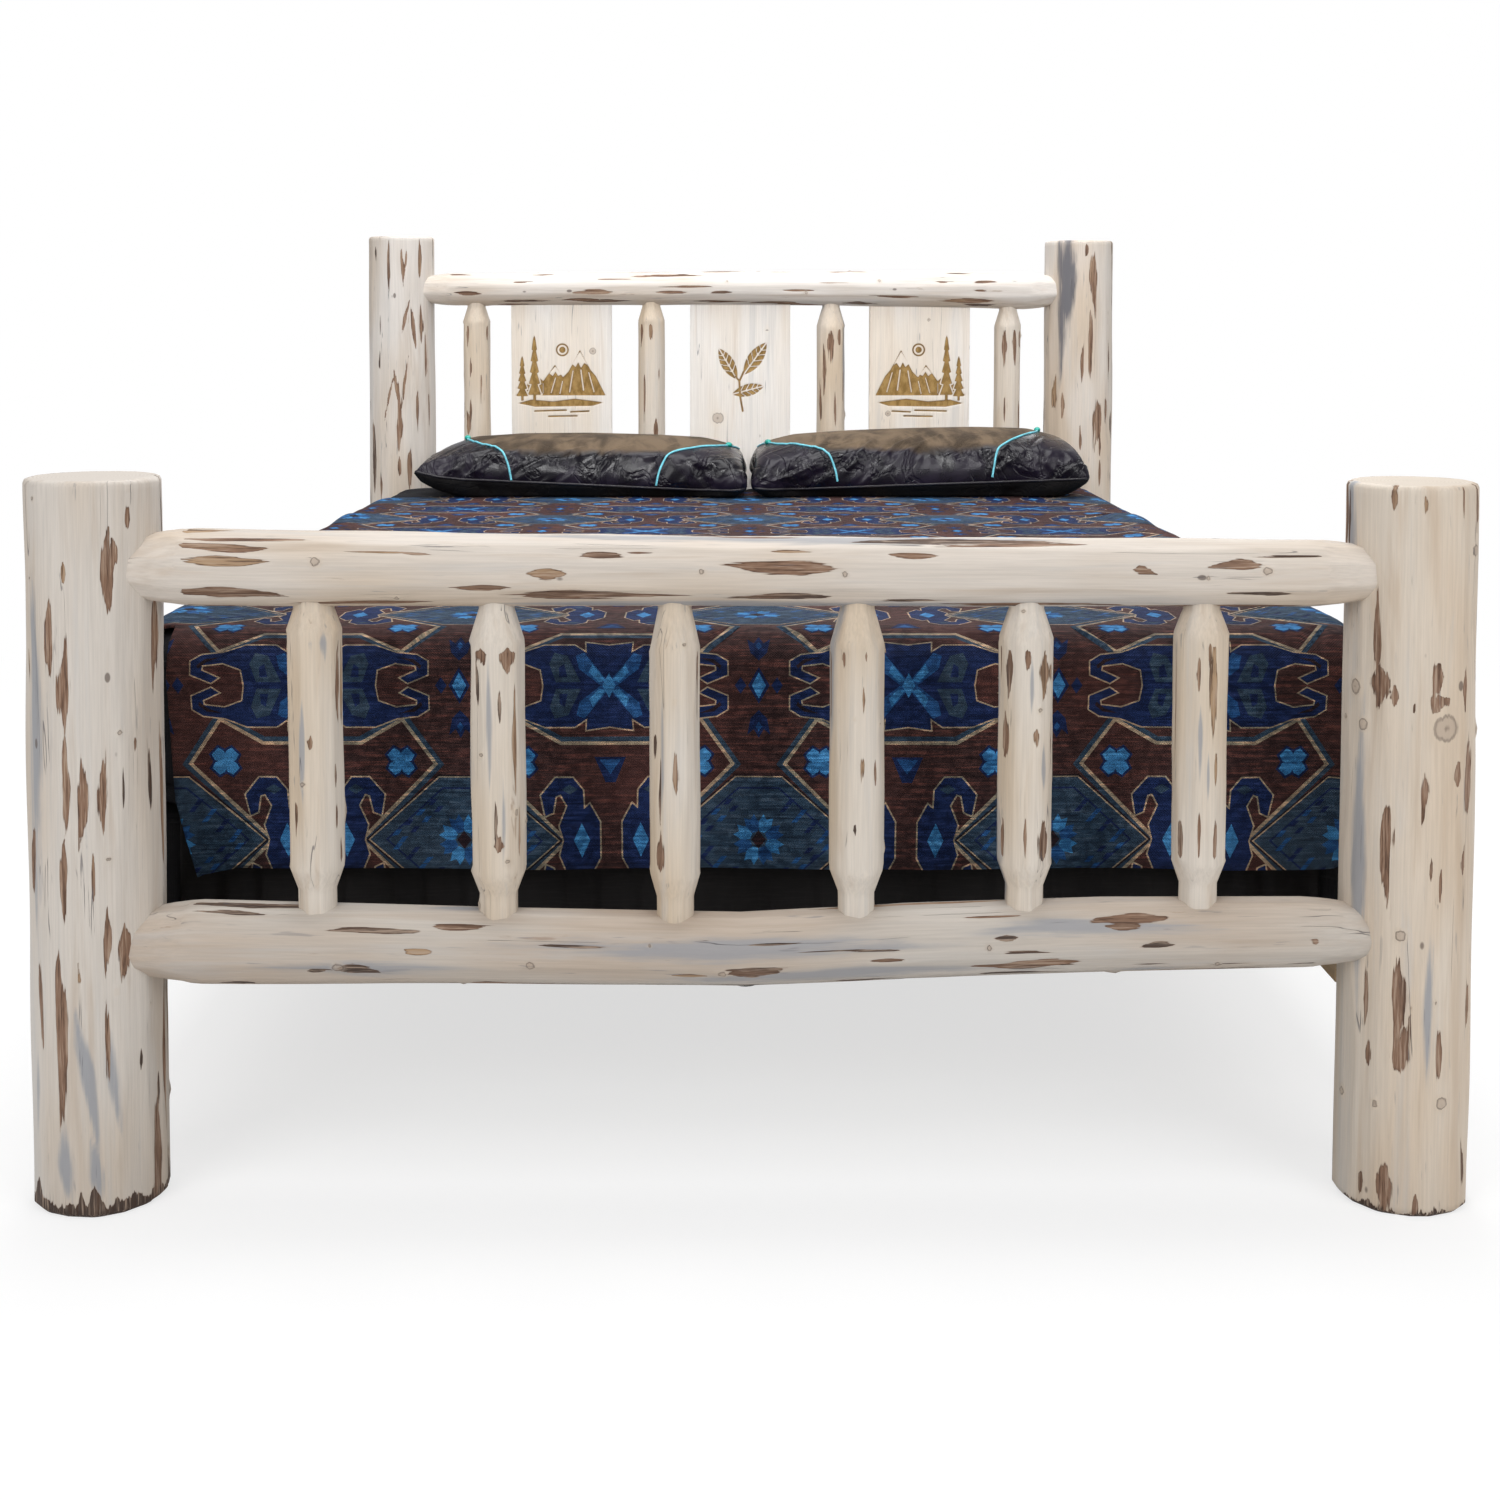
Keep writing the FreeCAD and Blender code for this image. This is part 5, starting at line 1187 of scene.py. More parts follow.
class LOGBED_OT_stage(bpy.types.Operator):
    """Floor, backdrop light, lamps and the camera"""

    bl_idname = "logbed.stage"
    bl_label = "Stage"

    def execute(self, context):
        settings = context.scene.log_bed_stage
        scene = context.scene
        scene.view_settings.view_transform = "Standard"
        material, w, output = new_material("pale floor")
        diffuse = w.node("ShaderNodeBsdfDiffuse", {"Color": rgb(settings.floor)}).outputs[0]
        shaded = w.node("ShaderNodeBsdfDiffuse", {"Color": rgb(settings.floor, 0.42)}).outputs[0]
        glow, white = [
            w.node("ShaderNodeEmission", {"Color": (1, 1, 1, 1), "Strength": strength}).outputs[0]
            for strength in (0.68, 1.0)
        ]
        near = w.node("ShaderNodeAddShader", {0: shaded, 1: glow}).outputs[0]
        distance = w.node("ShaderNodeVectorMath", {0: w.place()}, operation="LENGTH").outputs["Value"]
        shown = w.node("ShaderNodeMixShader", {0: w.step(distance, 1.6, 3.2), 1: near, 2: white}).outputs[0]
        both = w.node("ShaderNodeMixShader", {0: w.seen(), 1: diffuse, 2: shown}).outputs[0]
        w.feed(output.inputs["Surface"], both)
        half = 30.0
        corners = [(-half, -half, 0), (half, -half, 0), (half, half, 0), (-half, half, 0)]
        mesh_object("floor", corners, [(0, 1, 2, 3)], material)

        world = bpy.data.worlds.new("plain studio")
        world.use_nodes = True
        world.node_tree.nodes.clear()
        w = Wiring(world.node_tree)
        light = w.node("ShaderNodeBackground", {"Color": (0.95, 0.97, 1.0, 1), "Strength": 0.42}).outputs[0]
        white = w.node("ShaderNodeBackground", {"Color": (1, 1, 1, 1), "Strength": 1.0}).outputs[0]
        mixed = w.node("ShaderNodeMixShader", {0: w.seen(), 1: light, 2: white}).outputs[0]
        w.node("ShaderNodeOutputWorld", {"Surface": mixed})
        scene.world = world

        power = settings.lamp_power
        middle, head = Vector((0, 0, 0.55)), Vector((0, 1.1, 0.85))
        lamps = (
            ("front_left_lamp", (-2.6, -4.2, 3.2), middle, 2.4, 0.88 * power, 180),
            ("front_right_lamp", (2.8, -3.8, 2.8), middle, 2.4, 0.72 * power, 180),
            ("top_lamp", (0.0, 0.4, 3.9), middle, 2.8, 1.2 * power, 180),
            ("back_lamp", (1.0, 4.5, 3.0), middle, 2.6, 0.5 * power, 180),
            ("head_lamp", (0.0, -2.2, 3.0), head, 0.9, settings.head_power, 50),
        )
        for name, place, aim, size, energy, spread in lamps:
            data = bpy.data.lights.new(name, "AREA")
            data.energy = energy
            data.size = size
            data.spread = math.radians(spread)
            lamp = linked(name, data)
            lamp.location = place
            lamp.rotation_euler = (aim - Vector(place)).to_track_quat("-Z", "Y").to_euler()

        data = bpy.data.cameras.new("camera")
        data.lens = camera_lens
        data.sensor_width = 36.0
        data.shift_x, data.shift_y = camera_shift
        camera = linked("camera", data)
        camera.location = camera_place
        camera.rotation_euler = (math.pi / 2 - camera_pitch, 0, 0)
        scene.camera = camera
        return {"FINISHED"}


def flatten_post(log, name):
    """Mills the flat on a post where the side rail's plate seats."""
    towards = 1 if name.startswith("foot") else -1
    flat_y = post_rows[name][0][1] + towards * post_flat_offset
    for vertex in log.data.vertices:
        if post_flat_low < vertex.co.z < post_flat_high and towards * (vertex.co.y - flat_y) > 0:
            vertex.co.y = flat_y
            log.data.attributes["cut"].data[vertex.index].value = 0.35
            log.data.attributes["bark"].data[vertex.index].value = no_marks["bark"]


class LOGBED_OT_posts(bpy.types.Operator):
    """The four corner posts"""

    bl_idname = "logbed.posts"
    bl_label = "Posts"

    def execute(self, context):
        wood = context.scene.log_bed_wood
        grey, slate = (0.29, 0.30, 0.325), (0.075, 0.085, 0.115)
        looks = {
            "foot_post_left": ((0.63, 0.572, 0.51), (0.58, 0.49, 0.40), 0.30, 11, 0.046, grey),
            "foot_post_right": ((0.67, 0.585, 0.49), (0.62, 0.50, 0.38), 0.35, 12, 0.014, grey),
            "head_post_left": ((0.69, 0.64, 0.59), (0.60, 0.51, 0.42), 0.75, 13, 0.012, grey),
            "head_post_right": ((0.69, 0.63, 0.57), (0.62, 0.51, 0.40), 0.60, 14, 0.012, slate),
        }
        edges = [z + side * 0.0004 for z in (post_flat_low, post_flat_high) for side in (-1, 1)]
        for name, (pale, warm, streaks, seed, base, stain) in looks.items():
            material = log_material("peeled " + name.replace("_", " "), pale, warm, streaks, wood.bark, stain)
            stations = post_stations(name)
            stations = sorted([list(row) for row in stations] + [station_at(stations, z) for z in edges])
            log = make_log(name, "Z", stations, post_look, seed, material, wood.ring_step, (1.0, 1.0), base)
            flatten_post(log, name)
            shown_on(log, "frame", "peeled_log", name)
        return {"FINISHED"}


class LOGBED_OT_rails(bpy.types.Operator):
    """The four rails between the posts"""

    bl_idname = "logbed.rails"
    bl_label = "Rails"

    def execute(self, context):
        wood = context.scene.log_bed_wood
        looks = {
            "foot_top_rail": ((0.65, 0.58, 0.51), (0.60, 0.49, 0.38), 0.55, 21),
            "foot_bottom_rail": ((0.54, 0.49, 0.435), (0.50, 0.41, 0.33), 0.70, 22),
            "head_top_rail": ((0.70, 0.65, 0.60), (0.62, 0.52, 0.42), 0.80, 23),
            "head_bottom_rail": ((0.66, 0.60, 0.54), (0.60, 0.49, 0.38), 0.50, 24),
        }
        clear = (nose_length + nose_inside + 0.012,) * 2
        for name, (pale, warm, streaks, seed) in looks.items():
            material = log_material("peeled " + name.replace("_", " "), pale, warm, streaks, wood.bark)
            stations = rail_stations(name)
            log = make_log(name, "X", stations, rail_look, seed, material, wood.ring_step, clear=clear)
            shown_on(log, "frame", "peeled_log", name)
        return {"FINISHED"}


class LOGBED_OT_spindles(bpy.types.Operator):
    """The ten spindles"""

    bl_idname = "logbed.spindles"
    bl_label = "Spindles"

    def execute(self, context):
        wood = context.scene.log_bed_wood
        material = log_material("peeled spindle", (0.68, 0.61, 0.53), (0.62, 0.50, 0.37), 0.7, wood.bark)
        for end, first_seed in (("foot", 31), ("head", 41)):
            for index in range(len(spindle_rows[end][1])):
                name = f"{end}_spindle_{index + 1}"
                stations = spindle_stations(end, index + 1)
                clear = (stations[2][0] - stations[0][0], stations[-1][0] - stations[-3][0])
                step = wood.ring_step * 0.9
                log = make_log(
                    name, "Z", stations, spindle_look, first_seed + index, material, step, clear=clear
                )
                shown_on(log, "frame", "peeled_log", name)
        return {"FINISHED"}


class LOGBED_OT_side_rails(bpy.types.Operator):
    """The half-log side rails, round outside and sawn flat inside"""

    bl_idname = "logbed.side_rails"
    bl_label = "Side Rails"

    def execute(self, context):
        wood = context.scene.log_bed_wood
        material = log_material("peeled side rail", (0.64, 0.58, 0.51), (0.58, 0.48, 0.37), 0.6, wood.bark)
        round_columns, flat_columns = 56, 8
        middle_z = (side_rail_low + side_rail_high) / 2
        half = (side_rail_high - side_rail_low) / 2
        along = np.linspace(-side_rail_end, side_rail_end, 190)
        share = (along + side_rail_end) / (2 * side_rail_end)
        thickness = side_rail_thickness * np.interp(share, [0, 0.45, 1], [1.0, 1.04, 0.94])
        centre_depth = (thickness**2 - half**2) / (2 * thickness)
        radius = thickness - centre_depth
        turn = np.linspace(-1, 1, round_columns)[None, :]
        angles = np.arctan2(half, -centre_depth)[:, None] * turn
        field_angles = np.linspace(-1.6, 1.6, round_columns)

        def with_flat(values, flat_value):
            flat = np.broadcast_to(flat_value, (len(along), flat_columns))
            return np.concatenate([values, flat], 1)

        for side, side_name, seed in ((-1, "left", 51), (1, "right", 52)):
            rng = np.random.default_rng(seed)
            rows = random_rows(rng, -1.0, 1.0, 60, (0.004, 0.010), (0.03, 0.12))
            rows = [(row[0] * 0.5, *row[1:]) for row in rows]
            bark, tone = streak_field(rng, rows, along, field_angles, radius, no_marks["bark"])
            knot_ranges = ((-1.2, 1.2), (-0.9, 0.9), (0.004, 0.010))
            knots = [[rng.uniform(*limits) for limits in knot_ranges] for _ in range(9)]
            knot = knot_field(knots, along, field_angles, radius)
            shares = facet_shares(rng, along, field_angles, 14, 0.03, 0.2, 0.6)
            shares = 1 + (shares - 1) * (1 - np.abs(turn) ** 6)
            skin = radius[:, None] * shares + knot_lift(knot, 0.0016)
            out = np.maximum(with_flat(centre_depth[:, None] + skin * np.cos(angles), 0.0), 0)
            up = with_flat(skin * np.sin(angles), np.linspace(half, -half, flat_columns + 2)[1:-1])
            lengthwise = np.repeat(along[:, None], out.shape[1], 1)
            points = np.stack([side * (side_rail_inner + out), lengthwise, middle_z + up], 2)
            faces = ring_faces(*out.shape, flip=side > 0)
            rail = mesh_object(f"side_rail_{side_name}_skin", points.reshape(-1, 3), faces, material)
            store(rail, "grain", np.stack([up, out, lengthwise + 7 * side], 2), "FLOAT_VECTOR")
            fields = {"bark": (bark, no_marks["bark"]), "tone": (tone, 0.5), "knot": (knot, 0.0)}
            fields.update({"stain": (bark * 0 - 0.2, -0.2), "cut": (bark * 0, 0.25)})
            for key, (values, flat_value) in fields.items():
                store(rail, key, with_flat(values, flat_value))
            keep_corners(rail, 40)
            shown_on(rail, "frame", "peeled_log", "side_rail_" + side_name)
        return {"FINISHED"}


# Engraved panels
def inside_shape(x, y, corners):
    """Which places lie inside a closed outline."""
    inside = np.zeros(x.shape, bool)
    for (x0, y0), (x1, y1) in zip(corners, corners[1:] + corners[:1]):
        if y0 != y1:
            inside ^= ((y0 > y) != (y1 > y)) & (x < (x1 - x0) * (y - y0) / (y1 - y0) + x0)
    return inside


def line_distance(x, y, start, end, half_width=0.0):
    """Distance to a straight line with round ends."""
    ex, ey = end[0] - start[0], end[1] - start[1]
    t = np.clip(((x - start[0]) * ex + (y - start[1]) * ey) / (ex * ex + ey * ey), 0, 1)
    return np.hypot(x - start[0] - t * ex, y - start[1] - t * ey) - half_width


def polygon_distance(x, y, corners):
    """Signed distance to a closed outline, negative inside."""
    best = np.full(x.shape, 1e9)
    for start, end in zip(corners, corners[1:] + corners[:1]):
        best = np.minimum(best, line_distance(x, y, start, end))
    return np.where(inside_shape(x, y, corners), -best, best)


def pine(x, foot, height, width):
    """Outline of a narrow pine with five tiers of boughs."""
    right = [(x + 0.10 * width, foot), (x + 0.10 * width, foot + 0.10 * height)]
    for tier in range(5):
        low = foot + height * (0.10 + 0.17 * tier)
        reach = width * (0.5 - 0.075 * tier)
        right += [(x + reach, low), (x + reach * 0.42, low + 0.16 * height)]
    return right + [(x, foot + height)] + [(2 * x - px, py) for px, py in right[::-1]]


# The outer panels' art in a 2 by 2 square: outlines, and lines of (start, end, half width)
far_peaks = [(-0.95, -0.42), (-0.62, 0.10), (-0.42, -0.10), (-0.15, 0.28), (0.12, -0.16), (0.3, -0.42)]
near_peaks = [
    (-0.30, -0.42), (0.02, -0.02), (0.16, 0.12), (0.42, 0.62), (0.66, 0.16), (0.78, 0.02), (1.0, -0.42),
]
snow_cap = [(0.24, 0.30), (0.32, 0.22), (0.38, 0.34), (0.44, 0.20), (0.52, 0.32), (0.60, 0.26), (0.42, 0.58)]
small_cap = [(-0.28, 0.08), (-0.2, 0.02), (-0.14, 0.12), (-0.08, 0.02), (0.0, 0.06), (-0.15, 0.24)]
shore = [
    (-1.0, -0.60), (-0.7, -0.52), (-0.2, -0.56), (0.3, -0.50), (0.95, -0.58), (0.7, -0.66), (-0.6, -0.68),
]
slopes = (
    ((0.44, 0.16), (0.50, -0.30), 0.016),
    ((0.62, 0.10), (0.74, -0.34), 0.014),
    ((0.26, 0.14), (0.18, -0.34), 0.014),
    ((-0.14, -0.02), (-0.24, -0.36), 0.013),
    ((-0.60, 0.02), (-0.54, -0.36), 0.013),
    ((-0.42, -0.14), (-0.42, -0.38), 0.010),
    ((0.02, -0.10), (-0.04, -0.38), 0.012),
)
ripples = (
    ((-0.62, -0.78), (0.1, -0.76), 0.016),
    ((0.2, -0.80), (0.62, -0.78), 0.016),
    ((-0.3, -0.90), (0.35, -0.89), 0.016),
)


def mountain_engraving(x, y):
    """Two pines, peaks with pale snow caps, a small sun and a shore."""
    field = np.minimum(polygon_distance(x, y, far_peaks), polygon_distance(x, y, near_peaks))
    for cap in (snow_cap, small_cap):
        field = np.maximum(field, -polygon_distance(x, y, cap))
    for slope in slopes:
        field = np.maximum(field, -line_distance(x, y, *slope))
    for place, foot, height, width in ((-0.62, -0.56, 1.52, 0.30), (-0.90, -0.54, 1.02, 0.26)):
        tree = polygon_distance(x, y, pine(place, foot, height, width))
        field = np.minimum(np.maximum(field, 0.03 - tree), tree)
    sun = np.hypot(x - 0.02, y - 0.62)
    for part in (np.abs(sun - 0.13) - 0.016, sun - 0.07, polygon_distance(x, y, shore)):
        field = np.minimum(field, part)
    for ripple in ripples:
        field = np.minimum(field, line_distance(x, y, *ripple))
    return field


def leaf_engraving(x, y):
    """Three pointed leaves on a bent twig, in a 2 by 2 square."""
    field = np.full(x.shape, 1e9)
    leaves = (((-0.28, 0.30), 2.1, 0.42), ((0.34, 0.42), 0.95, 0.46), ((0.18, -0.30), 0.25, 0.38))
    for (cx, cy), angle, half_length in leaves:
        c, s = math.cos(angle), math.sin(angle)
        along = (x - cx) * c + (y - cy) * s
        across = np.abs((y - cy) * c - (x - cx) * s)
        blade = across - half_length * 0.36 * (1 - np.clip(np.abs(along) / half_length, 0, 1) ** 2)
        blade = np.maximum(blade, np.abs(along) - half_length)
        blade = np.maximum(blade, 0.016 - across)
        for vein in (-0.5, -0.15, 0.2, 0.5):
            slant = along - vein * half_length - across * 0.9
            blade = np.maximum(blade, 0.011 - np.abs(slant) * 0.74)
        field = np.minimum(field, blade)
    twig = ((0.06, -0.78), (0.0, -0.45), (-0.02, -0.1), (0.08, 0.12))
    for start, end in zip(twig, twig[1:]):
        field = np.minimum(field, line_distance(x, y, start, end, 0.020))
    return np.minimum(field, line_distance(x, y, twig[2], (-0.10, 0.02), 0.016))


# Knots of the panels: (across from the panel's middle, height, radius)
panel_knots = {
    "left": ((0.07, 0.93, 0.007),),
    "centre": ((-0.05, 0.78, 0.012), (0.06, 0.98, 0.005)),
    "right": ((-0.07, 0.79, 0.006), (0.02, 1.0, 0.004)),
}
panel_edge = 0.001
panel_edge_drop = 0.0008
art_reach = 0.004


def panel_grid(name, middle_x):
    """Places across and up a panel, close together where the art is, and the art's distance field."""
    low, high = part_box("head_panel_" + name)
    edge = np.array([-panel_half_width, panel_edge - panel_half_width])
    fine = np.arange(-engraving_half, engraving_half + 1e-6, 0.002)
    below = np.arange(low.z, engraving_middle_z - engraving_half - 0.004, 0.012)
    above = np.arange(engraving_middle_z + engraving_half + 0.006, high.z, 0.012)
    across = middle_x + np.concatenate([edge, fine, -edge[::-1]])
    x, z = np.meshgrid(across, np.concatenate([below, engraving_middle_z + fine, above, [high.z]]))
    u = (x - middle_x) / engraving_half
    v = (z - engraving_middle_z) / engraving_half
    if name == "centre":
        art = leaf_engraving(u, v)
    else:
        art = mountain_engraving(u if name == "left" else -u, v)
    return x, z, np.clip(art * engraving_half, -art_reach, art_reach)


class LOGBED_OT_panels(bpy.types.Operator):
    """The three headboard panels with their engravings"""

    bl_idname = "logbed.panels"
    bl_label = "Panels"

    def execute(self, context):
        board = context.scene.log_bed_wood.board
        for index, (name, middle_x) in enumerate(panel_middles.items()):
            x, z, art = panel_grid(name, middle_x)
            sunk = engraving_depth * np.clip(0.5 - art / 0.0016, 0, 1)
            from_edge = np.minimum(panel_half_width - np.abs(x - middle_x), panel_edge)
            eased = panel_edge_drop * (1 - from_edge / panel_edge)
            y = panel_middle_y - panel_half_thickness + sunk + eased
            front = np.stack([x, y, z], 2).reshape(-1, 3)

            places = np.arange(x.size).reshape(x.shape)
            border = np.concatenate([places[0], places[1:, -1], places[-1, -2::-1], places[-2:0:-1, 0]])
            back = front[border] * [1, 0, 1] + [0, panel_middle_y + panel_half_thickness, 0]
            points = np.concatenate([front, back])
            behind = len(front) + np.arange(len(border))
            rim = np.stack([np.roll(border, -1), border, behind, np.roll(behind, -1)], 1)
            faces = [*grid_faces(*x.shape), *rim, behind[::-1]]
            material = panel_material("panel board " + name, board)
            panel = mesh_object(f"head_panel_{name}_board", points, faces, material)
            grain = points * [1, 1, 0.8] + [0.31 * index, 0, 1.7 * index]
            store(panel, "grain", grain, "FLOAT_VECTOR")
            store(panel, "engraving", np.concatenate([art.ravel(), np.full(len(border), art_reach)]))
            knot = np.zeros(len(points))
            for spot_x, spot_z, size in panel_knots[name]:
                distance = np.hypot(points[:, 0] - middle_x - spot_x, points[:, 2] - spot_z)
                knot = np.maximum(knot, 1 - distance / (3 * size))
            store(panel, "knot", knot)
            keep_corners(panel, 50)
            shown_on(panel, "frame", "panel_board", "head_panel_" + name)
        return {"FINISHED"}


# Slats, screws and fittings
def repaint(looks):
    """Gives each CAD piece, other than screws, the material that goes with the start of its name."""
    for name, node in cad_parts.items():
        for start, material in looks.items():
            if name.startswith(start) and "screws" not in name:
                node.data.materials.clear()
                node.data.materials.append(material)


class LOGBED_OT_slats(bpy.types.Operator):
    """Slats, ledgers and centre legs, with sawn grain along each"""

    bl_idname = "logbed.slats"
    bl_label = "Slats"

    def execute(self, context):
        quarter = math.pi / 2
        repaint(
            {
                "slat": sawn_material("sawn slat", (0.62, 0.47, 0.30), (0, quarter, 0)),
                "ledger": sawn_material("sawn ledger", (0.60, 0.44, 0.28), (quarter, 0, 0)),
                "centre_leg": sawn_material("sawn leg", (0.61, 0.46, 0.29), (0, 0, 0)),
            }
        )
        return {"FINISHED"}


class LOGBED_OT_fittings(bpy.types.Operator):
    """Steel plates, hooks and levellers"""

    bl_idname = "logbed.fittings"
    bl_label = "Fittings"

    def execute(self, context):
        black = metal_material("black powder coat", (0.03, 0.03, 0.032), 0.5, 0.0, 0.00008)
        bright = metal_material("bright zinc", (0.62, 0.63, 0.64), 0.3, 1.0, 0.00003)
        repaint({"post_plate": black, "rail_hook": black, "leg_leveller": bright, "leveller_inserts": bright})
        return {"FINISHED"}


def screw_mesh(radius, length, material):
    """A countersunk screw with a six-lobed recess, its head at the origin and its point down."""
    columns = 24
    turn = np.arange(columns) * 2 * np.pi / columns
    lobes = 0.95 * radius * (0.8 + 0.2 * np.cos(6 * turn))
    rings = [(lobes * 0.8, -1.0 * radius), (lobes, 0.0), (1.9 * radius, 0.0), (2.0 * radius, -0.12 * radius)]
    rings.append((radius, -2.0 * radius))
    threads = 9
    pitch = 0.55 * length / threads
    for index in range(threads):
        z = -0.35 * length - 0.55 * length * index / threads
        rings += [(0.72 * radius, z), (radius, z - 0.5 * pitch)]
    rings += [(0.70 * radius, -0.91 * length), (0.05 * radius, -length)]
    points = [np.stack([r * np.cos(turn), r * np.sin(turn), z + 0 * turn], 1) for r, z in rings]
    return mesh_object("screw", np.concatenate(points), ring_faces(len(rings), columns, flip=True), material)


def screw_tree():
    """Geometry nodes that set one screw on each point, along its direction."""
    tree = bpy.data.node_groups.new("Screws on Points", "GeometryNodeTree")
    tree.interface.new_socket(name="Points", in_out="INPUT", socket_type="NodeSocketGeometry")
    kinds = {"Screw": "NodeSocketObject", "Finish": "NodeSocketMaterial", "Turn Seed": "NodeSocketInt"}
    sockets = {
        name: tree.interface.new_socket(name=name, in_out="INPUT", socket_type=kind)
        for name, kind in kinds.items()
    }
    tree.interface.new_socket(name="Screws", in_out="OUTPUT", socket_type="NodeSocketGeometry")
    w = Wiring(tree)
    source = w.node("NodeGroupInput").outputs
    screw = w.node("GeometryNodeObjectInfo", {"Object": source["Screw"]}).outputs["Geometry"]
    direction = w.node("GeometryNodeInputNamedAttribute", {"Name": "direction"}, data_type="FLOAT_VECTOR")
    turn = w.node("FunctionNodeRandomValue", {3: 2 * math.pi, "Seed": source["Turn Seed"]}, data_type="FLOAT")
    spin = w.node("ShaderNodeCombineXYZ", {2: turn.outputs[1]}).outputs[0]
    aim = {"Rotation": spin, "Vector": direction.outputs["Attribute"]}
    aimed = w.node("FunctionNodeAlignRotationToVector", aim, axis="Z").outputs[0]
    placing = {"Points": source["Points"], "Instance": screw, "Rotation": aimed}
    placed = w.node("GeometryNodeInstanceOnPoints", placing).outputs[0]
    real = w.node("GeometryNodeRealizeInstances", {"Geometry": placed}).outputs[0]
    finished = w.node("GeometryNodeSetMaterial", {"Geometry": real, "Material": source["Finish"]}).outputs[0]
    w.node("NodeGroupOutput", {0: finished})
    return tree, {name: socket.identifier for name, socket in sockets.items()}


def screw_places(node):
    """Head middle, outward direction, length and radius of each screw in a CAD node."""
    points = coordinates(node)
    _, merged = np.unique(np.round(points, 5), axis=0, return_inverse=True)
    merged = merged.ravel()
    group = np.arange(merged.max() + 1)
    edges = merged[np.array([e.vertices[:] for e in node.data.edges])]
    for _ in range(60):
        low = np.minimum(group[edges[:, 0]], group[edges[:, 1]])
        np.minimum.at(group, edges[:, 0], low)
        np.minimum.at(group, edges[:, 1], low)
        group = group[group]
    places = []
    for label in np.unique(group):
        own = points[group[merged] == label]
        low, high = own.min(0), own.max(0)
        axis = int(np.argmax(high - low))
        others = [k for k in range(3) if k != axis]
        head = (low + high) / 2
        spread = [
            np.abs(own[np.abs(own[:, axis] - end[axis]) < 1e-4][:, others] - head[others]).max()
            for end in (low, high)
        ]
        outward = 1.0 if spread[1] > spread[0] else -1.0
        head[axis] = high[axis] if outward > 0 else low[axis]
        direction = np.zeros(3)
        direction[axis] = outward
        places.append((head, direction, float(high[axis] - low[axis]), float(max(spread) / 2)))
    return places


class LOGBED_OT_screws(bpy.types.Operator):
    """The wood screws of the slats, legs, ledgers and plates"""

    bl_idname = "logbed.screws"
    bl_label = "Screws"

    def execute(self, context):
        zinc = metal_material("yellow zinc", (0.62, 0.57, 0.42), 0.33, 1.0, 0.00003)
        tree, names = screw_tree()
        rows = ("slat_screws", "leg_screws", "ledger_screws", "post_plate_screws", "rail_hook_screws")
        for seed, row in enumerate(rows):
            heads, directions, lengths, radii = zip(*screw_places(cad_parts[row]))
            screw = screw_mesh(radii[0], lengths[0], zinc)
            made = mesh_object(row + "_threaded", heads, [], zinc)
            store(made, "direction", directions, "FLOAT_VECTOR")
            modifier = made.modifiers.new("screws", "NODES")
            modifier.node_group = tree
            modifier[names["Screw"]] = screw
            modifier[names["Finish"]] = zinc
            modifier[names["Turn Seed"]] = 90 + seed
            bake_modifiers(made)
            bpy.data.objects.remove(screw)
            if len(made.data.polygons) < 100 * len(heads):
                raise RuntimeError("no screws were made for " + row)
            keep_corners(made, 35)
            shown_on(made, "frame", "zinc_screws", row)
        return {"FINISHED"}


# Padded blocks: half width, foot, head, corner radius and the pieces of (the long sides, the short sides)
foundation_plan = (foundation_half_width, foundation_foot, foundation_head, 0.060, (120, 90))
mattress_plan = (mattress_half_width, mattress_foot, mattress_head, 0.090, (130, 100))


def block_outline(plan, inset, z):
    """Points round a rounded rectangle, counter-clockwise from above."""
    half_width, foot, head, corner, spacing = plan
    radius = max(corner - inset, 0.004)
    x = half_width - inset - radius
    y0 = foot + inset + radius
    y1 = head - inset - radius
    centres = ((x, y0, -90), (x, y1, 0), (-x, y1, 90), (-x, y0, 180))

    def on_corner(index, share):
        cx, cy, start = centres[index % 4]
        angle = math.radians(start + 90 * share)
        return np.array([cx + radius * math.cos(angle), cy + radius * math.sin(angle), z])

    points = []
    for index in range(4):
        points += [on_corner(index, step / 12) for step in range(13)]
        last, target = points[-1], on_corner(index + 1, 0)
        pieces = spacing[index % 2]
        points += [last + step / pieces * (target - last) for step in range(1, pieces)]
    return points


def padded_profile(low, high, edge, reach, inner_steps):
    """Rows of (inset, height) up one side: underside, lower edge, border, upper edge, top."""
    shares = [k / inner_steps for k in range(inner_steps + 1)]
    turns = [math.pi / 2 * step / 6 for step in range(7)]
    border = high - low - 2 * edge
    return (
        [(reach * (1 - share) + edge, low) for share in shares[:-1]]
        + [(edge * (1 - math.sin(turn)), low + edge * (1 - math.cos(turn))) for turn in turns]
        + [(0.0, low + edge + border * step / 12) for step in range(1, 12)]
        + [(edge * (1 - math.cos(turn)), high - edge * (1 - math.sin(turn))) for turn in turns]
        + [(reach * share + edge, high) for share in shares[1:]]
    )


def block_rings(plan, profile):
    """Rings from the middle of the underside to the middle of the top."""
    return np.array([block_outline(plan, inset, z) for inset, z in profile])


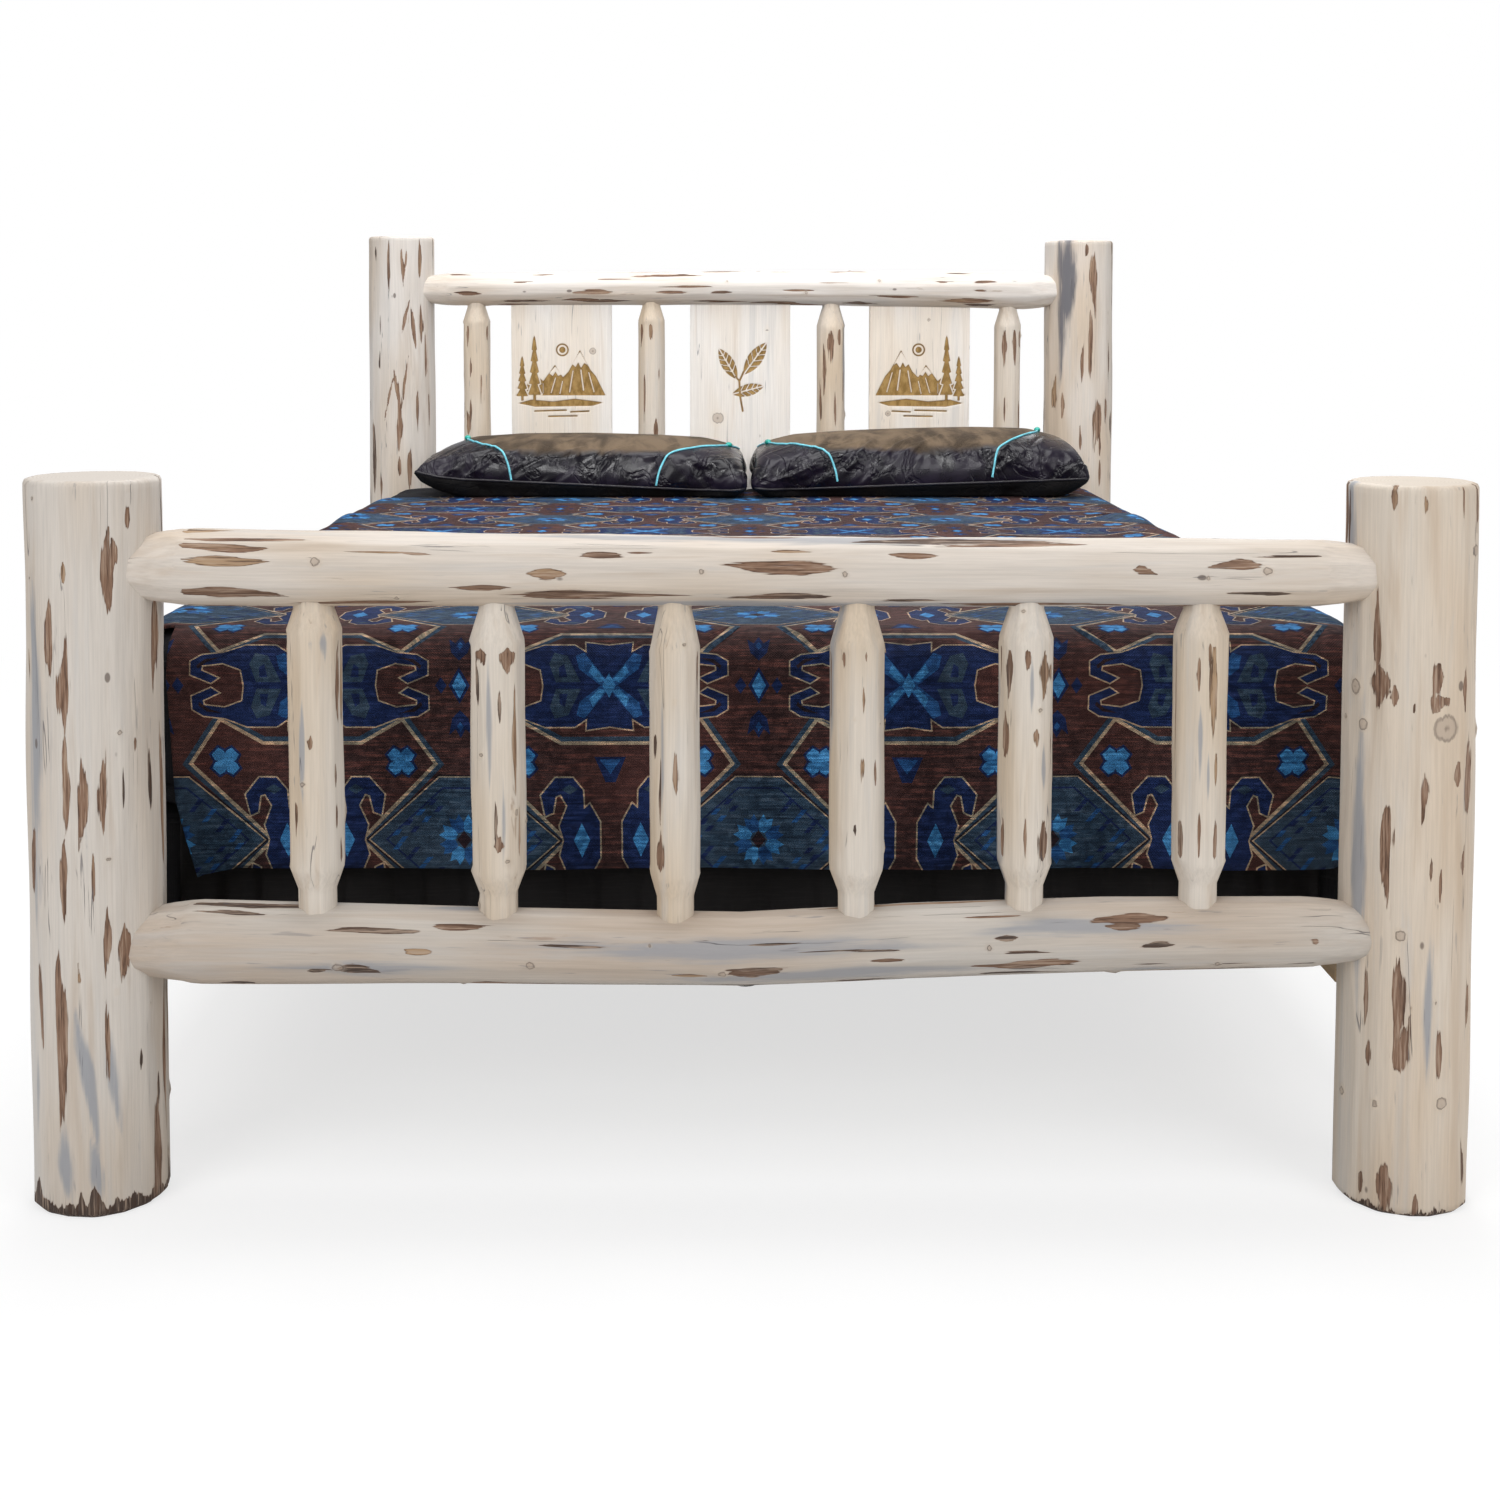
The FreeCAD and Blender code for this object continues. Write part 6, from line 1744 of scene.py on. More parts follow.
def add_block(body, rings, plan, material, welt_inset, welt_radius, welt_heights):
    """A block on its body, and the round cords sewn round its two edges."""
    faces = ring_faces(*rings.shape[:2])
    block = mesh_object(body + "_block", rings.reshape(-1, 3), faces, material)
    shown_on(block, body, body + "_cloth", body)
    for label, z in zip(("low", "high"), welt_heights):
        outline = block_outline(plan, welt_inset, z)
        welt = cord(f"{body}_welt_{label}", outline, welt_radius, 3, material, True)
        shown_on(welt, body, body + "_cloth")
    return block


class LOGBED_OT_foundation(bpy.types.Operator):
    """The foundation under the mattress"""

    bl_idname = "logbed.foundation"
    bl_label = "Foundation"

    def execute(self, context):
        material = knit_material("black foundation cloth", (0.010, 0.010, 0.011), 0.0016)
        profile = padded_profile(foundation_low, foundation_high, 0.010, 0.70, 8)
        rings = block_rings(foundation_plan, profile)
        x, y, z = np.moveaxis(rings, 2, 0).copy()
        middle_z = (foundation_low + foundation_high) / 2
        half = (foundation_high - foundation_low) / 2
        border = np.clip(1 - np.abs(z - middle_z) / half, 0, 1) ** 0.5
        dent = 0.0015 + 0.0009 * border * (np.sin(y * 95) + np.sin(x * 88))
        at_side = np.abs(np.abs(x) - foundation_half_width) < 0.02
        rings[:, :, 0] -= np.where(at_side, np.sign(x) * dent * border, 0)
        welts = (foundation_low + 0.009, foundation_high - 0.009)
        block = add_block("foundation", rings, foundation_plan, material, 0.0005, 0.0028, welts)
        return {"FINISHED"}


class LOGBED_OT_mattress(bpy.types.Operator):
    """The quilted mattress with its edge welts"""

    bl_idname = "logbed.mattress"
    bl_label = "Mattress"

    def execute(self, context):
        material = knit_material("black mattress knit", (0.010, 0.010, 0.012), 0.0022)
        profile = padded_profile(mattress_low, mattress_high, 0.045, 0.66, 44)
        rings = block_rings(mattress_plan, profile)
        x, y, z = np.moveaxis(rings, 2, 0)
        on_top = np.clip((z - (mattress_high - 0.02)) / 0.02, 0, 1)
        quilt = math.pi / 0.16
        lines = np.abs(np.sin((x + y) * quilt)) * np.abs(np.sin((x - y) * quilt))
        rings[:, :, 2] -= on_top * 0.006 * (1 - np.clip(lines * 2.5, 0, 1) ** 0.5)
        welts = (mattress_low + 0.034, mattress_high - 0.034)
        block = add_block("mattress", rings, mattress_plan, material, 0.001, 0.0038, welts)
        return {"FINISHED"}


def add_thickness(cloth, thickness, offset):
    solidify = cloth.modifiers.new("cloth thickness", "SOLIDIFY")
    solidify.thickness = thickness
    solidify.offset = offset


class LOGBED_OT_skirt(bpy.types.Operator):
    """The pleated skirt across the foot end"""

    bl_idname = "logbed.skirt"
    bl_label = "Foot Skirt"

    def execute(self, context):
        pleats = context.scene.log_bed_bedding.pleats
        columns, rows = pleats * 16 + 1, 26
        u, v = np.meshgrid(np.linspace(0, 1, columns), np.linspace(0, 1, rows))
        rng = np.random.default_rng(61)
        even = np.linspace(0, 1, pleats + 1)
        moved = even + np.concatenate([[0], rng.uniform(-0.25, 0.25, pleats - 1) / pleats, [0]])
        phase = 2 * np.pi * pleats * np.interp(u, even, moved)
        depth = 0.0045 * v**0.8
        wave = np.sin(phase) + 0.35 * np.sin(2 * phase + 0.7)
        x = -skirt_half_width + 2 * skirt_half_width * u + depth * 0.32 * np.cos(phase)
        y = skirt_y - 0.0015 - 0.006 * v - depth * (1 + wave) * 0.8
        drop = skirt_high - skirt_low
        points = np.stack([x, y, skirt_high - drop * v], 2)
        material = skirt_material("black skirt cloth", (0.0055, 0.0045, 0.0045), 0.0009)
        faces = grid_faces(rows, columns, flip=True)
        skirt = mesh_object("foot_skirt_cloth", points.reshape(-1, 3), faces, material)
        store_flat(skirt, np.stack([u.ravel() * 1.9, v.ravel() * 0.16], 1))
        add_thickness(skirt, 0.0012, 0)
        shown_on(skirt, "foundation", "skirt_cloth", "foot_skirt")
        return {"FINISHED"}


# Coverlet
yarns = {
    "ground": (0.058, 0.030, 0.029),
    "shadow": (0.020, 0.013, 0.018),
    "navy": (0.010, 0.024, 0.090),
    "blue": (0.018, 0.085, 0.250),
    "light": (0.045, 0.220, 0.500),
    "slate": (0.030, 0.062, 0.105),
    "cream": (0.340, 0.300, 0.220),
}
tile_size = np.array([tile_width, tile_height])


def at(shape, cx, cy, sx=1.0, sy=1.0):
    """A closed shape, scaled about the origin and moved to a place."""
    return [(cx + px * sx, cy + py * sy) for px, py in shape]


def turned(shape, cx, cy, angle):
    """A closed shape, turned about the origin and moved to a place."""
    c, s = math.cos(angle), math.sin(angle)
    return [(cx + px * c - py * s, cy + px * s + py * c) for px, py in shape]


def grown(shape, distance):
    """A closed shape with its corners moved out by the distance, corner by corner."""
    points = np.array(shape)
    points = points[np.abs(points - np.roll(points, 1, 0)).max(1) > 1e-9]
    area = np.sum(points[:, 0] * np.roll(points[:, 1], -1) - points[:, 1] * np.roll(points[:, 0], -1))
    if area < 0:
        points = points[::-1]
    before = points - np.roll(points, 1, 0)
    after = np.roll(points, -1, 0) - points
    out = []
    for p, a, b in zip(points, before, after):
        total = np.array([a[1], -a[0]]) / np.hypot(*a) + np.array([b[1], -b[0]]) / np.hypot(*b)
        out.append(tuple(p + total * 2 * distance / max(total @ total, 0.8)))
    return out


def mirrored_down(half):
    """A closed shape, mirrored about the X axis, from its upper outline."""
    return half + [(px, -py) for px, py in half[::-1]]


def whole_from_quarter(quarter):
    """A closed shape, mirrored both ways, from its outline between the two axes."""
    right = mirrored_down(quarter)
    return right + [(-px, py) for px, py in right[::-1]]


# Shapes of the weave, in metres about their own middle; the diamond gets its size where it is used
diamond = [(-1.0, 0.0), (0.0, -1.0), (1.0, 0.0), (0.0, 1.0)]
gate = whole_from_quarter([(0.060, 0.1160), (0.110, 0.1440), (0.1465, 0.0930), (0.052, 0.0)])
outer_field = whole_from_quarter([(0.028, 0.076), (0.116, 0.0)])
inner_field = whole_from_quarter([(0.024, 0.062), (0.094, 0.0)])
petal = [
    (0.010, -0.0035), (0.019, -0.0085), (0.031, -0.0065), (0.026, 0.0), (0.031, 0.0065), (0.019, 0.0085),
    (0.010, 0.0035),
]
lobe = [
    (-0.0035, 0.0), (-0.0080, 0.0100), (-0.0060, 0.0175), (0.0060, 0.0175), (0.0080, 0.0100), (0.0035, 0.0),
]
leaf = [(-0.006, -0.004), (0.001, -0.0035), (0.007, 0.004), (0.0, 0.0035)]
leaf_places = [
    (a * (0.038 + 0.015 * k + 0.007 * row), b * (0.046 - 0.0125 * k + 0.0085 * row))
    for a in (-1, 1)
    for b in (-1, 1)
    for row in (-1, 0)
    for k in range(4)
]
horn = mirrored_down(
    [
        (0.014, 0.0), (0.014, 0.022), (0.026, 0.044), (0.033, 0.038), (0.034, 0.061), (0.046, 0.076),
        (0.067, 0.076), (0.085, 0.055), (0.080, 0.030), (0.071, 0.034), (0.067, 0.054), (0.061, 0.056),
        (0.053, 0.042), (0.063, 0.018), (0.058, 0.0),
    ]
)
medallion = whole_from_quarter(
    [
        (0.0, 0.050), (0.028, 0.054), (0.027, 0.040), (0.042, 0.050), (0.078, 0.050), (0.104, 0.040),
        (0.130, 0.037), (0.143, 0.029), (0.143, 0.013), (0.119, 0.003), (0.110, 0.009), (0.130, 0.018),
        (0.129, 0.024), (0.104, 0.027), (0.082, 0.019), (0.079, 0.0),
    ]
)
tulip = [
    (0.0, 0.030), (0.010, 0.040), (0.014, 0.060), (0.006, 0.053), (0.0, 0.064), (-0.006, 0.053),
    (-0.014, 0.060), (-0.010, 0.040),
]
# Parts of the medallion, each painted in all four quarters
medallion_parts = (
    ("slate", [(0.034, 0.004), (0.050, 0.036), (0.066, 0.040), (0.072, 0.026), (0.064, 0.004)]),
    ("navy", [(0.050, 0.010), (0.054, 0.026), (0.060, 0.022), (0.060, 0.010)]),
    ("shadow", [(0.108, 0.034), (0.126, 0.032), (0.136, 0.024), (0.134, 0.020), (0.124, 0.028)]),
    ("blue", [(0.0, 0.004), (0.030, 0.040), (0.040, 0.036), (0.036, 0.020), (0.010, 0.0)]),
    ("light", [(0.004, 0.006), (0.020, 0.026), (0.024, 0.016), (0.012, 0.004)]),
    ("navy", [(0.0, 0.022), (0.010, 0.034), (0.0, 0.042)]),
)


def tile_motifs():
    """One repeat of the weave: rows of (yarn, closed shape), painted in this order."""
    motifs = []

    def paint(yarn, *shapes):
        motifs.extend((yarn, shape) for shape in shapes)

    for y in (-tile_height / 2, tile_height / 2):
        here = at(gate, 0, y)
        paint("slate", grown(here, 0.0100))
        paint("cream", grown(here, 0.0042))
        paint("ground", here)
        for sx in (-1, 1):
            paint("cream", grown(at(horn, 0, y, sx), 0.0019))
            paint("navy", at(horn, 0, y, sx))
            paint("light", at(diamond, sx * 0.036, y, 0.010, 0.021))
            paint("slate", *[at(diamond, sx * 0.050, y + sy * 0.062, 0.010, 0.006) for sy in (1, -1)])
        for sy in (-1, 1):
            paint("navy", at([(-0.019, 0.101), (0.019, 0.101), (0.006, 0.070), (-0.006, 0.070)], 0, y, 1, sy))
            paint("blue", at([(-0.013, 0.098), (0.013, 0.098), (0.0, 0.080)], 0, y, 1, sy))
    for sx in (-1, 1):
        for sy in (-1, 1):
            x, y = sx * tile_width / 2, sy * tile_height / 2
            outer, inner = at(outer_field, x, y), at(inner_field, x, y)
            paint("shadow", grown(outer, 0.0035))
            paint("cream", grown(outer, 0.0016))
            paint("slate", outer)
            paint("navy", grown(inner, 0.0022))
            paint("slate", inner)
            leaves = [at(leaf, x + u, y + v) for u, v in leaf_places]
            paint("navy", *leaves[::2])
            paint("blue", *leaves[1::2])
            for k in range(8):
                paint("light" if k % 2 else "blue", turned(petal, x, y, math.pi / 4 * k + math.pi / 8))
            paint("shadow", at(diamond, x, y, 0.009, 0.011))
            x, y = sx * tile_width * 0.296, sy * tile_height * 0.246
            lobes = [turned(lobe, x, y, math.pi / 2 * k + math.pi / 4) for k in range(4)]
            paint("navy", *[grown(shape, 0.0028) for shape in lobes])
            paint("light", *lobes)
    paint("cream", grown(medallion, 0.0017))
    paint("navy", medallion)
    for yarn, shape in medallion_parts:
        paint(yarn, *[at(shape, 0, 0, sx, sy) for sx, sy in ((1, 1), (-1, 1), (1, -1), (-1, -1))])
    paint("light", at(diamond, 0, 0, 0.008, 0.015))
    for x in (-tile_width / 2, tile_width / 2):
        paint("navy", at(tulip, x, 0), at(tulip, x, 0, 1, -1), at(diamond, x, 0, 0.013, 0.022))
        paint("light", at(diamond, x, 0, 0.0085, 0.016))
        paint("blue", at(diamond, x, 0.050, 0.004, 0.006), at(diamond, x, -0.050, 0.004, 0.006))
        paint("navy", at(diamond, x - 0.022, 0, 0.007, 0.010), at(diamond, x + 0.022, 0, 0.007, 0.010))
    return motifs


def clipped_to_tile(shape):
    """A shape cut off at the limits of one repeat."""
    points = list(shape)
    for axis, sign in ((0, 1), (0, -1), (1, 1), (1, -1)):
        limit = -sign * tile_size[axis] / 2
        kept = []
        for first, second in zip(points, points[1:] + points[:1]):
            a = sign * (first[axis] - limit)
            b = sign * (second[axis] - limit)
            if a >= 0:
                kept.append(first)
            if (a > 0 > b) or (a < 0 < b):
                share = a / (a - b)
                kept.append(tuple(f + share * (s - f) for f, s in zip(first, second)))
        points = kept
        if len(points) < 3:
            return []
    return points


def shoulder_drop(distance):
    """How far out and down a point lies that is this far past the start of a shoulder."""
    turn = np.clip(distance / coverlet_shoulder, 0, math.pi / 2)
    straight = np.maximum(distance - coverlet_shoulder * math.pi / 2, 0)
    return coverlet_shoulder * np.sin(turn), coverlet_shoulder * (1 - np.cos(turn)) + straight


def fold_wave(along, seed, shortest, longest):
    rng = np.random.default_rng(seed)
    total = np.zeros_like(along)
    for _ in range(5):
        total += np.sin(2 * np.pi * along / rng.uniform(shortest, longest) + rng.uniform(0, 6.28))
    return total / 3


def coverlet_place(u, v):
    """Where a point of the flat coverlet lies on the dressed bed."""
    full = coverlet_top - coverlet_shoulder - coverlet_hem
    side = np.sign(u)
    past = np.maximum(np.abs(u) - coverlet_flat_half, 0)
    out, down = shoulder_drop(past)
    share = np.clip((down - coverlet_shoulder * 0.6) / full, 0, 1)
    left, right = [
        fold_wave(v, seed, 0.16, 0.42) + 0.4 * fold_wave(v, seed + 1, 0.07, 0.15) for seed in (71, 73)
    ]
    wave = np.where(u < 0, left, right)
    x = side * (np.minimum(np.abs(u), coverlet_flat_half) + out)
    x = x + side * share * (coverlet_flare * 0.6 + 0.0075 * wave)
    past_foot = np.maximum(coverlet_turn_y - v, 0)
    foot_out, foot_down = shoulder_drop(past_foot)
    foot_share = np.clip((foot_down - coverlet_shoulder * 0.6) / full, 0, 1)
    foot_wave = fold_wave(u, 75, 0.22, 0.5) + 0.35 * fold_wave(u, 76, 0.09, 0.2)
    y = np.maximum(v, coverlet_turn_y) - foot_out - foot_share * (0.004 + 0.0048 * foot_wave)
    x = x * (1 - 0.018 * foot_share)
    flat_top = np.clip(1 - (past + past_foot) / 0.04, 0, 1)
    sag = fold_wave(u * 0.9 + v * 0.35, 77, 0.3, 0.9) * fold_wave(v - 0.3 * u, 78, 0.3, 0.8)
    puffs = fold_wave(v, 79, 0.09, 0.24) + 0.4 * np.sin(40 * u)
    rim = np.exp(-(((np.abs(u) - coverlet_flat_half) / 0.06) ** 2)) * np.clip((0.5 - v) / 0.15, 0, 1)
    z = coverlet_top - down - foot_down
    z = z - flat_top * 0.0016 * (1 + np.clip(sag, -1, 1))
    z = z + rim * np.clip(1 - past_foot / 0.05, 0, 1) * 0.0035 * (1.3 + puffs)
    return np.stack([x, y, z], -1)


def coverlet_outline():
    """The cut of the flat cloth: a wide top and sides, a narrower drop over the foot."""
    straight = coverlet_top - coverlet_shoulder - coverlet_hem
    reach = coverlet_flat_half + coverlet_shoulder * math.pi / 2 + straight
    hem_v = coverlet_turn_y - coverlet_shoulder * math.pi / 2 - straight
    turn = coverlet_turn_y
    left, right = coverlet_foot_left, coverlet_foot_right
    head_half = 0.776
    slope = (coverlet_head_right - coverlet_head_left) / (2 * head_half)

    def head_edge(u):
        x = float(coverlet_place(np.array([u]), np.array([0.0]))[0, 0])
        return coverlet_head_left + slope * (x + head_half)

    points = [(-reach, turn), (left - 0.004, turn), (left, turn - 0.01)]
    points += [(left + 0.002, hem_v + 0.085), (left + 0.012, hem_v + 0.035), (left + 0.024, hem_v - 0.010)]
    points += [(left + 0.032, hem_v - 0.007), (left + 0.075, hem_v + 0.001)]
    corner = 0.03
    for step in range(7):
        a = -math.pi / 2 + math.pi / 2 * step / 6
        points.append((right - 0.006 - corner + corner * math.cos(a), hem_v + corner + corner * math.sin(a)))
    points += [(right, turn - 0.01), (right + 0.004, turn), (reach, turn)]
    return points + [(float(u), head_edge(float(u))) for u in np.linspace(reach, -reach, 40)]


def repeats_over(low, high):
    """Middles of the weave's repeats that touch the cloth."""
    first = np.floor((low - weave_start) / tile_size - 0.5).astype(int)
    last = np.ceil((high - weave_start) / tile_size + 0.5).astype(int)
    for column in range(first[0], last[0] + 1):
        for row in range(first[1], last[1] + 1):
            yield weave_start + tile_size * (column, row)


def flat_coverlet(outline, step):
    """Points and triangles of the flat cloth, with an edge along each change of yarn."""
    vertices = []
    edges = []

    def add_loop(shape):
        start = len(vertices)
        count = len(shape)
        vertices.extend(Vector(p) for p in shape)
        edges.extend((start + i, start + (i + 1) % count) for i in range(count))

    add_loop(outline)
    low, high = np.min(outline, axis=0), np.max(outline, axis=0)
    cut_shapes = [clipped_to_tile(shape) for _, shape in tile_motifs()]
    for cx, cy in repeats_over(low, high):
        for shape in cut_shapes:
            if shape:
                add_loop(at(shape, cx, cy))
    for u in np.arange(low[0] + step / 2, high[0], step):
        for v in np.arange(low[1] + step / 2, high[1], step):
            vertices.append(Vector((float(u), float(v))))
    found = delaunay_2d_cdt(vertices, edges, [], 0, 1e-5, False)
    flat = np.array([tuple(p) for p in found[0]])
    triangles = np.array(found[2])
    middles = flat[triangles].mean(1)
    triangles = triangles[inside_shape(middles[:, 0], middles[:, 1], outline)]
    used, renumbered = np.unique(triangles, return_inverse=True)
    return flat[used], renumbered.reshape(-1, 3)


def yarn_colours(middles):
    """Colour of the top yarn at each place of the flat cloth."""
    local = (middles - weave_start + tile_size / 2) % tile_size - tile_size / 2
    colours = np.tile(np.array(yarns["ground"]), (len(middles), 1))
    for yarn, shape in tile_motifs():
        colours[inside_shape(local[:, 0], local[:, 1], shape)] = yarns[yarn]
    return colours


class LOGBED_OT_coverlet(bpy.types.Operator):
    """The woven coverlet with its medallions, draped over the mattress"""

    bl_idname = "logbed.coverlet"
    bl_label = "Coverlet"

    def execute(self, context):
        settings = context.scene.log_bed_bedding
        flat, triangles = flat_coverlet(coverlet_outline(), settings.cloth_step)
        points = coverlet_place(flat[:, 0], flat[:, 1])
        cover = mesh_object("coverlet_cloth", points, triangles, coverlet_material())
        if len(cover.data.polygons) != len(triangles):
            raise RuntimeError("the coverlet's mesh lost faces")
        store(cover, "yarn", yarn_colours(flat[triangles].mean(1)), "FLOAT_VECTOR", "FACE")
        store_flat(cover, flat)
        add_thickness(cover, settings.coverlet_thickness, -1)
        shown_on(cover, "mattress", "coverlet_cloth", "coverlet")
        return {"FINISHED"}


# Pillows
# Piping on each pillow: (name, path of (share of width, share of half depth), bead place)
piping_paths = {
    "left": (
        (
            "outer",
            ((0.120, 0.85), (0.130, 0.25), (0.147, -0.12), (0.186, -0.42), (0.25, -0.60), (0.287, -0.82),
             (0.307, -1.08)),
            0.43,
        ),
        (
            "inner",
            ((0.975, 0.45), (0.956, 0.0), (0.906, -0.32), (0.84, -0.52), (0.78, -0.64), (0.74, -0.84),
             (0.718, -1.08)),
            0.37,
        ),
    ),
    "right": (
        (
            "inner",
            ((0.025, 0.45), (0.048, 0.0), (0.078, -0.32), (0.146, -0.52), (0.206, -0.64), (0.244, -0.84),
             (0.264, -1.08)),
            0.36,
        ),
        (
            "outer",
            ((0.905, 0.85), (0.892, 0.25), (0.872, -0.12), (0.794, -0.48), (0.733, -0.72), (0.706, -1.08)),
            0.40,
        ),
    ),
}
# Space that each pillow may fill: (lowest, highest) place
pillow_limits = {
    "left": np.array([(-0.676, 0.632, pillow_rest), (0.0162, 1.053, 2.0)]),
    "right": np.array([(0.0178, 0.632, pillow_rest), (0.712, 1.053, 2.0)]),
}


def pillow_shares(name, share):
    """Depth, fullness and height of the seam at a share of a pillow's width."""
    table = np.array(pillow_rows[name][1])
    return [np.interp(share, table[:, 0], table[:, c]) for c in (1, 2, 3)]


def pillow_rings(name):
    """Rings of a pillow from its left end to its right end."""
    middle_x, crest = pillow_rows[name][0]
    around = 72
    phi = np.arange(around) * 2 * np.pi / around
    y = -np.sign(np.cos(phi)) * np.abs(np.cos(phi)) ** 0.82
    z = np.sin(phi)
    rings = []
    for share in 0.5 - 0.5 * np.cos(np.linspace(0.06, math.pi - 0.06, 90)):
        depth_share, fullness, seam_share = pillow_shares(name, share)
        half = pillow_half_depth * depth_share
        seam = seam_share * crest
        rise = max((crest - seam) * fullness, 0.003)
        sag = max(seam * fullness, 0.003)
        up = np.where(z > 0, rise * np.abs(z) ** 0.78, -sag * np.abs(z) ** 0.6)
        draw = 0.009 * (1 - y**2) * (share - 0.5) * 2 * np.abs(2 * share - 1) ** 6
        x = middle_x + pillow_width * (share - 0.5) - draw
        rings.append(np.stack([x, pillow_middle_y + half * y, pillow_rest + seam + up], 1))
    return np.array(rings)


def simulated_pillow(obj, cap, limits):
    """Blows a pillow up a little with the cloth solver, and keeps every point near its start."""
    remesh = obj.modifiers.new("even mesh", "REMESH")
    remesh.mode = "VOXEL"
    remesh.voxel_size = 0.006
    smooth = obj.modifiers.new("even skin", "SMOOTH")
    smooth.factor = 0.5
    smooth.iterations = 6
    bake_modifiers(obj)
    start = coordinates(obj)
    cloth = obj.modifiers.new("stuffing", "CLOTH")
    cloth.settings.use_pressure = True
    cloth.settings.uniform_pressure_force = 4.0
    cloth.settings.effector_weights.gravity = 0.0
    cloth.settings.shrink_min = -0.05
    cloth.settings.tension_stiffness = 12.0
    cloth.settings.bending_stiffness = 0.15
    cloth.settings.quality = 5
    cloth.collision_settings.use_collision = False
    cloth.point_cache.frame_start = 1
    cloth.point_cache.frame_end = 20
    for number in range(1, 21):
        bpy.context.scene.frame_set(number)
    bake_modifiers(obj)
    bpy.context.scene.frame_set(1)
    move = coordinates(obj) - start
    size = np.linalg.norm(move, axis=1, keepdims=True)
    points = start + move * np.minimum(1, cap / np.maximum(size, 1e-9))
    move_points(obj, np.clip(points, *limits))


def wrinkle_pillow(obj, name, limits):
    """One subdivision, then slanted folds across the front and the shoulders of the pillow."""
    subdivision = obj.modifiers.new("fine skin", "SUBSURF")
    subdivision.levels = 1
    subdivision.render_levels = 1
    bake_modifiers(obj)
    middle_x = pillow_rows[name][0][0]
    rng = np.random.default_rng(81 if name == "left" else 82)
    points = coordinates(obj)
    normals = coordinates(obj, "normal")
    flat_x = points[:, 0] - middle_x
    flat_y = points[:, 1] - pillow_middle_y + points[:, 2] - pillow_rest
    move = np.zeros(len(points))
    for _ in range(34):
        angle = rng.uniform(0.5, 1.25)
        away_x = flat_x - rng.uniform(-0.5, 0.5) * pillow_width
        away_y = flat_y - rng.uniform(-0.20, -0.02)
        along = away_x * math.cos(angle) + away_y * math.sin(angle)
        across = away_y * math.cos(angle) - away_x * math.sin(angle)
        reach = rng.uniform(0.03, 0.085)
        width = rng.uniform(0.004, 0.009)
        fold = np.exp(-((across / width) ** 2)) - 0.6 * np.exp(-(((across - 1.8 * width) / width) ** 2))
        move += rng.uniform(0.0010, 0.0026) * fold * np.exp(-((along / reach) ** 4))
    points += normals * (move * np.clip(normals[:, 2] + 0.6, 0, 1))[:, None]
    move_points(obj, np.clip(points, *limits))


def smooth_path(path, count):
    """Even points on a smooth curve through the given ones."""
    table = np.array(path, float)
    distance = np.concatenate([[0], np.cumsum(np.hypot(*np.diff(table, axis=0).T))])
    t = np.linspace(0, distance[-1], count)
    rough = np.stack([np.interp(t, distance, table[:, c]) for c in (0, 1)], 1)
    for _ in range(6):
        rough[1:-1] = (rough[:-2] + 2 * rough[1:-1] + rough[2:]) / 4
    return rough


def paint_pillow(pillow, name):
    """Keeps on each point how much of the polished hide and of the underside it has."""
    middle_x, crest = pillow_rows[name][0]
    x, y, z = coordinates(pillow).T
    share = (x - middle_x) / pillow_width + 0.5
    # Where a slanting look from above and the foot meets the pillow
    depth = (y + 0.577 * (z - pillow_rest - crest / 2) - pillow_middle_y) / pillow_half_depth
    _, _, seam_share = pillow_shares(name, np.clip(share, 0, 1))
    under = np.clip((pillow_rest + seam_share * crest - z) / 0.004 + 0.2, 0, 1)
    hide = np.clip((-depth - 0.45) / 0.45, 0, 0.8)
    for _, path, _ in piping_paths[name]:
        dense = smooth_path(path, 120)
        order = np.argsort(dense[:, 1])
        limit = np.interp(depth, dense[order, 1], dense[order, 0])
        outside = limit - share if dense[:, 0].mean() < 0.5 else share - limit
        hide = np.maximum(hide, np.clip(0.5 + outside / 0.012, 0, 1))
    store(pillow, "hide", hide)
    store(pillow, "under", under)


def make_bead(name, place, direction, material):
    """A smooth oval stone lying along the piping."""
    columns, rows = 24, 14
    across = direction.cross(Vector((0, 0, 1))).normalized()
    up = across.cross(direction).normalized()
    axes = np.array([direction, across, up])
    a = math.pi * np.arange(1, rows)[:, None] / rows
    b = 2 * math.pi * np.arange(columns)[None, :] / columns
    lengthwise = -np.cos(a) * 0.0095 + 0 * b
    local = np.stack([lengthwise, np.sin(a) * np.cos(b) * 0.0068, np.sin(a) * np.sin(b) * 0.0058], 2)
    local = np.concatenate([local.reshape(-1, 3), [(-0.0095, 0, 0), (0.0095, 0, 0)]]) + [0, 0, 0.002]
    bead = mesh_object(name, np.array(place) + local @ axes, fan_faces(rows - 1, columns), material)
    bead.data.flip_normals()
    return bead


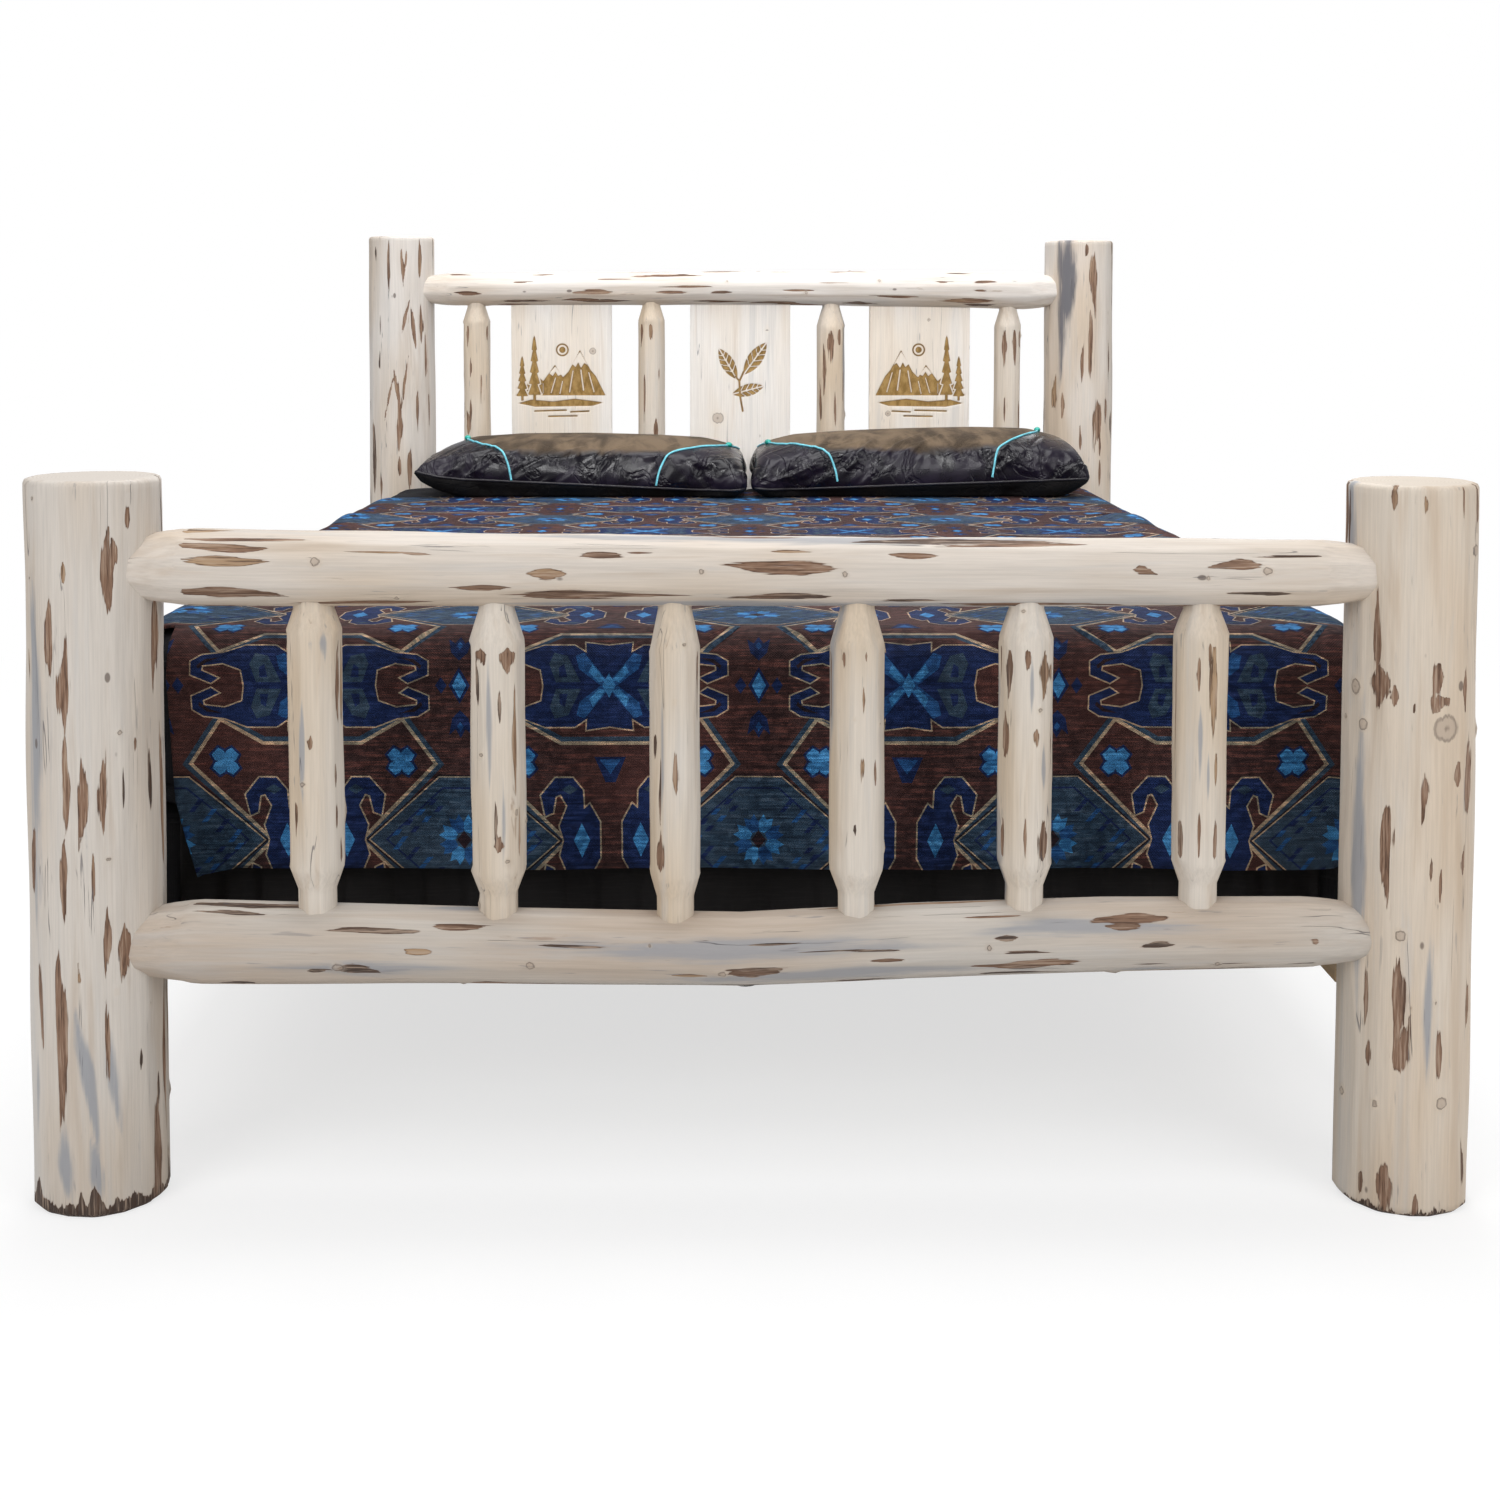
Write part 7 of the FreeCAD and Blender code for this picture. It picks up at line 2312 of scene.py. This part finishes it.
class LOGBED_OT_pillows(bpy.types.Operator):
    """Two hide pillows with turquoise piping and beads"""

    bl_idname = "logbed.pillows"
    bl_label = "Pillows"

    def execute(self, context):
        material = pillow_material()
        for name in pillow_rows:
            body = "pillow_" + name
            rings = pillow_rings(name)
            pillow = mesh_object(body + "_hide", rings.reshape(-1, 3), ring_faces(*rings.shape[:2]), material)
            pillow.data.flip_normals()
            limits = pillow_limits[name]
            simulated_pillow(pillow, 0.014, limits)
            wrinkle_pillow(pillow, name, limits)
            pillow.data.materials.clear()
            pillow.data.materials.append(material)
            pillow.data.shade_smooth()
            paint_pillow(pillow, name)
            shown_on(pillow, body, "pillow_leather", body)
            tree = BVHTree.FromObject(pillow, context.evaluated_depsgraph_get())
            self.add_piping(context, tree, name, body)
            self.add_seam(context, tree, name, body, limits)
        return {"FINISHED"}

    def add_seam(self, context, tree, name, body, limits):
        """The thick sewn edge round the pillow, between its two halves."""
        radius = context.scene.log_bed_bedding.seam_radius
        middle_x, crest = pillow_rows[name][0]
        placed = []
        for side, shares in ((1, np.linspace(0.01, 0.99, 150)), (-1, np.linspace(0.99, 0.01, 150))):
            for share in shares:
                x = middle_x + (share - 0.5) * pillow_width
                x = min(max(x, limits[0][0] + 1.5 * radius), limits[1][0] - 1.5 * radius)
                _, _, seam_share = pillow_shares(name, float(share))
                start = Vector((x, pillow_middle_y - side, pillow_rest + float(seam_share) * crest))
                hit, normal, _, _ = tree.ray_cast(start, Vector((0, side, 0)))
                if hit is not None:
                    placed.append(hit + normal * radius * 0.2)
        black = metal_material("black seam", (0.012, 0.009, 0.013), 0.45, 0.0, 0.0002)
        shown_on(cord(body + "_seam", placed, radius, 2, black, True), body, "pillow_leather")

    def add_piping(self, context, tree, name, body):
        """The two bright cords across the pillow and the bead on each."""
        radius = context.scene.log_bed_bedding.piping_radius
        middle_x, crest = pillow_rows[name][0]
        look = Vector((0, 0.5, -0.866))
        turquoise = metal_material("turquoise cord", (0.20, 0.66, 0.78), 0.45, 0.0, 0.0002)
        teal = metal_material("teal stone", (0.02, 0.40, 0.33), 0.22, 0.0, 0.0003)
        for side_name, path, bead_share in piping_paths[name]:
            placed = []
            for share, depth in smooth_path(path, 60):
                x = middle_x + (share - 0.5) * pillow_width
                aim = Vector((x, pillow_middle_y + depth * pillow_half_depth, pillow_rest + crest / 2))
                hit, normal, _, _ = tree.ray_cast(aim - look * 0.5, look)
                if hit is not None:
                    placed.append(hit + normal * radius * 0.5)
            piping = cord(f"{body}_piping_{side_name}", placed, radius, 3, turquoise, False)
            shown_on(piping, body, "pillow_leather")
            index = int(bead_share * (len(placed) - 1))
            direction = (placed[index] - placed[max(0, index - 2)]).normalized()
            bead = make_bead(f"{body}_bead_{side_name}", placed[index], direction, teal)
            shown_on(bead, body, "pillow_leather")


# Panel and registration
class LOGBED_PT_panel(bpy.types.Panel):
    """Lists the pieces of the bed and their settings"""

    bl_idname = "LOGBED_PT_panel"
    bl_label = "Log Bed"
    bl_space_type = "VIEW_3D"
    bl_region_type = "UI"
    bl_category = "Log Bed"

    def draw(self, context):
        for group in (context.scene.log_bed_wood, context.scene.log_bed_bedding, context.scene.log_bed_stage):
            box = self.layout.box()
            for name in group.__annotations__:
                box.prop(group, name)
        for operator in operators:
            self.layout.operator(operator.bl_idname)


operators = (
    LOGBED_OT_stage,
    LOGBED_OT_posts,
    LOGBED_OT_rails,
    LOGBED_OT_spindles,
    LOGBED_OT_side_rails,
    LOGBED_OT_panels,
    LOGBED_OT_slats,
    LOGBED_OT_fittings,
    LOGBED_OT_screws,
    LOGBED_OT_foundation,
    LOGBED_OT_mattress,
    LOGBED_OT_skirt,
    LOGBED_OT_coverlet,
    LOGBED_OT_pillows,
)
classes = (LogBedWood, LogBedBedding, LogBedStage) + operators + (LOGBED_PT_panel,)


def register():
    for cls in classes:
        bpy.utils.register_class(cls)
    bpy.types.Scene.log_bed_wood = PointerProperty(type=LogBedWood)
    bpy.types.Scene.log_bed_bedding = PointerProperty(type=LogBedBedding)
    bpy.types.Scene.log_bed_stage = PointerProperty(type=LogBedStage)


def unregister():
    del bpy.types.Scene.log_bed_stage
    del bpy.types.Scene.log_bed_bedding
    del bpy.types.Scene.log_bed_wood
    for cls in reversed(classes):
        bpy.utils.unregister_class(cls)


def main():
    register()
    bpy.ops.logbed.stage()
    bpy.ops.logbed.posts()
    bpy.ops.logbed.rails()
    bpy.ops.logbed.spindles()
    bpy.ops.logbed.side_rails()
    bpy.ops.logbed.panels()
    bpy.ops.logbed.slats()
    bpy.ops.logbed.fittings()
    bpy.ops.logbed.screws()
    bpy.ops.logbed.foundation()
    bpy.ops.logbed.mattress()
    bpy.ops.logbed.skirt()
    bpy.ops.logbed.coverlet()
    bpy.ops.logbed.pillows()
    bpy.context.view_layer.update()


if __name__ == "__main__":
    main()
